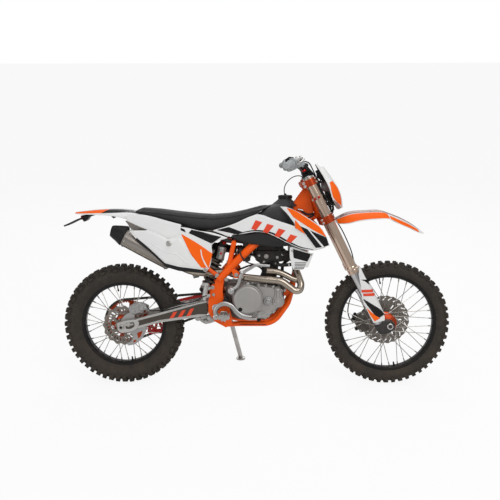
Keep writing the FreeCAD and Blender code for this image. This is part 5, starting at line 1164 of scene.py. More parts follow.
def fork_details():
    """Seal collars, guide bands with bolts, caps with adjusters, and the dark lugs on the lower legs."""
    collar, band, cap, lugs, steel = shapes(5)
    for side in (1, -1):
        foot = np.array([LEG[0], side * LEG[1], 0])
        up = lambda t: foot + [0, 0, t]
        collar.round(lathe([(24.5, 0), (29, 0), (31.2, 2), (31.2, 26), (30.2, 29), (30.2, 33), (31.2, 35),
            (31.2, 40), (28.1, 46)], up(346), up(400), 48))
        slab(collar, rounded([(s, side * y) for s, y in ((30, 100), (58, 108), (62, 124), (40, 128),
            (24, 126))], 5), 352, 378, 2, axis="plan")
        band.round(lathe([(28.1, 0), (30.0, 1), (30.0, 15), (28.1, 16)], up(798), up(814), 48))
        slab(band, rounded([(-14, side * 118), (12, side * 127), (34, side * 127), (34, side * 134),
            (-14, side * 130)], 3), 800, 812, 1.5, axis="plan")
        bolts(cap, [(4, side * 131.5, 806), (28, side * 133.5, 806)], (0, side, 0), 1.25)
        steel.round(lathe([(28, 0), (28.5, 1), (28.5, 4), (26, 7), (16, 8), (14, 8), (14, 12), (0.01, 12)],
            up(921), up(960), 48))
        cylinder(cap, (20, side * 122, 962), (20, side * 122, 982), 11, 28, 3)
        bolts(steel, [(50, side * 125, 360), (50, side * 125, 370)], (0.5, side, 0), 0.9)
        outline = rounded([(-7, 40), (-5, -4), (10, -24), (36, -30), (72, -30), (97, -13), (97, 15), (76, 33),
            (46, 40)], 14, 6)
        slab(lugs, outline, side * 73.5, side * 123, 3.0)
        slab(lugs, rounded([(2, 30), (10, -14), (46, -22), (50, 28)], 8), side * 120, side * 126, 2.0)
        ring = [(10, 0), (15, 0), (17, 1), (17, 4), (14, 6), (10.5, 6), (10.5, -2), (8, -3), (0.01, -3)]
        steel.round(lathe(ring, (68, side * 122.5, 0), (68, side * 140, 0), 40))
        cylinder(lugs, (68, side * 116, 0), (68, side * 127.5, 0), 9.8, 24)
    piece("fork_collars", collar, tube_bronze, "fork", bevel=0.4)
    piece("fork_bands", band, tube_bronze, "fork")
    piece("fork_caps", cap, anodised_red, "fork")
    piece("axle_lugs", lugs, lug_black, "fork", bevel=0.6)
    piece("axle_ends", steel, plain_steel, "fork")
    clamp = Shape()
    lobes = Shape()
    for side in (1, -1):
        slab(lobes, rounded(rect(-30, 880, 2, 914), 8), side * 106, side * 130, 3)
        slab(lobes, rounded(rect(-26, 660, 4, 694), 8), side * 108, side * 128, 3)
        bolts(clamp, [(-14, side * 130, low) for low in (888, 906)], (0, side, 0), 1.3)
        bolts(clamp, [(-12, side * 128, low) for low in (668, 687)], (0, side, 0), 1.0)
        for low in (666, 688, 886, 907):
            bolts(clamp, [(54, side * 120, low)], (0.6, side * 0.8, 0), 0.9)
    piece("clamp_lobes", lobes, clamp_orange, "fork", bevel=0.6)
    clamp.round(lathe([(18.5, 0), (18.5, 8), (15, 11), (9, 11), (8, 8)], (0, 0, 915), (0, 0, 940), 6))
    piece("clamp_bolts", clamp, plain_steel, "fork")


def front_brake():
    """The caliper's ribs, pistons and bolts, the banjo, and a hose that loops out behind the left leg."""
    shape, steel, cord = shapes(3)
    for low, high in ((40.5, 52), (69.5, 80)):
        slab(shape, rounded([(-76, 98), (-20, 98), (-13, 32), (-42, -14), (-88, -2), (-94, 50)], 9), low,
            high, 2.5)
    for place in ((-62, 66), (-66, 26)):
        cylinder(shape, (place[0], 37.5, place[1]), (place[0], 41, place[1]), 17, 36, 1.5)
        cylinder(shape, (place[0], 79, place[1]), (place[0], 83, place[1]), 17, 36, 1.5)
    bolts(steel, [(-30, 41, 88), (-84, 41, 8), (-26, 41, 30)], (0, -1, 0), 1.2)
    bolts(steel, [(-24, 80, 76), (-24, 80, 48), (-80, 81, 92)], (0, 1, 0), 1.5, HEX_POINTS)
    cylinder(steel, (-90, 60, 66), (-106, 60, 70), 9)
    piece("front_caliper_body", shape, engine_grey, "fork", bevel=0.6, slot="silver_cast")
    pads, dark = Shape(), Shape()
    for s0, t0 in ((-58, 58), (-62, 22)):
        slab(pads, rounded([(s0 - 9, t0 - 6), (s0 + 5, t0 - 10), (s0 + 9, t0 + 12), (s0 - 5, t0 + 16)], 3),
            39, 41, 0.4)
    for s0, t0 in ((-92, 84), (-98, 26), (-70, 104)):
        cylinder(dark, (s0, 44, t0), (s0, 62, t0), 10, 24, 2)
    piece("brake_pads", pads, guide_red, "fork", slot="plastic_orange")
    piece("caliper_rubbers", dark, bar_black, "fork")
    piece("front_caliper_bolts", steel, plain_steel, "fork")
    hose(cord, [(64, 92, 640), (72, 90, 596), (74, 86, 500), (66, 72, 420), (44, 62, 350), (10, 60, 290),
        (-22, 62, 236), (-50, 64, 200), (-84, 64, 160), (-104, 64, 118), (-106, 62, 88), (-100, 60, 70)], 3.2,
        140)
    piece("brake_hose", cord, hose_rubber, "fork", replaces=["front_brake_hose"])


# Handlebar
BAR_IN, BAR_TIP = np.array([-14.0, 190.0, 1027.0]), np.array([-62.0, 405.0, 1038.0])
BAR_WAY = (BAR_TIP - BAR_IN) / np.linalg.norm(BAR_TIP - BAR_IN)


def along_bar(distance, ahead=0.0, up=0.0):
    """A place in from the bar's tip, moved square to the bar."""
    return BAR_TIP - BAR_WAY * distance + np.array([ahead, 0, up])


def bar():
    """The tapered handlebar: a tube whose radius grows towards the clamps, bent up and back to the grips."""
    half = [(30, 30, 957), (30, 60, 958), (27, 100, 966), (14, 138, 992), (-6, 176, 1018), (-14, 192, 1027),
        (-27, 250, 1030), (-61.7, 404, 1038)]
    path = [(s, -y, t) for s, y, t in reversed(half)] + half
    shape = Shape().round(tube(path, [11, 11, 11, 12.5, 14, 14, 12.5, 11, 11, 11], 200, 24), caps=True)
    piece("bar_tube", shape, bar_black, "fork", replaces=["handlebar"])


def grips():
    """Rubber grips: close ribs as a wave of radius along the sleeve, a flange inside and a plugged end."""
    shape = Shape()
    d = np.linspace(0, 112, 150)
    radius = 16.2 + 0.9 * np.clip(np.sin(d * 2 * math.pi / 7.0) * 3, -1, 1)
    profile = [(14.5, -3), (23, -3), (24.5, -1.5), (24.5, 2), (22, 4)] + list(zip(radius, d + 6)) + [(17.5,
        118.5), (17.5, 121), (14, 123.5), (8, 123.5), (7, 121.5), (0.01, 121.5)]
    shape.round(lathe(profile, along_bar(120), along_bar(-4), 36))
    piece("grip_rubbers", shape, grip_rubber, "fork", mirrored=True, replaces=["hand_grips"])


def controls():
    """A throttle housing or clutch perch on each side, with lever, reservoir, switch and bolts."""
    grey, black, steel, polish = shapes(4)
    for side in (1, -1):
        m = np.array([1, side, 1])
        put_at = lambda *args: along_bar(*args) * m
        grey.round(lathe([(15, 0), (30, 0), (33, 3), (33, 15), (31, 17), (31, 19), (33, 21), (33, 31),
            (30, 35), (20, 37), (15, 37)], put_at(126), put_at(172), 44))
        centre = put_at(146)
        slab(grey, rounded([(centre[0] - 40, centre[2] - 26), (centre[0] - 12, centre[2] - 34),
            (centre[0] + 24, centre[2] - 22), (centre[0] + 24, centre[2] + 20),
            (centre[0] - 30, centre[2] + 24)], 12), centre[1] - 15, centre[1] + 15, 3)
        bolts(steel, [centre + [-22, side * 15.5, -20], centre + [14, side * 15.5, 12]], (0, side, 0), 1.1)
        perch = put_at(186)
        cylinder(polish, perch - BAR_WAY * m * 13, perch + BAR_WAY * m * 13, 18.5, 36, 2)
        base = perch + [30, 0, 4]
        slab(polish, rounded([(perch[0] + 6, perch[2] - 16), (perch[0] + 58, perch[2] - 8),
            (perch[0] + 60, perch[2] + 12), (perch[0] + 6, perch[2] + 17)], 7), base[1] - 13, base[1] + 13, 3)
        bolts(steel, [base + [20, 0, 10]], (0, 0, 1), 1.2)
        if side < 0:
            slab(grey, rounded(rect(base[0] - 24, base[1] - 22, base[0] + 26, base[1] + 20), 9), base[2] - 36,
                base[2] - 13, 3, axis="plan")
            slab(black, rounded(rect(base[0] - 26, base[1] - 24, base[0] + 28, base[1] + 22), 9),
                base[2] - 15, base[2] - 9, 1.5, axis="plan")
            bolts(steel, [base + [-16, -15, -9], base + [18, 14, -9]], (0, 0, 1), 0.7)
            slab(polish, [(26, 1031), (36, 1027), (20, 988), (9, 994)], -222, -208, 1.5)
            slab(steel, [(11, 1037), (22, 1033), (14, 1010), (5, 1013)], -216, -204, 1.5)
            slab(black, rounded([(-56, 1050), (-50, 1066), (-26, 1071), (-6, 1058), (-8, 1050), (-26, 1062),
                (-44, 1058)], 3), -282, -246, 1.5)
        else:
            cylinder(polish, base + [2, -2, 6], base + [2, -26, 9], 7)
        points = [base + np.array(v) * m for v in ((12, 6, -4), (26, 34, -6), (22, 80, -8), (8, 130, -10),
            (-6, 178, -12), (-10, 190, -12))]
        path = line(points, 60)
        slope = np.gradient(path, axis=0)
        slope = unit(slope)
        flatwise = np.cross(slope, [0, 0, 1.0])
        flatwise = unit(flatwise)
        a = circle(14)
        swell = 1 + 0.5 * np.exp(-((np.linspace(0, 1, 60) - 1) / 0.05) ** 2)
        ring = (np.cos(a)[None, :, None] * flatwise[:, None] * 7.5 * swell[:, None, None]
            + np.sin(a)[None, :, None] * np.array([0, 0, 4.2]) * swell[:, None, None])
        blade = path[:, None] + ring
        polish.grid(blade, around=True, caps=True)
        switch = put_at(222)
        cylinder(black, switch - BAR_WAY * m * 14, switch + BAR_WAY * m * 14, 17, 30, 3)
        slab(black, rounded([(switch[0] - 26, switch[2] - 6), (switch[0] - 8, switch[2] - 14),
            (switch[0] - 8, switch[2] + 14), (switch[0] - 26, switch[2] + 8)], 5), switch[1] - 13,
            switch[1] + 13, 2)
    piece("throttle_housings", grey, control_grey, "fork", bevel=0.5, replaces=["hand_controls"],
        slot="bar_black")
    piece("reservoir_and_switches", black, black_plastic, "fork", bevel=0.5)
    piece("levers", polish, lever_polish, "fork")
    piece("control_bolts", steel, plain_steel, "fork")
    clamps = Shape()
    for side in (1, -1):
        slab(clamps, rounded([(2, 917), (54, 917), (56, 946), (50, 976), (12, 979), (4, 950)], 8), side * 29,
            side * 55, 2.5)
        bolts(clamps, [(12, side * 42, 979), (46, side * 42, 976)], (0, 0, 1), 1.2)
    piece("bar_clamps", clamps, bar_black, "fork")
    pad = Shape()
    slab(pad, rounded(rect(8, -52, 58, 52), 14), 976, 996, 5, axis="plan")
    piece("bar_pad", pad, black_plastic, "fork", bevel=1.0)


def cables():
    """Throttle, clutch and brake lines down behind the mask, with a loom, a box and the lamp's back."""
    lines, grey = Shape(), Shape()
    for points, radius in (([(14, -216, 1004), (38, -150, 1002), (46, -110, 972), (56, -80, 935),
            (62, -66, 912), (60, -60, 884), (56, -56, 840), (56, -50, 777), (60, -46, 720)], 3.4),
            ([(10, -226, 998), (34, -156, 992), (50, -104, 958), (62, -72, 918), (68, -52, 884),
            (62, -50, 836), (60, -44, 770), (62, -40, 700)], 3.2), ([(14, 216, 1004), (40, 150, 1000),
            (52, 108, 968), (64, 70, 924), (68, 48, 880), (62, 44, 830), (58, 42, 760)], 3.2),
            ([(40, -196, 1012), (60, -140, 990), (64, -100, 950), (66, -40, 900), (66, 40, 850),
            (66, 84, 760), (66, 92, 690), (64, 92, 640)], 3.4), ([(54, -50, 870), (60, -56, 820),
            (66, -60, 770), (80, -48, 730), (62, -40, 690)], 5.0), ([(60, -20, 866), (54, -24, 820),
            (60, -44, 780), (82, -50, 736), (72, -52, 700)], 4.5), ([(58, 20, 860), (62, 26, 800),
            (76, 34, 740), (62, 40, 690)], 5.0), ([(66, -60, 800), (58, -58, 770), (60, -56, 742),
            (80, -50, 712)], 3.0)):
        hose(lines, points, radius, 90, 10)
    piece("control_cables", lines, hose_rubber, "fork")
    box = Shape()
    slab(box, rounded([(70, 730), (92, 742), (92, 800), (74, 806)], 6), -40, 40, 3)
    slab(box, rounded([(73, 897), (82, 923), (102, 925), (115, 903), (113, 868), (88, 868)], 7), -44, 44, 5)
    slab(box, rounded([(78, 921), (100, 922), (97, 934), (80, 934)], 4), -34, 34, 3)
    for side in (1, -1):
        slab(box, rounded([(46, 862), (84, 866), (90, 874), (46, 876)], 4), side * 52, side * 60, 1.5)
        slab(box, rounded([(46, 742), (100, 716), (102, 734), (46, 760)], 4), side * 40, side * 48, 1.5)
    piece("lamp_brackets", box, black_plastic, "fork", bevel=0.5)
    grey.round(lathe([(0.01, 0), (22, 0), (24, 2), (30, 10), (46, 30), (62, 40), (66, 42)], (72, 0, 842),
        (118, 0, 828), 44))
    piece("lamp_reflector_back", grey, control_grey, "fork", slot="lamp_clear")


fork_details()
front_brake()
bar()
grips()
controls()
cables()


# Exhaust
def pipes():
    """The header's two runs, its flanges, the clamp where they join and the tail that enters the muffler."""
    shape, steel = Shape(), Shape()
    hose(shape, [(186, -26, 728), (202, -28, 727), (214, -50, 700), (222, -82, 652), (238, -110, 608),
        (247, -128, 574), (238, -135, 548), (218, -137, 545), (188, -134, 564), (139, -131, 596),
        (100, -130, 602), (37, -130, 607), (-20, -127, 612), (-56, -120, 615), (-102, -82, 626),
        (-132, -71, 632), (-273, -72, 631), (-355, -79, 644), (-410, -83, 668), (-452, -84, 690)], 19.5, 260,
        28)
    hose(shape, [(62, -112, 650), (72, -112, 649), (110, -112, 646), (140, -112, 638), (170, -112, 624),
        (200, -111, 608), (232, -106, 598), (246, -100, 594)], 17.5, 80, 28)
    for start, end in (((186, -26, 728), (192, -26, 728)), ((-104, -80, 626), (-132, -71, 632)),
            ((-438, -83.5, 680), (-456, -84.5, 691))):
        shape.round(lathe([(19.6, 0), (22.5, 1), (22.5, np.linalg.norm(np.subtract(end, start)) - 1),
            (19.6, np.linalg.norm(np.subtract(end, start)))], start, end, 36))
    bolts(steel, [(-118, -92, 606), (-446, -84, 664)], (0, -0.2, -1), 1.0)
    bolts(steel, [(196, -50, 738), (196, -2, 718)], (1, 0, 0), 1.1, HEX_POINTS)
    for t in (0.25, 0.75):
        cylinder(steel, (-273 - 60 * t, -92, 636 + 14 * t), (-273 - 60 * t, -94, 636 + 14 * t), 3, 10, 0.4)
    piece("header_pipes", shape, pipe_steel, replaces=["exhaust_header"], smooth=50)
    piece("header_bolts", steel, plain_steel)


CAN_FRONT, CAN_TILT = np.array([-450.0, -84.0, 688.0]), math.radians(28.43)
CAN_WAY = np.array([-math.cos(CAN_TILT), 0.0, math.sin(CAN_TILT)])
CAN_UP = np.array([math.sin(CAN_TILT), 0.0, math.cos(CAN_TILT)])


def can_rings(stations, sides=64, flats=0.0):
    """Rings round the can's axis from (radius, distance, rise, tilt): rise lifts, tilt leans back."""
    a = circle(sides)
    r, d, rise, tilt = (np.array(v, float)[:, None] for v in zip(*[(*k, 0)[:4] for k in stations]))
    swell = 1 - flats * (1 - np.cos(6 * a))[None, :] / 2
    centre = CAN_FRONT + CAN_WAY * (d + tilt * np.sin(a))[..., None] + CAN_UP * rise[..., None]
    return centre + (r * swell * np.cos(a))[..., None] * np.array([0, 1.0,
        0]) + (r * swell * np.sin(a))[..., None] * CAN_UP


def muffler():
    """Can with a cone, riveted bands and a dark cap whose foot is cut up towards the outlet."""
    can = Shape()
    can.round(can_rings([(20, -6, 0), (24, -4, 0), (30, 2, 0), (45, 12, 0), (49.5, 16, 0), (50, 20, 0),
        (51, 21, 0), (51, 30, 0), (50, 31, 0), (50.5, 60, 0), (51, 150, 0), (51, 278, 0), (52.2, 279, 0),
        (52.2, 291, 0), (51, 292, 0), (50.8, 303, 0)], flats=0.05)[:, ::-1])
    rivets = Shape()
    for distance, height in ((25.5, 51.2), (285, 52.4)):
        for angle in np.radians(np.arange(15, 375, 30)):
            way = np.array([0, math.cos(angle), 0]) + math.sin(angle) * CAN_UP
            bolts(rivets, [CAN_FRONT + CAN_WAY * distance + way * (height - 1.2)], way, 0.55)
    strips = Shape()
    for turn in (-140, -40, 80, 100):
        way = math.cos(math.radians(turn)) * np.array([0, 1.0, 0]) + math.sin(math.radians(turn)) * CAN_UP
        hose(strips, [CAN_FRONT + CAN_WAY * d + way * 49.4 for d in (30, 100, 190, 284)], 2.8, 60, 10)
    piece("muffler_strips", strips, pipe_steel)
    cap = Shape()
    cap.round(can_rings([(51, 297, 1), (54.5, 298, 3, -1), (56.5, 305, 6, -2), (55.5, 311, 6, 0),
        (45, 338, 3, 3), (33.5, 368, -2, 6), (30.5, 374, -4, 7), (28, 377, -5, 7), (25, 377.5, -5, 7),
        (23, 375, -5, 7), (22, 350, -5, 4), (22, 312, -5), (0.01, 311, -5)])[:, ::-1])
    core = Shape()
    core.round(can_rings([(20.5, 313, -5), (20.5, 366, -5, 6), (19.5, 367, -5, 6), (17.5, 364, -5, 6),
        (17.5, 313, -5)], 48)[:, ::-1])
    piece("muffler_can", can, can_titanium, replaces=["muffler"], smooth=32)
    piece("muffler_cap", cap, black_plastic, smooth=50)
    piece("muffler_outlet", core, pipe_steel)
    piece("muffler_rivets", rivets, plain_steel)
    hanger = Shape()
    slab(hanger, rounded([(-708, 919), (-684, 921), (-626, 916), (-572, 886), (-586, 868), (-606, 838),
        (-632, 838), (-650, 858), (-676, 874), (-692, 899)], 6), -88, -83.5, 1)
    bolts(hanger, [(-607, -88, 885), (-630, -88, 898), (-640, -88, 868)], (0, -1, 0), 1.4, HEX_POINTS)
    slab(hanger, rounded([(-640, 862), (-612, 860), (-606, 815), (-640, 830)], 6), -84, -70, 2)
    slab(hanger, rounded([(-352, 644), (-302, 642), (-308, 606), (-322, 614), (-336, 600)], 4), -86, -76, 2)
    piece("muffler_bracket", hanger, can_titanium, bevel=0.4, slot="silver_cast")


# Engine
def bosses(shape, points, low, high, radius=8.0):
    for x, z in points:
        cylinder(shape, (x, high, z), (x, low, z), radius, 24, 1.5)


CLUTCH_BOLTS = np.radians((35, 75, 150, 205, 255, 305))
LEFT_BOLTS = [(20 + 74 * math.cos(v), 480 + 74 * math.sin(v)) for v in np.radians((10, 62, 118, 172, 228, 292,
    340))]


def engine_cases():
    """Crankcase with webs and lugs, the right covers with their bolts, and the left covers."""
    case = Shape()
    slab(case, rounded([(-165, 575), (-165, 492), (-142, 395), (-83, 375), (59, 375), (150, 455), (158, 540),
        (107, 578)], 16, 6), -87, 79, 5)
    slab(case, rounded([(-150, 566), (-150, 492), (-130, 404), (-80, 387), (54, 387), (136, 460), (142, 534),
        (100, 568)], 14, 6), -90.5, 81.5, 3)
    for x in range(-60, 60, 20):
        slab(case, rect(x - 2, 372, x + 2, 386), -70, 70, 1)
    for x, z in ((-158, 566), (148, 470), (150, 548), (-136, 400)):
        cylinder(case, (x, -70, z), (x, 66, z), 15, 28, 2)
    for z in (480, 500, 520):
        slab(case, [(140, z - 2), (160, z), (160, z + 3), (140, z + 2)], -60, 52, 1)
    piece("engine_cases", case, engine_grey, bevel=0.8, replaces=["crankcase"])
    cover = Shape()
    base = [(-132, 560), (-126, 505), (-106, 420), (-62, 385), (60, 385), (140, 460), (151, 535), (100, 567),
        (20, 576), (-60, 576)]
    slab(cover, rounded(base, 18, 6), -104, -88.6, 3)
    slab(cover, rounded([(x * 0.955 + 0.5, (z - 480) * 0.95 + 480) for x, z in base], 18, 6), -120, -102, 7)
    rim = [(-126, 548), (-118, 500), (-101, 428), (-62, 392), (0, 389), (56, 392), (98, 424), (134, 462),
        (144, 508), (142, 540), (98, 561), (58, 568), (18, 570), (-62, 569)]
    bosses(cover, rim, -113, -90, 8.5)
    centre = np.array([-40.0, 0.0, 496.0])
    cover.round(lathe([(90, 0), (90, 8), (87, 13), (85, 18), (84, 44), (82, 52), (78, 55), (75, 55)],
        centre + [0, -92, 0], centre + [0, -160, 0], 96))
    lid = Shape().round(lathe([(75, 0), (75, 6), (76.5, 8), (76.5, 14), (74.5, 18), (69, 20.5), (64, 21),
        (61, 20), (30, 20.6), (0.01, 20.8)], centre + [0, -143, 0], centre + [0, -170, 0], 96))
    piece("clutch_lid", lid, lid_grey)
    cylinder(cover, (-40, -92, 584), (-40, -138, 580), 12, 28, 3)
    for angle in CLUTCH_BOLTS:
        spot = centre + [93 * math.cos(angle), 0, 93 * math.sin(angle)]
        cylinder(cover, spot + [0, -94, 0], spot + [0, -117, 0], 8.5, 24, 1.5)
    bright = Shape()
    cylinder(bright, (70, -100, 484), (70, -131, 484), 25, 44, 4)
    cylinder(bright, (70, -125, 484), (70, -137, 484), 15, 36, 4)
    slab(bright, rounded([(52, 512), (94, 512), (100, 462), (60, 456)], 14), -116, -100, 4)
    piece("pump_cover", bright, lever_polish, bevel=0.6)
    slab(cover, rounded([(104, 566), (140, 562), (146, 520), (162, 488), (150, 456), (118, 448), (92, 474),
        (94, 500), (106, 520)], 20, 7), -129, -100, 5)
    slab(cover, rounded([(113, 562), (131, 560), (134, 470), (118, 470)], 8), -136, -120, 4)
    cylinder(cover, (125, -120, 486), (125, -137, 486), 22, 40, 4)
    cylinder(cover, (-130, -90, 546), (-130, -141, 546), 19, 36, 3)
    slab(cover, rounded([(-148, 566), (-148, 522), (-108, 500), (-100, 560)], 14), -116, -88, 4)
    slab(cover, rounded([(-20, 404), (20, 396), (58, 398), (70, 420), (30, 430), (-16, 424)], 8), -126, -100,
        4)
    piece("right_covers", cover, cover_grey, bevel=0.7, replaces=["clutch_cover"])
    steel = Shape()
    bolts(steel, [(x, -113, z) for x, z in rim], (0, -1, 0), 1.3)
    bolts(steel, [centre + [93 * math.cos(v), -117, 93 * math.sin(v)] for v in CLUTCH_BOLTS], (0, -1, 0),
        1.05)
    bolts(steel, [(-40, -138, 580)], (0, -1, 0), 1.2)
    bolts(steel, [(70, -137, 484)], (0, -1, 0), 1.6, HEX_POINTS)
    bolts(steel, [(125, -137, 486)], (0, -1, 0), 1.0)
    bolts(steel, [(122, -136, 548), (106, -129, 470), (146, -129, 498)], (0, -1, 0), 1.0)
    bolts(steel, [(20, -126, 408), (52, -126, 410)], (0, -1, 0), 1.7, HEX_POINTS)
    bolts(steel, [(70, -96, 400), (100, -96, 428), (-80, -110, 398)], (0, -1, 0), 1.4, HEX_POINTS)
    piece("cover_bolts", steel, plain_steel)
    black = Shape()
    black.round(lathe([(11, 0), (11, 3), (9.5, 4.5), (3, 4.5), (2.5, 2.5), (0.01, 2.5)], (-80, -163, 446),
        (-80, -172, 446), 28))
    cylinder(black, (20, -80, 380), (20, -80, 366), 12, 6)
    piece("filler_plug", black, bar_black)
    left = Shape()
    left.round(lathe([(76, 0), (76, 10), (73, 13), (71.5, 16), (71, 25), (66, 31), (52, 33.5), (50, 32),
        (48, 32), (46, 34), (0.01, 35)], (20, 80.5, 480), (20, 130, 480), 80))
    slab(left, rounded([(-170, 522), (-178, 470), (-168, 425), (-100, 420), (0, 430), (0, 520), (-110, 528)],
        12), 80.5, 90.5, 3)
    slab(left, rounded([(-160, 512), (-166, 470), (-158, 436), (-104, 432), (-60, 436), (-60, 510),
        (-110, 516)], 12), 88, 95, 3)
    bosses(left, [(-162, 516), (-168, 440), (-100, 426)], 96, 82, 8)
    for x, z in LEFT_BOLTS:
        cylinder(left, (x, 81, z), (x, 99, z), 8, 20, 1.5)
    piece("left_covers", left, cover_grey, bevel=0.7, replaces=["flywheel_cover"])
    heads = bolts(Shape(), [(x, 99, z) for x, z in LEFT_BOLTS] + [(-162, 96, 516), (-168, 96, 440),
        (-100, 96, 426)], (0, 1, 0), 1.1)
    piece("left_cover_bolts", heads, plain_steel)


def top_end():
    """Cylinder with joints and studs, head with ports and plug, the bolted rocker cover, and the hoses."""
    dark = Shape()
    slab(dark, rounded([(34, 577), (104, 578), (114, 584), (131, 688), (41, 676)], 9, 6), -49, 49, 5)
    for low, high in ((577.5, 583), (672, 678)):
        slab(dark, rounded([(28 + (low - 577) * 0.1, low), (108 + (low - 577) * 0.25, low + 1.5),
            (109 + (low - 577) * 0.25, high + 1.5), (28 + (low - 577) * 0.1, high)], 2), -54, 54, 1)
    for index in range(5):
        z = 598 + 15 * index
        shift = (z - 577) * 0.16
        slab(dark, rounded([(33 + shift * 0.4, z), (110 + shift, z + 2), (110 + shift, z + 5.5),
            (33 + shift * 0.4, z + 3.5)], 1.5), -53, 53, 1)
    slab(dark, rounded([(34, 678), (134, 691), (186, 700), (188, 740), (150, 752), (4, 752), (-2, 702)], 10,
        6), -57, 57, 5)
    slab(dark, rounded([(8, 748), (160, 748), (154, 776), (118, 790), (6, 785)], 12, 6), -52, 52, 7)
    slab(dark, rounded(rect(2, 744, 168, 752), 3), -60, 60, 2)
    for x in (18, 64, 110, 150):
        slab(dark, rounded(rect(x - 3, 706, x + 3, 742), 2), -60, -55, 1)
        slab(dark, rounded(rect(x - 3, 706, x + 3, 742), 2), 55, 60, 1)
    dark.round(lathe([(20, 0), (24, 1), (24, 10), (20, 11)], (178, -26, 728), (196, -26, 728), 32))
    dark.round(lathe([(18, 0), (27, 0), (27, 8), (24, 10), (24, 20), (18, 20)], (6, 0, 742), (-20, 0, 742),
        36))
    slab(dark, rounded([(78, 676), (104, 680), (104, 706), (78, 700)], 7), -66, -50, 3)
    cylinder(dark, (90, -50, 690), (90, -70, 690), 12, 28, 2)
    piece("cylinder_and_head", dark, cylinder_black, bevel=0.7, replaces=["cylinder", "cylinder_head"])
    steel = Shape()
    bolts(steel, [(14, side * 46, 784) for side in (1, -1)] + [(146, side * 44, 780) for side in (1, -1)],
        (0, 0, 1), 1.3)
    bolts(steel, [(42, -54, 588), (100, -54, 590), (48, -57, 690), (120, -57, 716), (20, -57, 726),
        (150, -57, 732)], (0, -1, 0), 1.1, HEX_POINTS)
    bolts(steel, [(42, 54, 588), (100, 54, 590), (48, 57, 690), (120, 57, 716), (20, 57, 726)], (0, 1, 0),
        1.1, HEX_POINTS)
    cylinder(steel, (60, -57, 722), (60, -63, 722), 13, 30, 1.5)
    bolts(steel, [(60, -63, 722)], (0, -1, 0), 1.1)
    piece("top_end_bolts", steel, plain_steel)
    rubber = Shape()
    hose(rubber, [(90, -66, 690), (96, -84, 688), (120, -96, 682), (160, -100, 680), (198, -102, 684)], 9.5,
        60, 18)
    hose(rubber, [(120, 30, 776), (150, 70, 790), (180, 96, 820), (206, 104, 850)], 9.5, 60, 18)
    hose(rubber, [(198, 104, 690), (160, 96, 660), (150, 60, 600), (140, 20, 575)], 9.5, 60, 18)
    hose(rubber, [(84, 12, 786), (70, 14, 806), (30, 16, 812), (-30, 14, 806)], 5.5, 50, 12)
    hose(rubber, [(-82, -128, 772), (-78, -137.5, 742), (-60, -140.5, 714), (-36, -140, 697), (0, -136, 688),
        (40, -124, 690), (72, -96, 700)], 3.4, 90, 10)
    hose(rubber, [(-60, -30, 770), (-40, -70, 760), (-10, -88, 730), (20, -84, 700), (40, -66, 650),
        (24, -70, 600)], 4.0, 80, 10)
    hose(rubber, [(-110, -60, 640), (-70, -84, 660), (-20, -86, 676), (20, -80, 668), (46, -64, 640)], 5.0,
        70, 12)
    hose(rubber, [(96, -70, 790), (120, -90, 770), (150, -96, 740), (176, -92, 716), (206, -90, 700)], 4.0,
        60, 10)
    piece("engine_hoses", rubber, hose_rubber)
    clips = Shape()
    for start, end in (((108, -90, 685), (116, -94, 684)), ((180, -101, 682), (188, -102, 683))):
        clips.round(lathe([(9.6, 0), (10.6, 0.5), (10.6, 7.5), (9.6, 8)], start, end, 24))
    piece("hose_clips", clips, plain_steel)


def carburettor():
    """Body, slide tower with its cap, float bowl with drain, and the two clamped rubber boots."""
    body, rubber, steel = shapes(3)
    body.round(lathe([(20, 0), (27, 0), (28, 3), (24, 6), (23, 20), (26, 30), (26.5, 56), (30, 58), (30, 64),
        (22, 64)], (-24, 2, 742), (-92, 20, 748), 40))
    cylinder(body, (-52, 10, 742), (-52, 10, 798), 18, 36, 3)
    cylinder(body, (-52, 10, 796), (-52, 10, 808), 21, 36, 4)
    slab(body, rounded(rect(-78, -14, -24, 34), 10), 706, 728, 3, axis="plan")
    slab(body, rounded(rect(-74, -10, -28, 30), 12), 686, 708, 6, axis="plan")
    cylinder(body, (-50, -26, 738), (-50, -8, 738), 13, 28, 2)
    slab(body, rounded(rect(-66, 726, -34, 756), 8), -27, -14, 3)
    bolts(steel, [(-62, -27, 748), (-38, -27, 732), (-72, -14, 717), (-30, -14, 717)], (0, -1, 0), 0.9)
    cylinder(steel, (-50, 10, 690), (-50, 10, 678), 7, 6)
    cylinder(steel, (-44, -26, 740), (-44, -40, 740), 4, 14)
    hose(rubber, [(-16, 0, 742), (-34, 3, 742)], 25, 12, 32)
    ripple = 24 + 1.6 * np.clip(np.sin(np.linspace(0, 30, 120)) * 3, -1, 1)
    rubber.round(tube([(-88, 19, 748), (-120, 30, 750), (-170, 44, 756), (-220, 47, 764), (-264, 46, 772)],
        ripple, 120, 32), caps=True)
    for start, end in (((-14, 0, 742), (-20, 0, 742)), ((-92, 20, 748), (-99, 22, 748.6))):
        steel.round(lathe([(26.2, 0), (27.4, 0.5), (27.4, 6.5), (26.2, 7)], start, end, 40))
    piece("carburettor_body", body, engine_grey, bevel=0.6, replaces=["carburettor"])
    piece("intake_boots", rubber, hose_rubber)
    piece("carburettor_screws", steel, plain_steel)


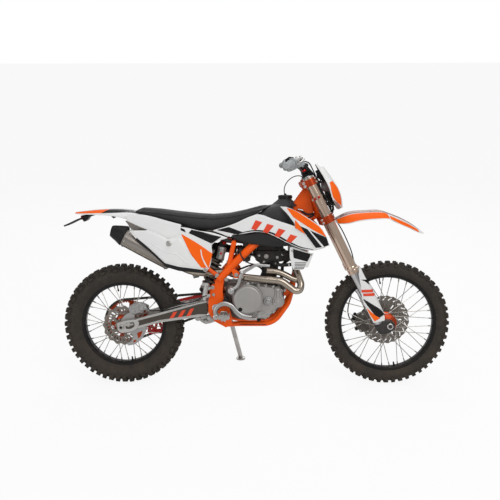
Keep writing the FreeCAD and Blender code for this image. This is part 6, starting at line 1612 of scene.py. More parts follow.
def radiators():
    """Cores with close fins between two tanks, and a white louvred guard with a dark panel outside each."""
    core, guard, dark, steel = shapes(4)
    slab(core, rounded([(178, 782), (198, 712), (236, 686), (252, 696), (266, 722), (278, 760), (262, 860),
        (204, 878)], 6), 92, 132, 1.5)
    slab(core, rounded([(200, 884), (264, 866), (270, 836), (192, 846)], 8), 86, 139, 4)
    slab(core, rounded([(188, 730), (262, 712), (252, 690), (235, 677), (196, 706)], 8), 86, 139, 4)
    fin, faces = block(66, 3, 1.0)
    z = np.arange(732, 838, 2.4)
    for y in (132, 92):
        core.copies(fin, faces, np.repeat(np.eye(3)[None], len(z), 0), np.stack([228 + (z - 780) * 0.06,
            np.full(len(z), y), z], -1))
    slab(guard, rounded([(186, 782), (200, 785), (297, 750), (314, 752), (300, 716), (284, 672), (262, 674),
        (257, 660), (205, 660), (195, 682), (184, 740)], 7), 141, 145, 1.2)
    slab(dark, rounded([(200, 774), (297, 746), (294, 732), (281, 704), (206, 724)], 4), 144.6, 146, 0.5)
    for index in range(5):
        top = 700 - index * 8
        slab(dark, rounded([(212, top), (276 - index * 3, top), (274 - index * 3, top - 3.2),
            (212, top - 3.2)], 1.4), 144.6, 145.8, 0.3)
    bolts(steel, [(198, 145, 764), (300, 145, 742), (214, 145, 668)], (0, 1, 0), 1.0)
    for z0 in (770, 668):
        slab(core, rounded(rect(205, z0 - 6, 250, z0 + 6), 4), 136, 142, 1)
    cylinder(core, (226, 112, 878), (226, 112, 894), 16, 36, 3)
    piece("radiator_cores", core, core_silver, mirrored=True, replaces=["radiators"], smooth=30)
    piece("radiator_guards", guard, white_plastic, mirrored=True, bevel=0.6)
    piece("guard_panels", dark, black_decal, mirrored=True)
    piece("guard_bolts", steel, plain_steel, mirrored=True)


# Suspension
def swingarm():
    """Box arms with dark sunk faces and bright edges, axle blocks with adjusters, slashes and the brace."""
    bright, dark, steel, marks, rubber = shapes(5)
    outline = rounded([(-262, 404), (-262, 484), (-303, 475), (-527, 414), (-655, 379), (-700, 366),
        (-700, 312), (-645, 328), (-527, 360), (-303, 394)], 8, 5)
    face = rounded([(-262, 408), (-262, 474), (-308, 464), (-527, 402), (-655, 368), (-680, 361), (-676, 331),
        (-645, 341), (-527, 374), (-310, 408)], 7, 5)
    block_line = rounded(at_rear([(-27, 22), (16, 34), (83, 42), (100, 22), (87, -9), (56, -27), (-2, -36),
        (-20, -22)]), 8, 5)
    window = rounded(at_rear([(24, 22), (70, 28), (74, 4), (48, -12), (24, -10)]), 7, 5)
    lug_line = rounded([(-268, 404), (-268, 480), (-225, 479), (-188, 464), (-186, 430), (-225, 415)], 8, 5)
    for side in (1, -1):
        slab(bright, outline, side * 80.5, side * 107, 3)
        slab(dark, face, side * 105, side * 108.4, 0.7)
        slab(bright, block_line, side * 80, side * 111, 3)
        slab(dark, window, side * 110, side * 111.6, 0.5)
        cylinder(steel, (-716, side * 108, 346), (-668, side * 108, 352), 7, 16)
        slab(bright, lug_line, side * 78.5, side * 94, 3)
        slab(dark, [(-270, 414), (-270, 466), (-206, 462), (-196, 438), (-228, 424)], side * 93, side * 95,
            0.7)
        for start, end in (((-300, 471), (-527, 411)), ((-527, 411), (-652, 376)), ((-305, 398), (-527, 364)),
                ((-527, 364), (-642, 332))):
            hose(bright, [(start[0], side * 105.4, start[1]), (end[0], side * 105.4, end[1])], 4.4, 6, 10)
        bolts(steel, [(-735, side * 111, 336)], (0, side, 0), 2.3, HEX_POINTS)
        cylinder(rubber, (-735, side * 118, 336), (-735, side * 126, 336), 8.5, 24)
        bolts(steel, [(-696, side * 111, 349)], (0, side, 0), 1.7, HEX_POINTS)
        cylinder(steel, (-672, side * 95, 338), (-640, side * 95, 344), 6, 12)
        cylinder(steel, (-775, side * 95, 326), (-784, side * 95, 324), 5.5, 6)
        for index in range(3):
            x = -470 + 46 * index
            slab(marks, [(x, 384 + 6 * index), (x + 22, 388 + 6 * index), (x + 44, 424 + 9 * index),
                (x + 22, 419 + 9 * index)], side * 108, side * 109, 0.3)
    slab(bright, rounded([(-402, 428), (-402, 454), (-372, 458), (-372, 424)], 7), -84, 84, 3)
    slab(bright, rounded([(-306, 416), (-330, 424), (-372, 432), (-372, 456), (-340, 462), (-290, 440)], 8),
        -34, 18, 3)
    hose(bright, [(-330, -96, 472), (-390, -98, 462), (-450, -98, 447), (-500, -98, 433)], 4.5, 40, 12)
    red = Shape()
    slab(red, rounded([(-262, 496), (-330, 484), (-470, 450), (-470, 436), (-330, 468), (-262, 476)], 3), 71,
        84, 1.5)
    slab(red, rounded([(-262, 404), (-330, 392), (-420, 378), (-420, 372), (-330, 384), (-262, 396)], 2), 71,
        84, 1)
    piece("chain_slider", red, guide_red)
    piece("swingarm_beams", bright, arm_bright, bevel=0.6, replaces=["swingarm"])
    piece("swingarm_faces", dark, arm_face)
    piece("swingarm_steel", steel, plain_steel, bevel=0.4)
    piece("swingarm_slashes", marks, slash_red)
    piece("swingarm_rubbers", rubber, black_plastic)
    pin = Shape()
    for side in (1, -1):
        pin.round(lathe([(19.5, 0), (19.5, 4), (17, 6), (12, 6), (11, 3), (0.01, 3)], (-215, side * 121, 447),
            (-215, side * 131, 447), 36))
        cylinder(pin, (-735, side * 60, 336), (-735, side * 82, 336), 15, 30, 2)
    cylinder(pin, (-735, -112, 336), (-735, 112, 336), 10, 28)
    piece("pivot_and_axle", pin, plain_steel)


SHOCK_TOP, SHOCK_FOOT = np.array([-178.0, -8.0, 806.0]), np.array([-318.0, -8.0, 400.0])
SHOCK_LENGTH = 429.5


def shock():
    """Damper with a threaded body, a helical spring with flattened ends, and the reservoir beside it."""
    way = (SHOCK_TOP - SHOCK_FOOT) / SHOCK_LENGTH
    u = np.cross(way, [0, 1.0, 0])
    body, coil, silver, red = shapes(4)
    turns = np.linspace(0, 8.2, 420)
    climb = np.interp(turns, [0, 0.9, 7.3, 8.2], [139, 144, 311, 316])
    angle = turns * 2 * math.pi
    helix = (SHOCK_FOOT + way * climb[:, None] + 31.5 * np.cos(angle)[:, None] * u
        + 31.5 * np.sin(angle)[:, None] * np.array([0, 1.0, 0]))
    coil.round(tube(helix, 5.8, 420, 12, smooth=False), caps=True)
    body.round(lathe([(0.01, 112), (26, 114), (38, 122), (39, 132), (30, 133), (30, 126), (10, 126)],
        SHOCK_FOOT, SHOCK_TOP, 44))
    thread = np.linspace(322, 352, 40)
    ripple = 25.2 + 0.8 * np.sign(np.sin(thread * 2.2))
    body.round(lathe([(24, 135), (24, 321), (39.5, 322), (39.5, 331), (34, 335), (34, 340), (26, 341)]
        + list(zip(ripple, thread + 20)) + [(25, 374), (27, 376), (27, 402), (18, 414), (14, 420)],
        SHOCK_FOOT, SHOCK_TOP, 44))
    silver.round(lathe([(10, 10), (10, 128)], SHOCK_FOOT, SHOCK_TOP, 28))
    for eye in (SHOCK_TOP, SHOCK_FOOT):
        cylinder(silver, eye + [0, -15.5, 0], eye + [0, 15.5, 0], 15, 32, 2)
    low, high = np.array([-194.0, -62.0, 706.0]), np.array([-180.0, -62.0, 776.0])
    silver.round(lathe([(0.01, 0), (16, 0), (20, 3), (22, 6), (22, 58), (24, 60), (24, 66), (20, 70),
        (0.01, 71)], low, high, 40))
    for index in range(4):
        silver.round(lathe([(22, 0), (23, 0.6), (23, 3.4), (22, 4)], low + (high - low) / 71 * (14
            + 10 * index), low + (high - low) / 71 * (18 + 10 * index), 40))
    slab(body, rounded([(-200, 774), (-160, 778), (-160, 800), (-196, 802)], 6), -64, -14, 3)
    cylinder(red, (-172, -62, 790), (-170, -62, 804), 10, 24, 2)
    red.round(lathe([(5, 0), (6, 1), (6, 9), (4, 10)], (-186, -84, 742), (-186, -90, 742), 20), caps=True)
    hose(body, [(-190, -62, 704), (-196, -60, 690), (-204, -44, 684), (-210, -30, 690)], 4, 40, 10)
    piece("spring", coil, shock_coil, replaces=["shock_absorber"], smooth=60)
    piece("damper_body", body, spring_black)
    piece("reservoir_and_eyes", silver, cast_silver)
    piece("damper_knobs", red, anodised_red)


def rear_brake():
    """Caliper, carrier with its pierced fin, master cylinder with hose, and the chain guide's lattice."""
    cast, steel, rubber, red = shapes(4)
    for low, high in ((-87, -70), (-58, -45)):
        slab(cast, rounded(at_rear([(34, 104), (60, 122), (100, 130), (146, 112), (146, 94), (104, 78),
            (66, 62), (44, 70)]), 8, 5), low, high, 3)
    slab(cast, rounded(at_rear([(70, 124), (112, 131), (146, 113), (140, 98), (90, 104)]), 6), -72, -56, 2)
    slab(cast, rounded(at_rear([(50, 106), (64, 116), (96, 122), (96, 108), (60, 96)]), 5), -92, -84, 2)
    slab(cast, rounded(at_rear([(104, 112), (140, 100), (138, 94), (104, 84), (90, 90)]), 5), -90, -84, 2)
    for x, z in ((62, 84), (110, 100)):
        x, z = at_rear([(x, z)])[0]
        cylinder(cast, (x, -86, z), (x, -92, z), 13, 32, 2)
        bolts(steel, [(x, -92, z)], (0, -1, 0), 1.0, HEX_POINTS)
    fin = at_rear([(-20, 14), (10, 56), (44, 78), (66, 84), (70, 60), (66, 20), (88, 2), (136, 5), (133, -22),
        (110, -72), (70, -104), (30, -113), (20, -100), (50, -84), (60, -60), (42, -38), (10, -30),
        (-16, -20)])
    slab(cast, rounded(fin, 6, 4), -77, -71.5, 1)
    for hole in ([(80, -40), (112, -28), (100, -62), (86, -72)], [(64, -78), (80, -84), (66, -94),
            (56, -92)]):
        slab(red, rounded(at_rear(hole), 5), -77.6, -76.4, 0.2)
    bolts(steel, [(x, -78, z) for x, z in at_rear([(54, 70), (122, -8)])], (0, -1, 0), 1.2, HEX_POINTS)
    piece("rear_caliper_cast", cast, lever_polish, bevel=0.6, replaces=["rear_caliper"])
    piece("carrier_openings", red, hub_orange)
    master = Shape()
    master.round(lathe([(0.01, 0), (9, 0), (12, 4), (12, 22), (14, 24), (14, 78), (17, 80), (17, 92),
        (14, 96), (0.01, 97)], (-276, -140, 492), (-262, -140, 590), 36))
    slab(master, rounded([(-288, 506), (-246, 508), (-242, 526), (-286, 526)], 6), -150, -126, 3)
    slab(master, rounded([(-282, 548), (-242, 550), (-240, 564), (-280, 564)], 6), -148, -126, 3)
    slab(master, rounded([(-292, 568), (-262, 574), (-252, 590), (-288, 586)], 5), -152, -128, 3)
    bolts(steel, [(-250, -150, 516), (-248, -148, 557)], (0, -1, 0), 1.2)
    piece("rear_master", master, cast_silver, bevel=0.4, replaces=["rear_master_cylinder"])
    hose(rubber, [(-262, -152, 520), (-285, -152, 512), (-310, -130, 492), (-350, -104, 474),
        (-400, -102, 464), (-460, -102, 447), (-530, -102, 427), (-580, -98, 430), (-600, -84, 452)], 3.2,
        140, 10)
    cylinder(rubber, (-258, -140, 596), (-257, -140, 606), 14, 32, 2)
    piece("rear_brake_line", rubber, hose_rubber)
    piece("rear_brake_bolts", steel, plain_steel)
    guide = Shape()

    def bar(p, q, width, low, high):
        p, q = np.array(at_rear([p])[0]), np.array(at_rear([q])[0])
        n = np.array([-(q - p)[1], (q - p)[0]]) / np.linalg.norm(q - p) * width * 0.72
        slab(guide, [p - n, q - n, q + n, p + n], low, high, 1)
    for low, high in ((54.5, 59), (75, 79.5)):
        for p, q, width in (((118, -10), (214, 26), 13), ((124, -66), (216, -58), 14),
                ((126, -66), (134, -10), 12), ((212, -60), (212, 32), 12), ((130, -14), (160, -60), 9),
                ((160, -60), (176, 12), 9), ((176, 12), (206, -56), 9), ((172, 16), (200, 44), 14)):
            bar(p, q, width, low, high)
    bar((124, -72), (216, -64), 9, 55, 79)
    bar((128, -22), (200, 4), 8, 55, 79)
    piece("chain_guide_lattice", guide, guide_red, bevel=0.5, replaces=["chain_guide"])


def linkage():
    """The rocker, the pull rods with their round ends, and the bolts that cross them."""
    shape, steel = Shape(), Shape()
    for low, high in ((8, 18), (-34, -24)):
        slab(shape, rounded([(-372, 456), (-372, 434), (-345, 385), (-322, 364), (-285, 338), (-262, 344),
            (-262, 368), (-306, 416), (-330, 424)], 9, 5), low, high, 2.5)
    for y in (-46, 30):
        slab(shape, rounded([(-288, 372), (-274, 340), (-250, 344), (-190, 366), (-166, 382), (-178, 394),
            (-250, 370)], 8, 5), y, y + 10, 2)
        cylinder(shape, (-274, y - 3, 356), (-274, y + 13, 356), 16, 32, 2)
    for x, z, y in ((-274, 356, 54), (-318, 400, 42), (-178, 380, 54)):
        cylinder(steel, (x, -y - 8, z), (x, y, z), 7, 20)
        bolts(steel, [(x, -y - 8, z)], (0, -1, 0), 1.6, HEX_POINTS)
        cylinder(shape, (x, -y - 2, z), (x, -y + 10, z), 14, 30, 2)
    slab(shape, rounded([(-330, 372), (-326, 392), (-250, 396), (-204, 416), (-196, 402), (-244, 376)], 8, 5),
        -70, -58, 3)
    for x, z in ((-317, 379), (-254, 382)):
        cylinder(shape, (x, -54, z), (x, -76, z), 16, 32, 3)
        bolts(steel, [(x, -76, z)], (0, -1, 0), 1.5, HEX_POINTS)
    piece("linkage_parts", shape, cast_silver, bevel=0.5, replaces=["suspension_linkage"])
    piece("linkage_bolts", steel, plain_steel)


# Pedals, levers and rests
def oval(shape, points, wide, thick, count=80, ends=(1.0, 1.0)):
    """A flattened bar along a smooth curve: ellipses wide in the side view and thick across it."""
    path = line(points, count)
    slope = np.gradient(path, axis=0)
    slope = unit(slope)
    across = np.cross(slope, (0.0, 1.0, 0.0))
    across = unit(across)
    third = np.cross(across, slope)
    a = circle(20)
    size = np.linspace(ends[0], ends[1], count)[:, None, None] / 2
    rings = path[:, None] + size * (wide * np.cos(a)[None, :, None] * across[:, None]
        + thick * np.sin(a)[None, :, None] * third[:, None])
    return shape.grid(rings, around=True, caps=True)


def controls_below():
    """Brake pedal, gear lever, kick lever, and the toothed footpegs on their brackets."""
    pedal = Shape()
    oval(pedal, [(-212, -160, 412), (-214, -161, 438), (-198, -161, 464), (-166, -161, 476),
        (-132, -161, 466), (-104, -161, 436), (-78, -161, 414), (-42, -161, 402), (-20, -161, 399)], 31, 15,
        120, (0.8, 0.9))
    cylinder(pedal, (-214, -150, 404), (-214, -170, 404), 15, 32, 2)
    slab(pedal, rounded(rect(-38, 391, 10, 402), 3), -181, -147, 2)
    for index in range(6):
        slab(pedal, [(-34 + 8 * index, 401), (-30 + 8 * index, 401), (-31 + 8 * index, 406),
            (-33 + 8 * index, 406)], -180, -148, 0.4)
    piece("pedal", pedal, lever_polish, replaces=["brake_pedal"], smooth=50)
    kick = Shape()
    oval(kick, [(-118, -152, 556), (-98, -156, 572), (-84, -160, 604), (-76, -163, 634), (-58, -166, 652),
        (-28, -167, 670), (4, -168, 688), (40, -168, 687), (78, -168, 684)], 18, 14, 120, (1.1, 0.85))
    cylinder(kick, (-130, -139, 546), (-130, -164, 546), 18, 36, 3)
    cylinder(kick, (-74, -158, 646), (-70, -176, 650), 10, 28, 2)
    bolts(kick, [(-130, -164, 546)], (0, -1, 0), 1.8, HEX_POINTS)
    piece("kick_lever", kick, lever_polish, replaces=["kick_starter"], smooth=50)
    shift = Shape()
    cylinder(shift, (-80, 82, 408), (-80, 133, 408), 8, 24)
    cylinder(shift, (-80, 120, 408), (-80, 136, 408), 14, 30, 2)
    oval(shift, [(-80, 128, 408), (-40, 130, 408), (20, 132, 412), (62, 131, 424)], 14, 9, 60)
    shift.round(lathe([(0.01, 0), (7, 0)] + [(7.4 + 0.5 * (k % 2), 2 + 2 * k) for k in range(16)]
        + [(0.01, 36)], (62, 130, 424), (62, 168, 426), 24))
    bolts(shift, [(-92, 128, 414)], (-0.3, 1, 0), 0.9)
    piece("gear_lever", shift, lever_polish, replaces=["shift_lever"], smooth=50)
    pegs, steel = Shape(), Shape()
    for side in (1, -1):
        span = lambda low, high: sorted((side * low, side * high))
        slab(pegs, rounded([(-190, 430), (-150, 430), (-148, 386), (-188, 386)], 8), *span(122, 136), 3)
        for x0, x1 in ((-202, -195), (-144, -137), (-173, -167)):
            slab(pegs, rounded(rect(x0, 400, x1, 419), 2), *span(138, 203), 1)
        slab(pegs, rounded([(-200, 405), (-140, 405), (-148, 398), (-190, 398)], 3), *span(138, 203), 1)
        for y in (140, 168, 197):
            slab(pegs, rounded(rect(-200, 402, -139, 416), 2), *span(y, y + 6), 1)
        for x0 in (-202, -144, -173):
            for y in range(142, 204, 10):
                slab(pegs, [(x0, 418), (x0 + 7, 418), (x0 + 5, 425), (x0 + 2, 425)], *span(y, y + 4), 0.6)
        slab(pegs, [(-206, 408), (-196, 396), (-186, 400), (-180, 386), (-170, 392), (-160, 384), (-154, 398),
            (-142, 396), (-134, 410), (-140, 422), (-148, 416), (-156, 426), (-164, 416), (-172, 427),
            (-180, 416), (-188, 425), (-196, 414)], *span(198, 204), 1)
        cylinder(steel, (-184, side * 131, 410), (-156, side * 131, 410), 6, 16)
        coil = np.linspace(0, 8 * math.pi, 160)
        hose(steel, np.stack([-182 + coil * 0.9, side * 134 + 8.5 * np.cos(coil), 410 + 8.5 * np.sin(coil)],
            -1), 1.3, 160, 6)
    piece("footrests", pegs, plain_steel, bevel=0.4, replaces=["footpegs"])
    piece("footrest_springs", steel, spring_black)


# Frame dressing
def frame_details():
    """Weld beads, brackets and bolts on the frame, the orange stay behind it, rubber caps, and a dark block
    of painted shade.
    """
    weld, lugs, steel, rubber = shapes(4)

    def bead(points, radius=2.6):
        path = line(points, 70)
        size = radius * (1 + 0.22 * np.sin(np.linspace(0, 60, 70)))
        weld.round(tube(path, size, 70, 8, smooth=False), caps=True)
    for side in (1, -1):
        bead([(-168, side * 122, 654), (-152, side * 124, 640), (-140, side * 122, 632)])
        bead([(-166, side * 110, 672), (-150, side * 118, 676), (-134, side * 112, 670)])
        bead([(100, side * 96, 868), (118, side * 84, 892), (130, side * 62, 896)])
        bead([(-132, side * 117, 356), (-124, side * 104, 362), (-122, side * 92, 352)])
        bead([(262, side * 32, 1084), (230, side * 33.5, 1040), (203, side * 33, 995), (198, side * 33, 934)],
            2.2)
        bead([(200, side * 33, 930), (240, side * 33.5, 916), (276, side * 33, 907)], 2.2)
        slab(lugs, rounded([(-134, 664), (-106, 660), (-84, 640), (-88, 612), (-112, 610)], 9), side * 118,
            side * 134, 3)
        slab(lugs, rounded([(-246, 566), (-246, 500), (-224, 496), (-224, 580)], 8), side * 108, side * 124,
            3)
        bolts(steel, [(-102, side * 134, 630), (-232, side * 124, 560), (-158, side * 122.5, 605),
            (-226, side * 118, 520)], (0, side, 0), 1.6, HEX_POINTS)
        slab(lugs, rounded([(128, 520), (170, 500), (196, 520), (190, 560), (150, 566)], 10), side * 52,
            side * 60, 2)
        bolts(steel, [(160, side * 60, 536)], (0, side, 0), 1.5, HEX_POINTS)
        hose(lugs, [(-203, side * 106, 622), (-240, side * 103, 648), (-268, side * 101, 672)], 11.5, 24, 24)
        bolts(steel, [(-206, side * 117, 624)], (0, side, 0), 1.7, HEX_POINTS)
    cylinder(rubber, (-160, -96, 492), (-160, -150, 492), 13, 30, 3)
    hose(rubber, [(252, -40, 972), (270, -43, 958), (290, -44, 952), (318, -42, 956)], 5.5, 40, 12)
    hose(rubber, [(262, -38, 924), (286, -44, 932), (312, -44, 944), (322, -40, 952)], 5, 40, 12)
    cylinder(steel, (232, -44, 980), (262, -44, 972), 6, 20)
    hose(rubber, [(-86, -108, 352), (-20, -108, 352), (60, -104, 352)], 2.2, 30, 8)
    # Painted shade: a dark block under the seat's front, above the engine, filling a gap that lies in shadow;
    # it stands for no part.
    slab(rubber, rounded([(-130, 838), (-126, 800), (-64, 790), (-52, 812), (-60, 838)], 6), -58, 58, 3)
    piece("frame_welds", weld, frame_orange, smooth=60)
    piece("frame_lugs", lugs, frame_orange, bevel=0.6)
    piece("frame_bolts", steel, plain_steel)
    piece("frame_rubbers_and_painted_shade", rubber, hose_rubber)


# Tank and its cap
def tank():
    """The tank's shell as rings along its length, each a rounded box, with the flared neck and ribbed cap."""
    x = np.array([-16.0, -8, 10, 40, 70, 100, 124, 150, 176, 196, 206, 211])
    top = np.interp(x, [-18, 11, 60, 84, 123, 140, 190, 206, 213], [905, 949, 985, 1003, 1012, 1020, 1014,
        996, 962])
    low = np.interp(x, [-18, 14, 100, 204, 213], [892, 862, 850, 876, 940])
    half = np.interp(x, [-20, 10, 40, 120, 190, 206, 213], [86, 98, 108, 108, 92, 80, 60])
    fine = line(np.stack([x, top, low, half], -1), 70)
    fine[0, 1:3], fine[-1, 1:3] = ([899, 896], [954, 946])
    a = circle(60)
    c, s = np.cos(a), np.sin(a)
    flat_side = np.sign(c) * np.abs(c) ** 0.45
    rise = np.sign(s) * np.abs(s) ** 0.62
    middle, reach = (fine[:, 1] + fine[:, 2])[:, None] / 2, (fine[:, 1] - fine[:, 2])[:, None] / 2
    narrow = 1 - 0.34 * np.clip(rise, 0, 1)[None, :] ** 3
    rings = np.stack([fine[:, :1] + 0 * c, fine[:, 3:] * flat_side * narrow, middle + reach * rise], -1)
    shell = Shape().round(rings, caps=True)
    piece("tank_shell", shell, tank_plastic, replaces=["fuel_tank"], smooth=60)
    neck = Shape().round(lathe([(74, 0), (66, 10), (54, 20), (44, 28), (38.5, 33), (36, 38), (35, 40),
        (30, 40)], (162, 0, 998), (162, 0, 1050), 64))
    piece("tank_neck", neck, tank_plastic, smooth=60)
    angle = circle(160)
    lobe = np.clip(np.sin(angle * 10) * 2.2, -1, 1)
    profile = [(36.5, 1036, 0), (38.5, 1037.5, 0.3), (38.8, 1040, 0.7), (38.8, 1051, 0.7), (36.8, 1054, 0.4),
        (32, 1055.2, 0), (24, 1055.8, 0), (22, 1054.6, 0), (10, 1055, 0), (7, 1058, 0), (6.5, 1064, 0),
        (0.01, 1064.5, 0)]
    r, z, w = (np.array(v)[:, None] for v in zip(*profile))
    ring = r + w * (lobe[None, :] * 1.8 - 1.0)
    cap = np.stack([164 + ring * np.cos(angle), ring * np.sin(angle), z + 0 * ring], -1)
    piece("cap_ribbed", Shape().grid(cap[:, ::-1], around=True), black_plastic, replaces=["fuel_cap"],
        smooth=35)


# Tail
def tail():
    """A smoked lamp housing with its lens, and a thin curved flap that carries the plate."""
    housing = Shape()
    slab(housing, rounded([(-950, 945), (-912, 946), (-918, 932), (-930, 915), (-944, 908), (-952, 915)], 5,
        6), -36, 36, 8)
    slab(housing, rounded([(-800, 946), (-766, 942), (-782, 926)], 3), -30, 30, 1)
    piece("lamp_housing", housing, spring_black, bevel=0.8, replaces=["tail_lamp"], slot="plastic_black")
    lens = slab(Shape(), rounded([(-963, 942), (-955, 944), (-955, 918), (-961, 922)], 3), -31, 31, 2)
    piece("lamp_lens_red", lens, lamp_red)
    path = line([(-1050, 0, 887), (-1020, 0, 900), (-985, 0, 917), (-946, 0, 932), (-890, 0, 947)],
        40)[:, [0, 2]]
    across = np.gradient(path, axis=0)[:, ::-1] * [-1, 1]
    across = unit(across)
    flap = slab(Shape(), np.concatenate([path - across * 4.0, (path + across * 4.0)[::-1]]), -56, 56, 1.2)
    piece("plate_flap", flap, black_plastic, replaces=["plate_holder"], smooth=50)


pipes()
muffler()
engine_cases()
top_end()
carburettor()
radiators()
swingarm()
shock()
rear_brake()
linkage()
controls_below()
frame_details()
tank()
tail()

# Seat
SEAT_VOXEL, SEAT_SWELL, SEAT_HELD = 0.0058, 0.006, 22.0
CLOTH_FRAMES = 20


def seat():
    """The seat: a closed crowned form, remeshed, swelled by cloth pressure, its foot held, then subdivided.

    Each ring is a power curve over the half width, its middle between top and foot. Seams follow after.
    """
    x = np.linspace(-657, 90, 90)
    top = np.interp(x, [-662, -648, -634, -524, -414, -304, -233, -139, -57, 25, 76, 92],
        [968, 978, 981, 973, 959, 948, 944, 951, 968, 990, 1002, 1004])
    low = np.interp(x, [-662, -647, -596, -548, -500, -404, -347, -303, -216, -163, -111, 7, 60, 92],
        [965, 961, 947, 934, 920, 892, 869, 865, 865, 874, 893, 955, 985, 1001])
    half = np.interp(x, [-664, -640, -600, -430, -230, -60, 60, 92], [44, 70, 84, 101, 101, 84, 56, 36])
    a = circle(48)
    c, s = np.cos(a), np.sin(a)
    lean_in = 1 - 0.1 * np.clip(s, 0, 1)
    rings = np.stack([x[:, None] + 0 * c, half[:, None] * np.sign(c) * np.abs(c) ** 0.55 * lean_in,
        (top + low)[:, None] / 2 + (top - low)[:, None] / 2 * np.sign(s) * np.abs(s) ** 0.6], -1)
    raw = piece("seat_form", Shape().round(rings, caps=True), seat_vinyl, smooth=180, slot="")
    skin_maker = raw.modifiers.new("voxels", "REMESH")
    skin_maker.mode = "VOXEL"
    skin_maker.voxel_size = SEAT_VOXEL
    mesh = bpy.data.meshes.new_from_object(raw.evaluated_get(bpy.context.evaluated_depsgraph_get()))
    bpy.data.objects.remove(raw)
    cover = bpy.data.objects.new("seat_cover", mesh)
    link(cover)
    start = np.empty(len(mesh.vertices) * 3, np.float32)
    mesh.vertices.foreach_get("co", start)
    start = start.reshape(-1, 3)
    cloth = cover.modifiers.new("pressure", "CLOTH")
    cloth.settings.quality = 5
    cloth.settings.use_pressure = True
    cloth.settings.uniform_pressure_force = 4.0
    cloth.settings.effector_weights.gravity = 0.0
    cloth.point_cache.frame_start, cloth.point_cache.frame_end = 1, CLOTH_FRAMES
    for frame_number in range(1, CLOTH_FRAMES + 1):
        bpy.context.scene.frame_set(frame_number)
    swelled = cover.evaluated_get(bpy.context.evaluated_depsgraph_get()).data
    end = np.empty(len(mesh.vertices) * 3, np.float32)
    swelled.vertices.foreach_get("co", end)
    cover.modifiers.remove(cloth)
    bpy.context.scene.frame_set(1)
    move = end.reshape(-1, 3) - start
    far = np.linalg.norm(move, axis=1)[:, None]
    upright = (start / MM - SHIFT) @ PARK
    foot = np.interp(upright[:, 0], x, low)
    held = np.clip((upright[:, 2] - foot) / SEAT_HELD, 0, 1)[:, None]
    move *= np.minimum(1, SEAT_SWELL / np.maximum(far, 1e-09)) * held
    start = (start + move).astype(np.float32)
    mesh.vertices.foreach_set("co", start.ravel())
    mesh.polygons.foreach_set("use_smooth", np.ones(len(mesh.polygons), bool))
    mesh.materials.clear()
    mesh.materials.append(seat_vinyl)
    finer = cover.modifiers.new("round", "SUBSURF")
    finer.levels = finer.render_levels = 1
    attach(cover, "chassis")
    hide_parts("seat")
    seam = Shape()
    upright = (start / MM - SHIFT) @ PARK
    for side in (1, -1):
        outer = upright[upright[:, 1] * side > 0]
        places = []
        for at in np.linspace(-630, 60, 60):
            near = outer[np.abs(outer[:, 0] - at) < 5]
            height = near[:, 2].max()
            edge = near[np.abs(near[:, 2] - (height - 20)) < 5]
            places.append((at, side * (np.abs(edge[:, 1]).max() + 0.2), height - 20))
        hose(seam, places, 1.5, 160, 8)
    piece("seat_seams", seam, black_plastic, slot="seat_black", smooth=60)


seat()

# Camera, floor and light
EYE = np.array([28.0, -4106.0, 1226.0])
VIEW_PITCH = math.radians(6.61)
VIEW_YAW = math.radians(0.81)
LENS = 53.53


def camera():
    """The photograph's view of the upright motorcycle, leaned with it: columns right, up and backwards."""
    cp, sp, cy, sy = math.cos(VIEW_PITCH), math.sin(VIEW_PITCH), math.cos(VIEW_YAW), math.sin(VIEW_YAW)
    right = np.array([cy, sy, 0.0])
    ahead = np.array([-sy * cp, cy * cp, -sp])
    up = np.cross(right, ahead)
    turn = PARK @ np.stack([right, up, -ahead], 1)
    data = bpy.data.cameras.new("camera")
    data.lens = LENS
    data.sensor_width = 36.0
    data.sensor_fit = "HORIZONTAL"
    data.clip_end = 60.0
    obj = bpy.data.objects.new("camera", data)
    link(obj)
    obj.matrix_world = Matrix.Translation(Vector(park(EYE))) @ Matrix(turn.tolist()).to_4x4()
    bpy.context.scene.camera = obj


def lamp(name, place, target, width, height, power):
    data = bpy.data.lights.new(name, "AREA")
    data.shape = "RECTANGLE"
    data.size, data.size_y = width, height
    data.energy = power
    obj = bpy.data.objects.new(name, data)
    link(obj)
    obj.location = place
    obj.rotation_euler = (Vector(target) - Vector(place)).to_track_quat("-Z", "Y").to_euler()


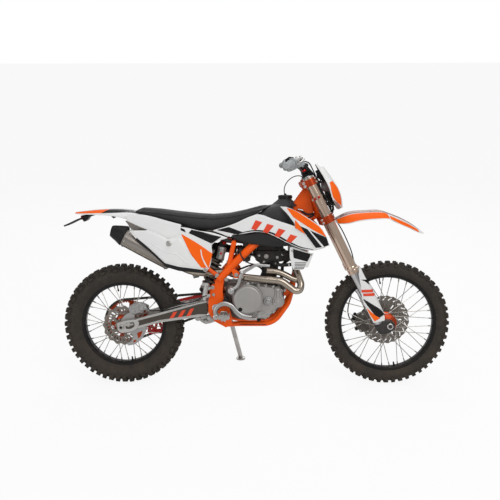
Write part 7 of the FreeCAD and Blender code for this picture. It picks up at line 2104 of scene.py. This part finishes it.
def stage():
    """A pale floor that shows white to the camera and keeps the shadow, under a white world."""
    material = bpy.data.materials.new("floor")
    material.use_nodes = True
    tree = material.node_tree
    tree.nodes.clear()
    shade = put(tree, "ShaderNodeBsdfDiffuse", {"Color": (0.86, 0.86, 0.86, 1)})
    glow = put(tree, "ShaderNodeEmission", {"Color": (1, 1, 1, 1), "Strength": 1.0})
    path = put(tree, "ShaderNodeLightPath")
    part = math_node(tree, "MULTIPLY", path.outputs["Is Camera Ray"], 0.9)
    both = put(tree, "ShaderNodeMixShader", {0: part})
    tree.links.new(shade.outputs[0], both.inputs[1])
    tree.links.new(glow.outputs[0], both.inputs[2])
    tree.links.new(both.outputs[0], put(tree, "ShaderNodeOutputMaterial").inputs[0])
    size = 40.0
    mesh = bpy.data.meshes.new("floor")
    mesh.from_pydata([(-size, -size, 0), (size, -size, 0), (size, size, 0), (-size, size, 0)], [],
        [(0, 1, 2, 3)])
    mesh.materials.append(material)
    floor = bpy.data.objects.new("floor", mesh)
    link(floor)
    world = bpy.data.worlds.new("studio")
    world.use_nodes = True
    tree = world.node_tree
    tree.nodes.clear()
    path = put(tree, "ShaderNodeLightPath")
    seen = math_node(tree, "ADD", path.outputs["Is Camera Ray"], path.outputs["Is Transmission Ray"], True)
    strength = put(tree, "ShaderNodeMapRange", {"Value": seen, "To Min": 0.45, "To Max": 1.0}).outputs[0]
    back = put(tree, "ShaderNodeBackground", {"Color": (1, 1, 1, 1), "Strength": strength})
    tree.links.new(back.outputs[0], put(tree, "ShaderNodeOutputWorld").inputs[0])
    bpy.context.scene.world = world
    bpy.context.scene.view_settings.view_transform = "Standard"


camera()
stage()
lamp("key", (1.6, -3.2, 3.4), (0, 0, 0.5), 2.6, 2.0, 62)
lamp("fill", (-3.0, -3.0, 1.6), (-0.2, 0, 0.5), 2.4, 2.0, 22)
lamp("rim", (0.4, 3.4, 3.0), (0, 0, 0.6), 3.0, 1.6, 48)
lamp("top", (0, 0, 3.8), (0, 0, 0), 3.2, 2.2, 30)
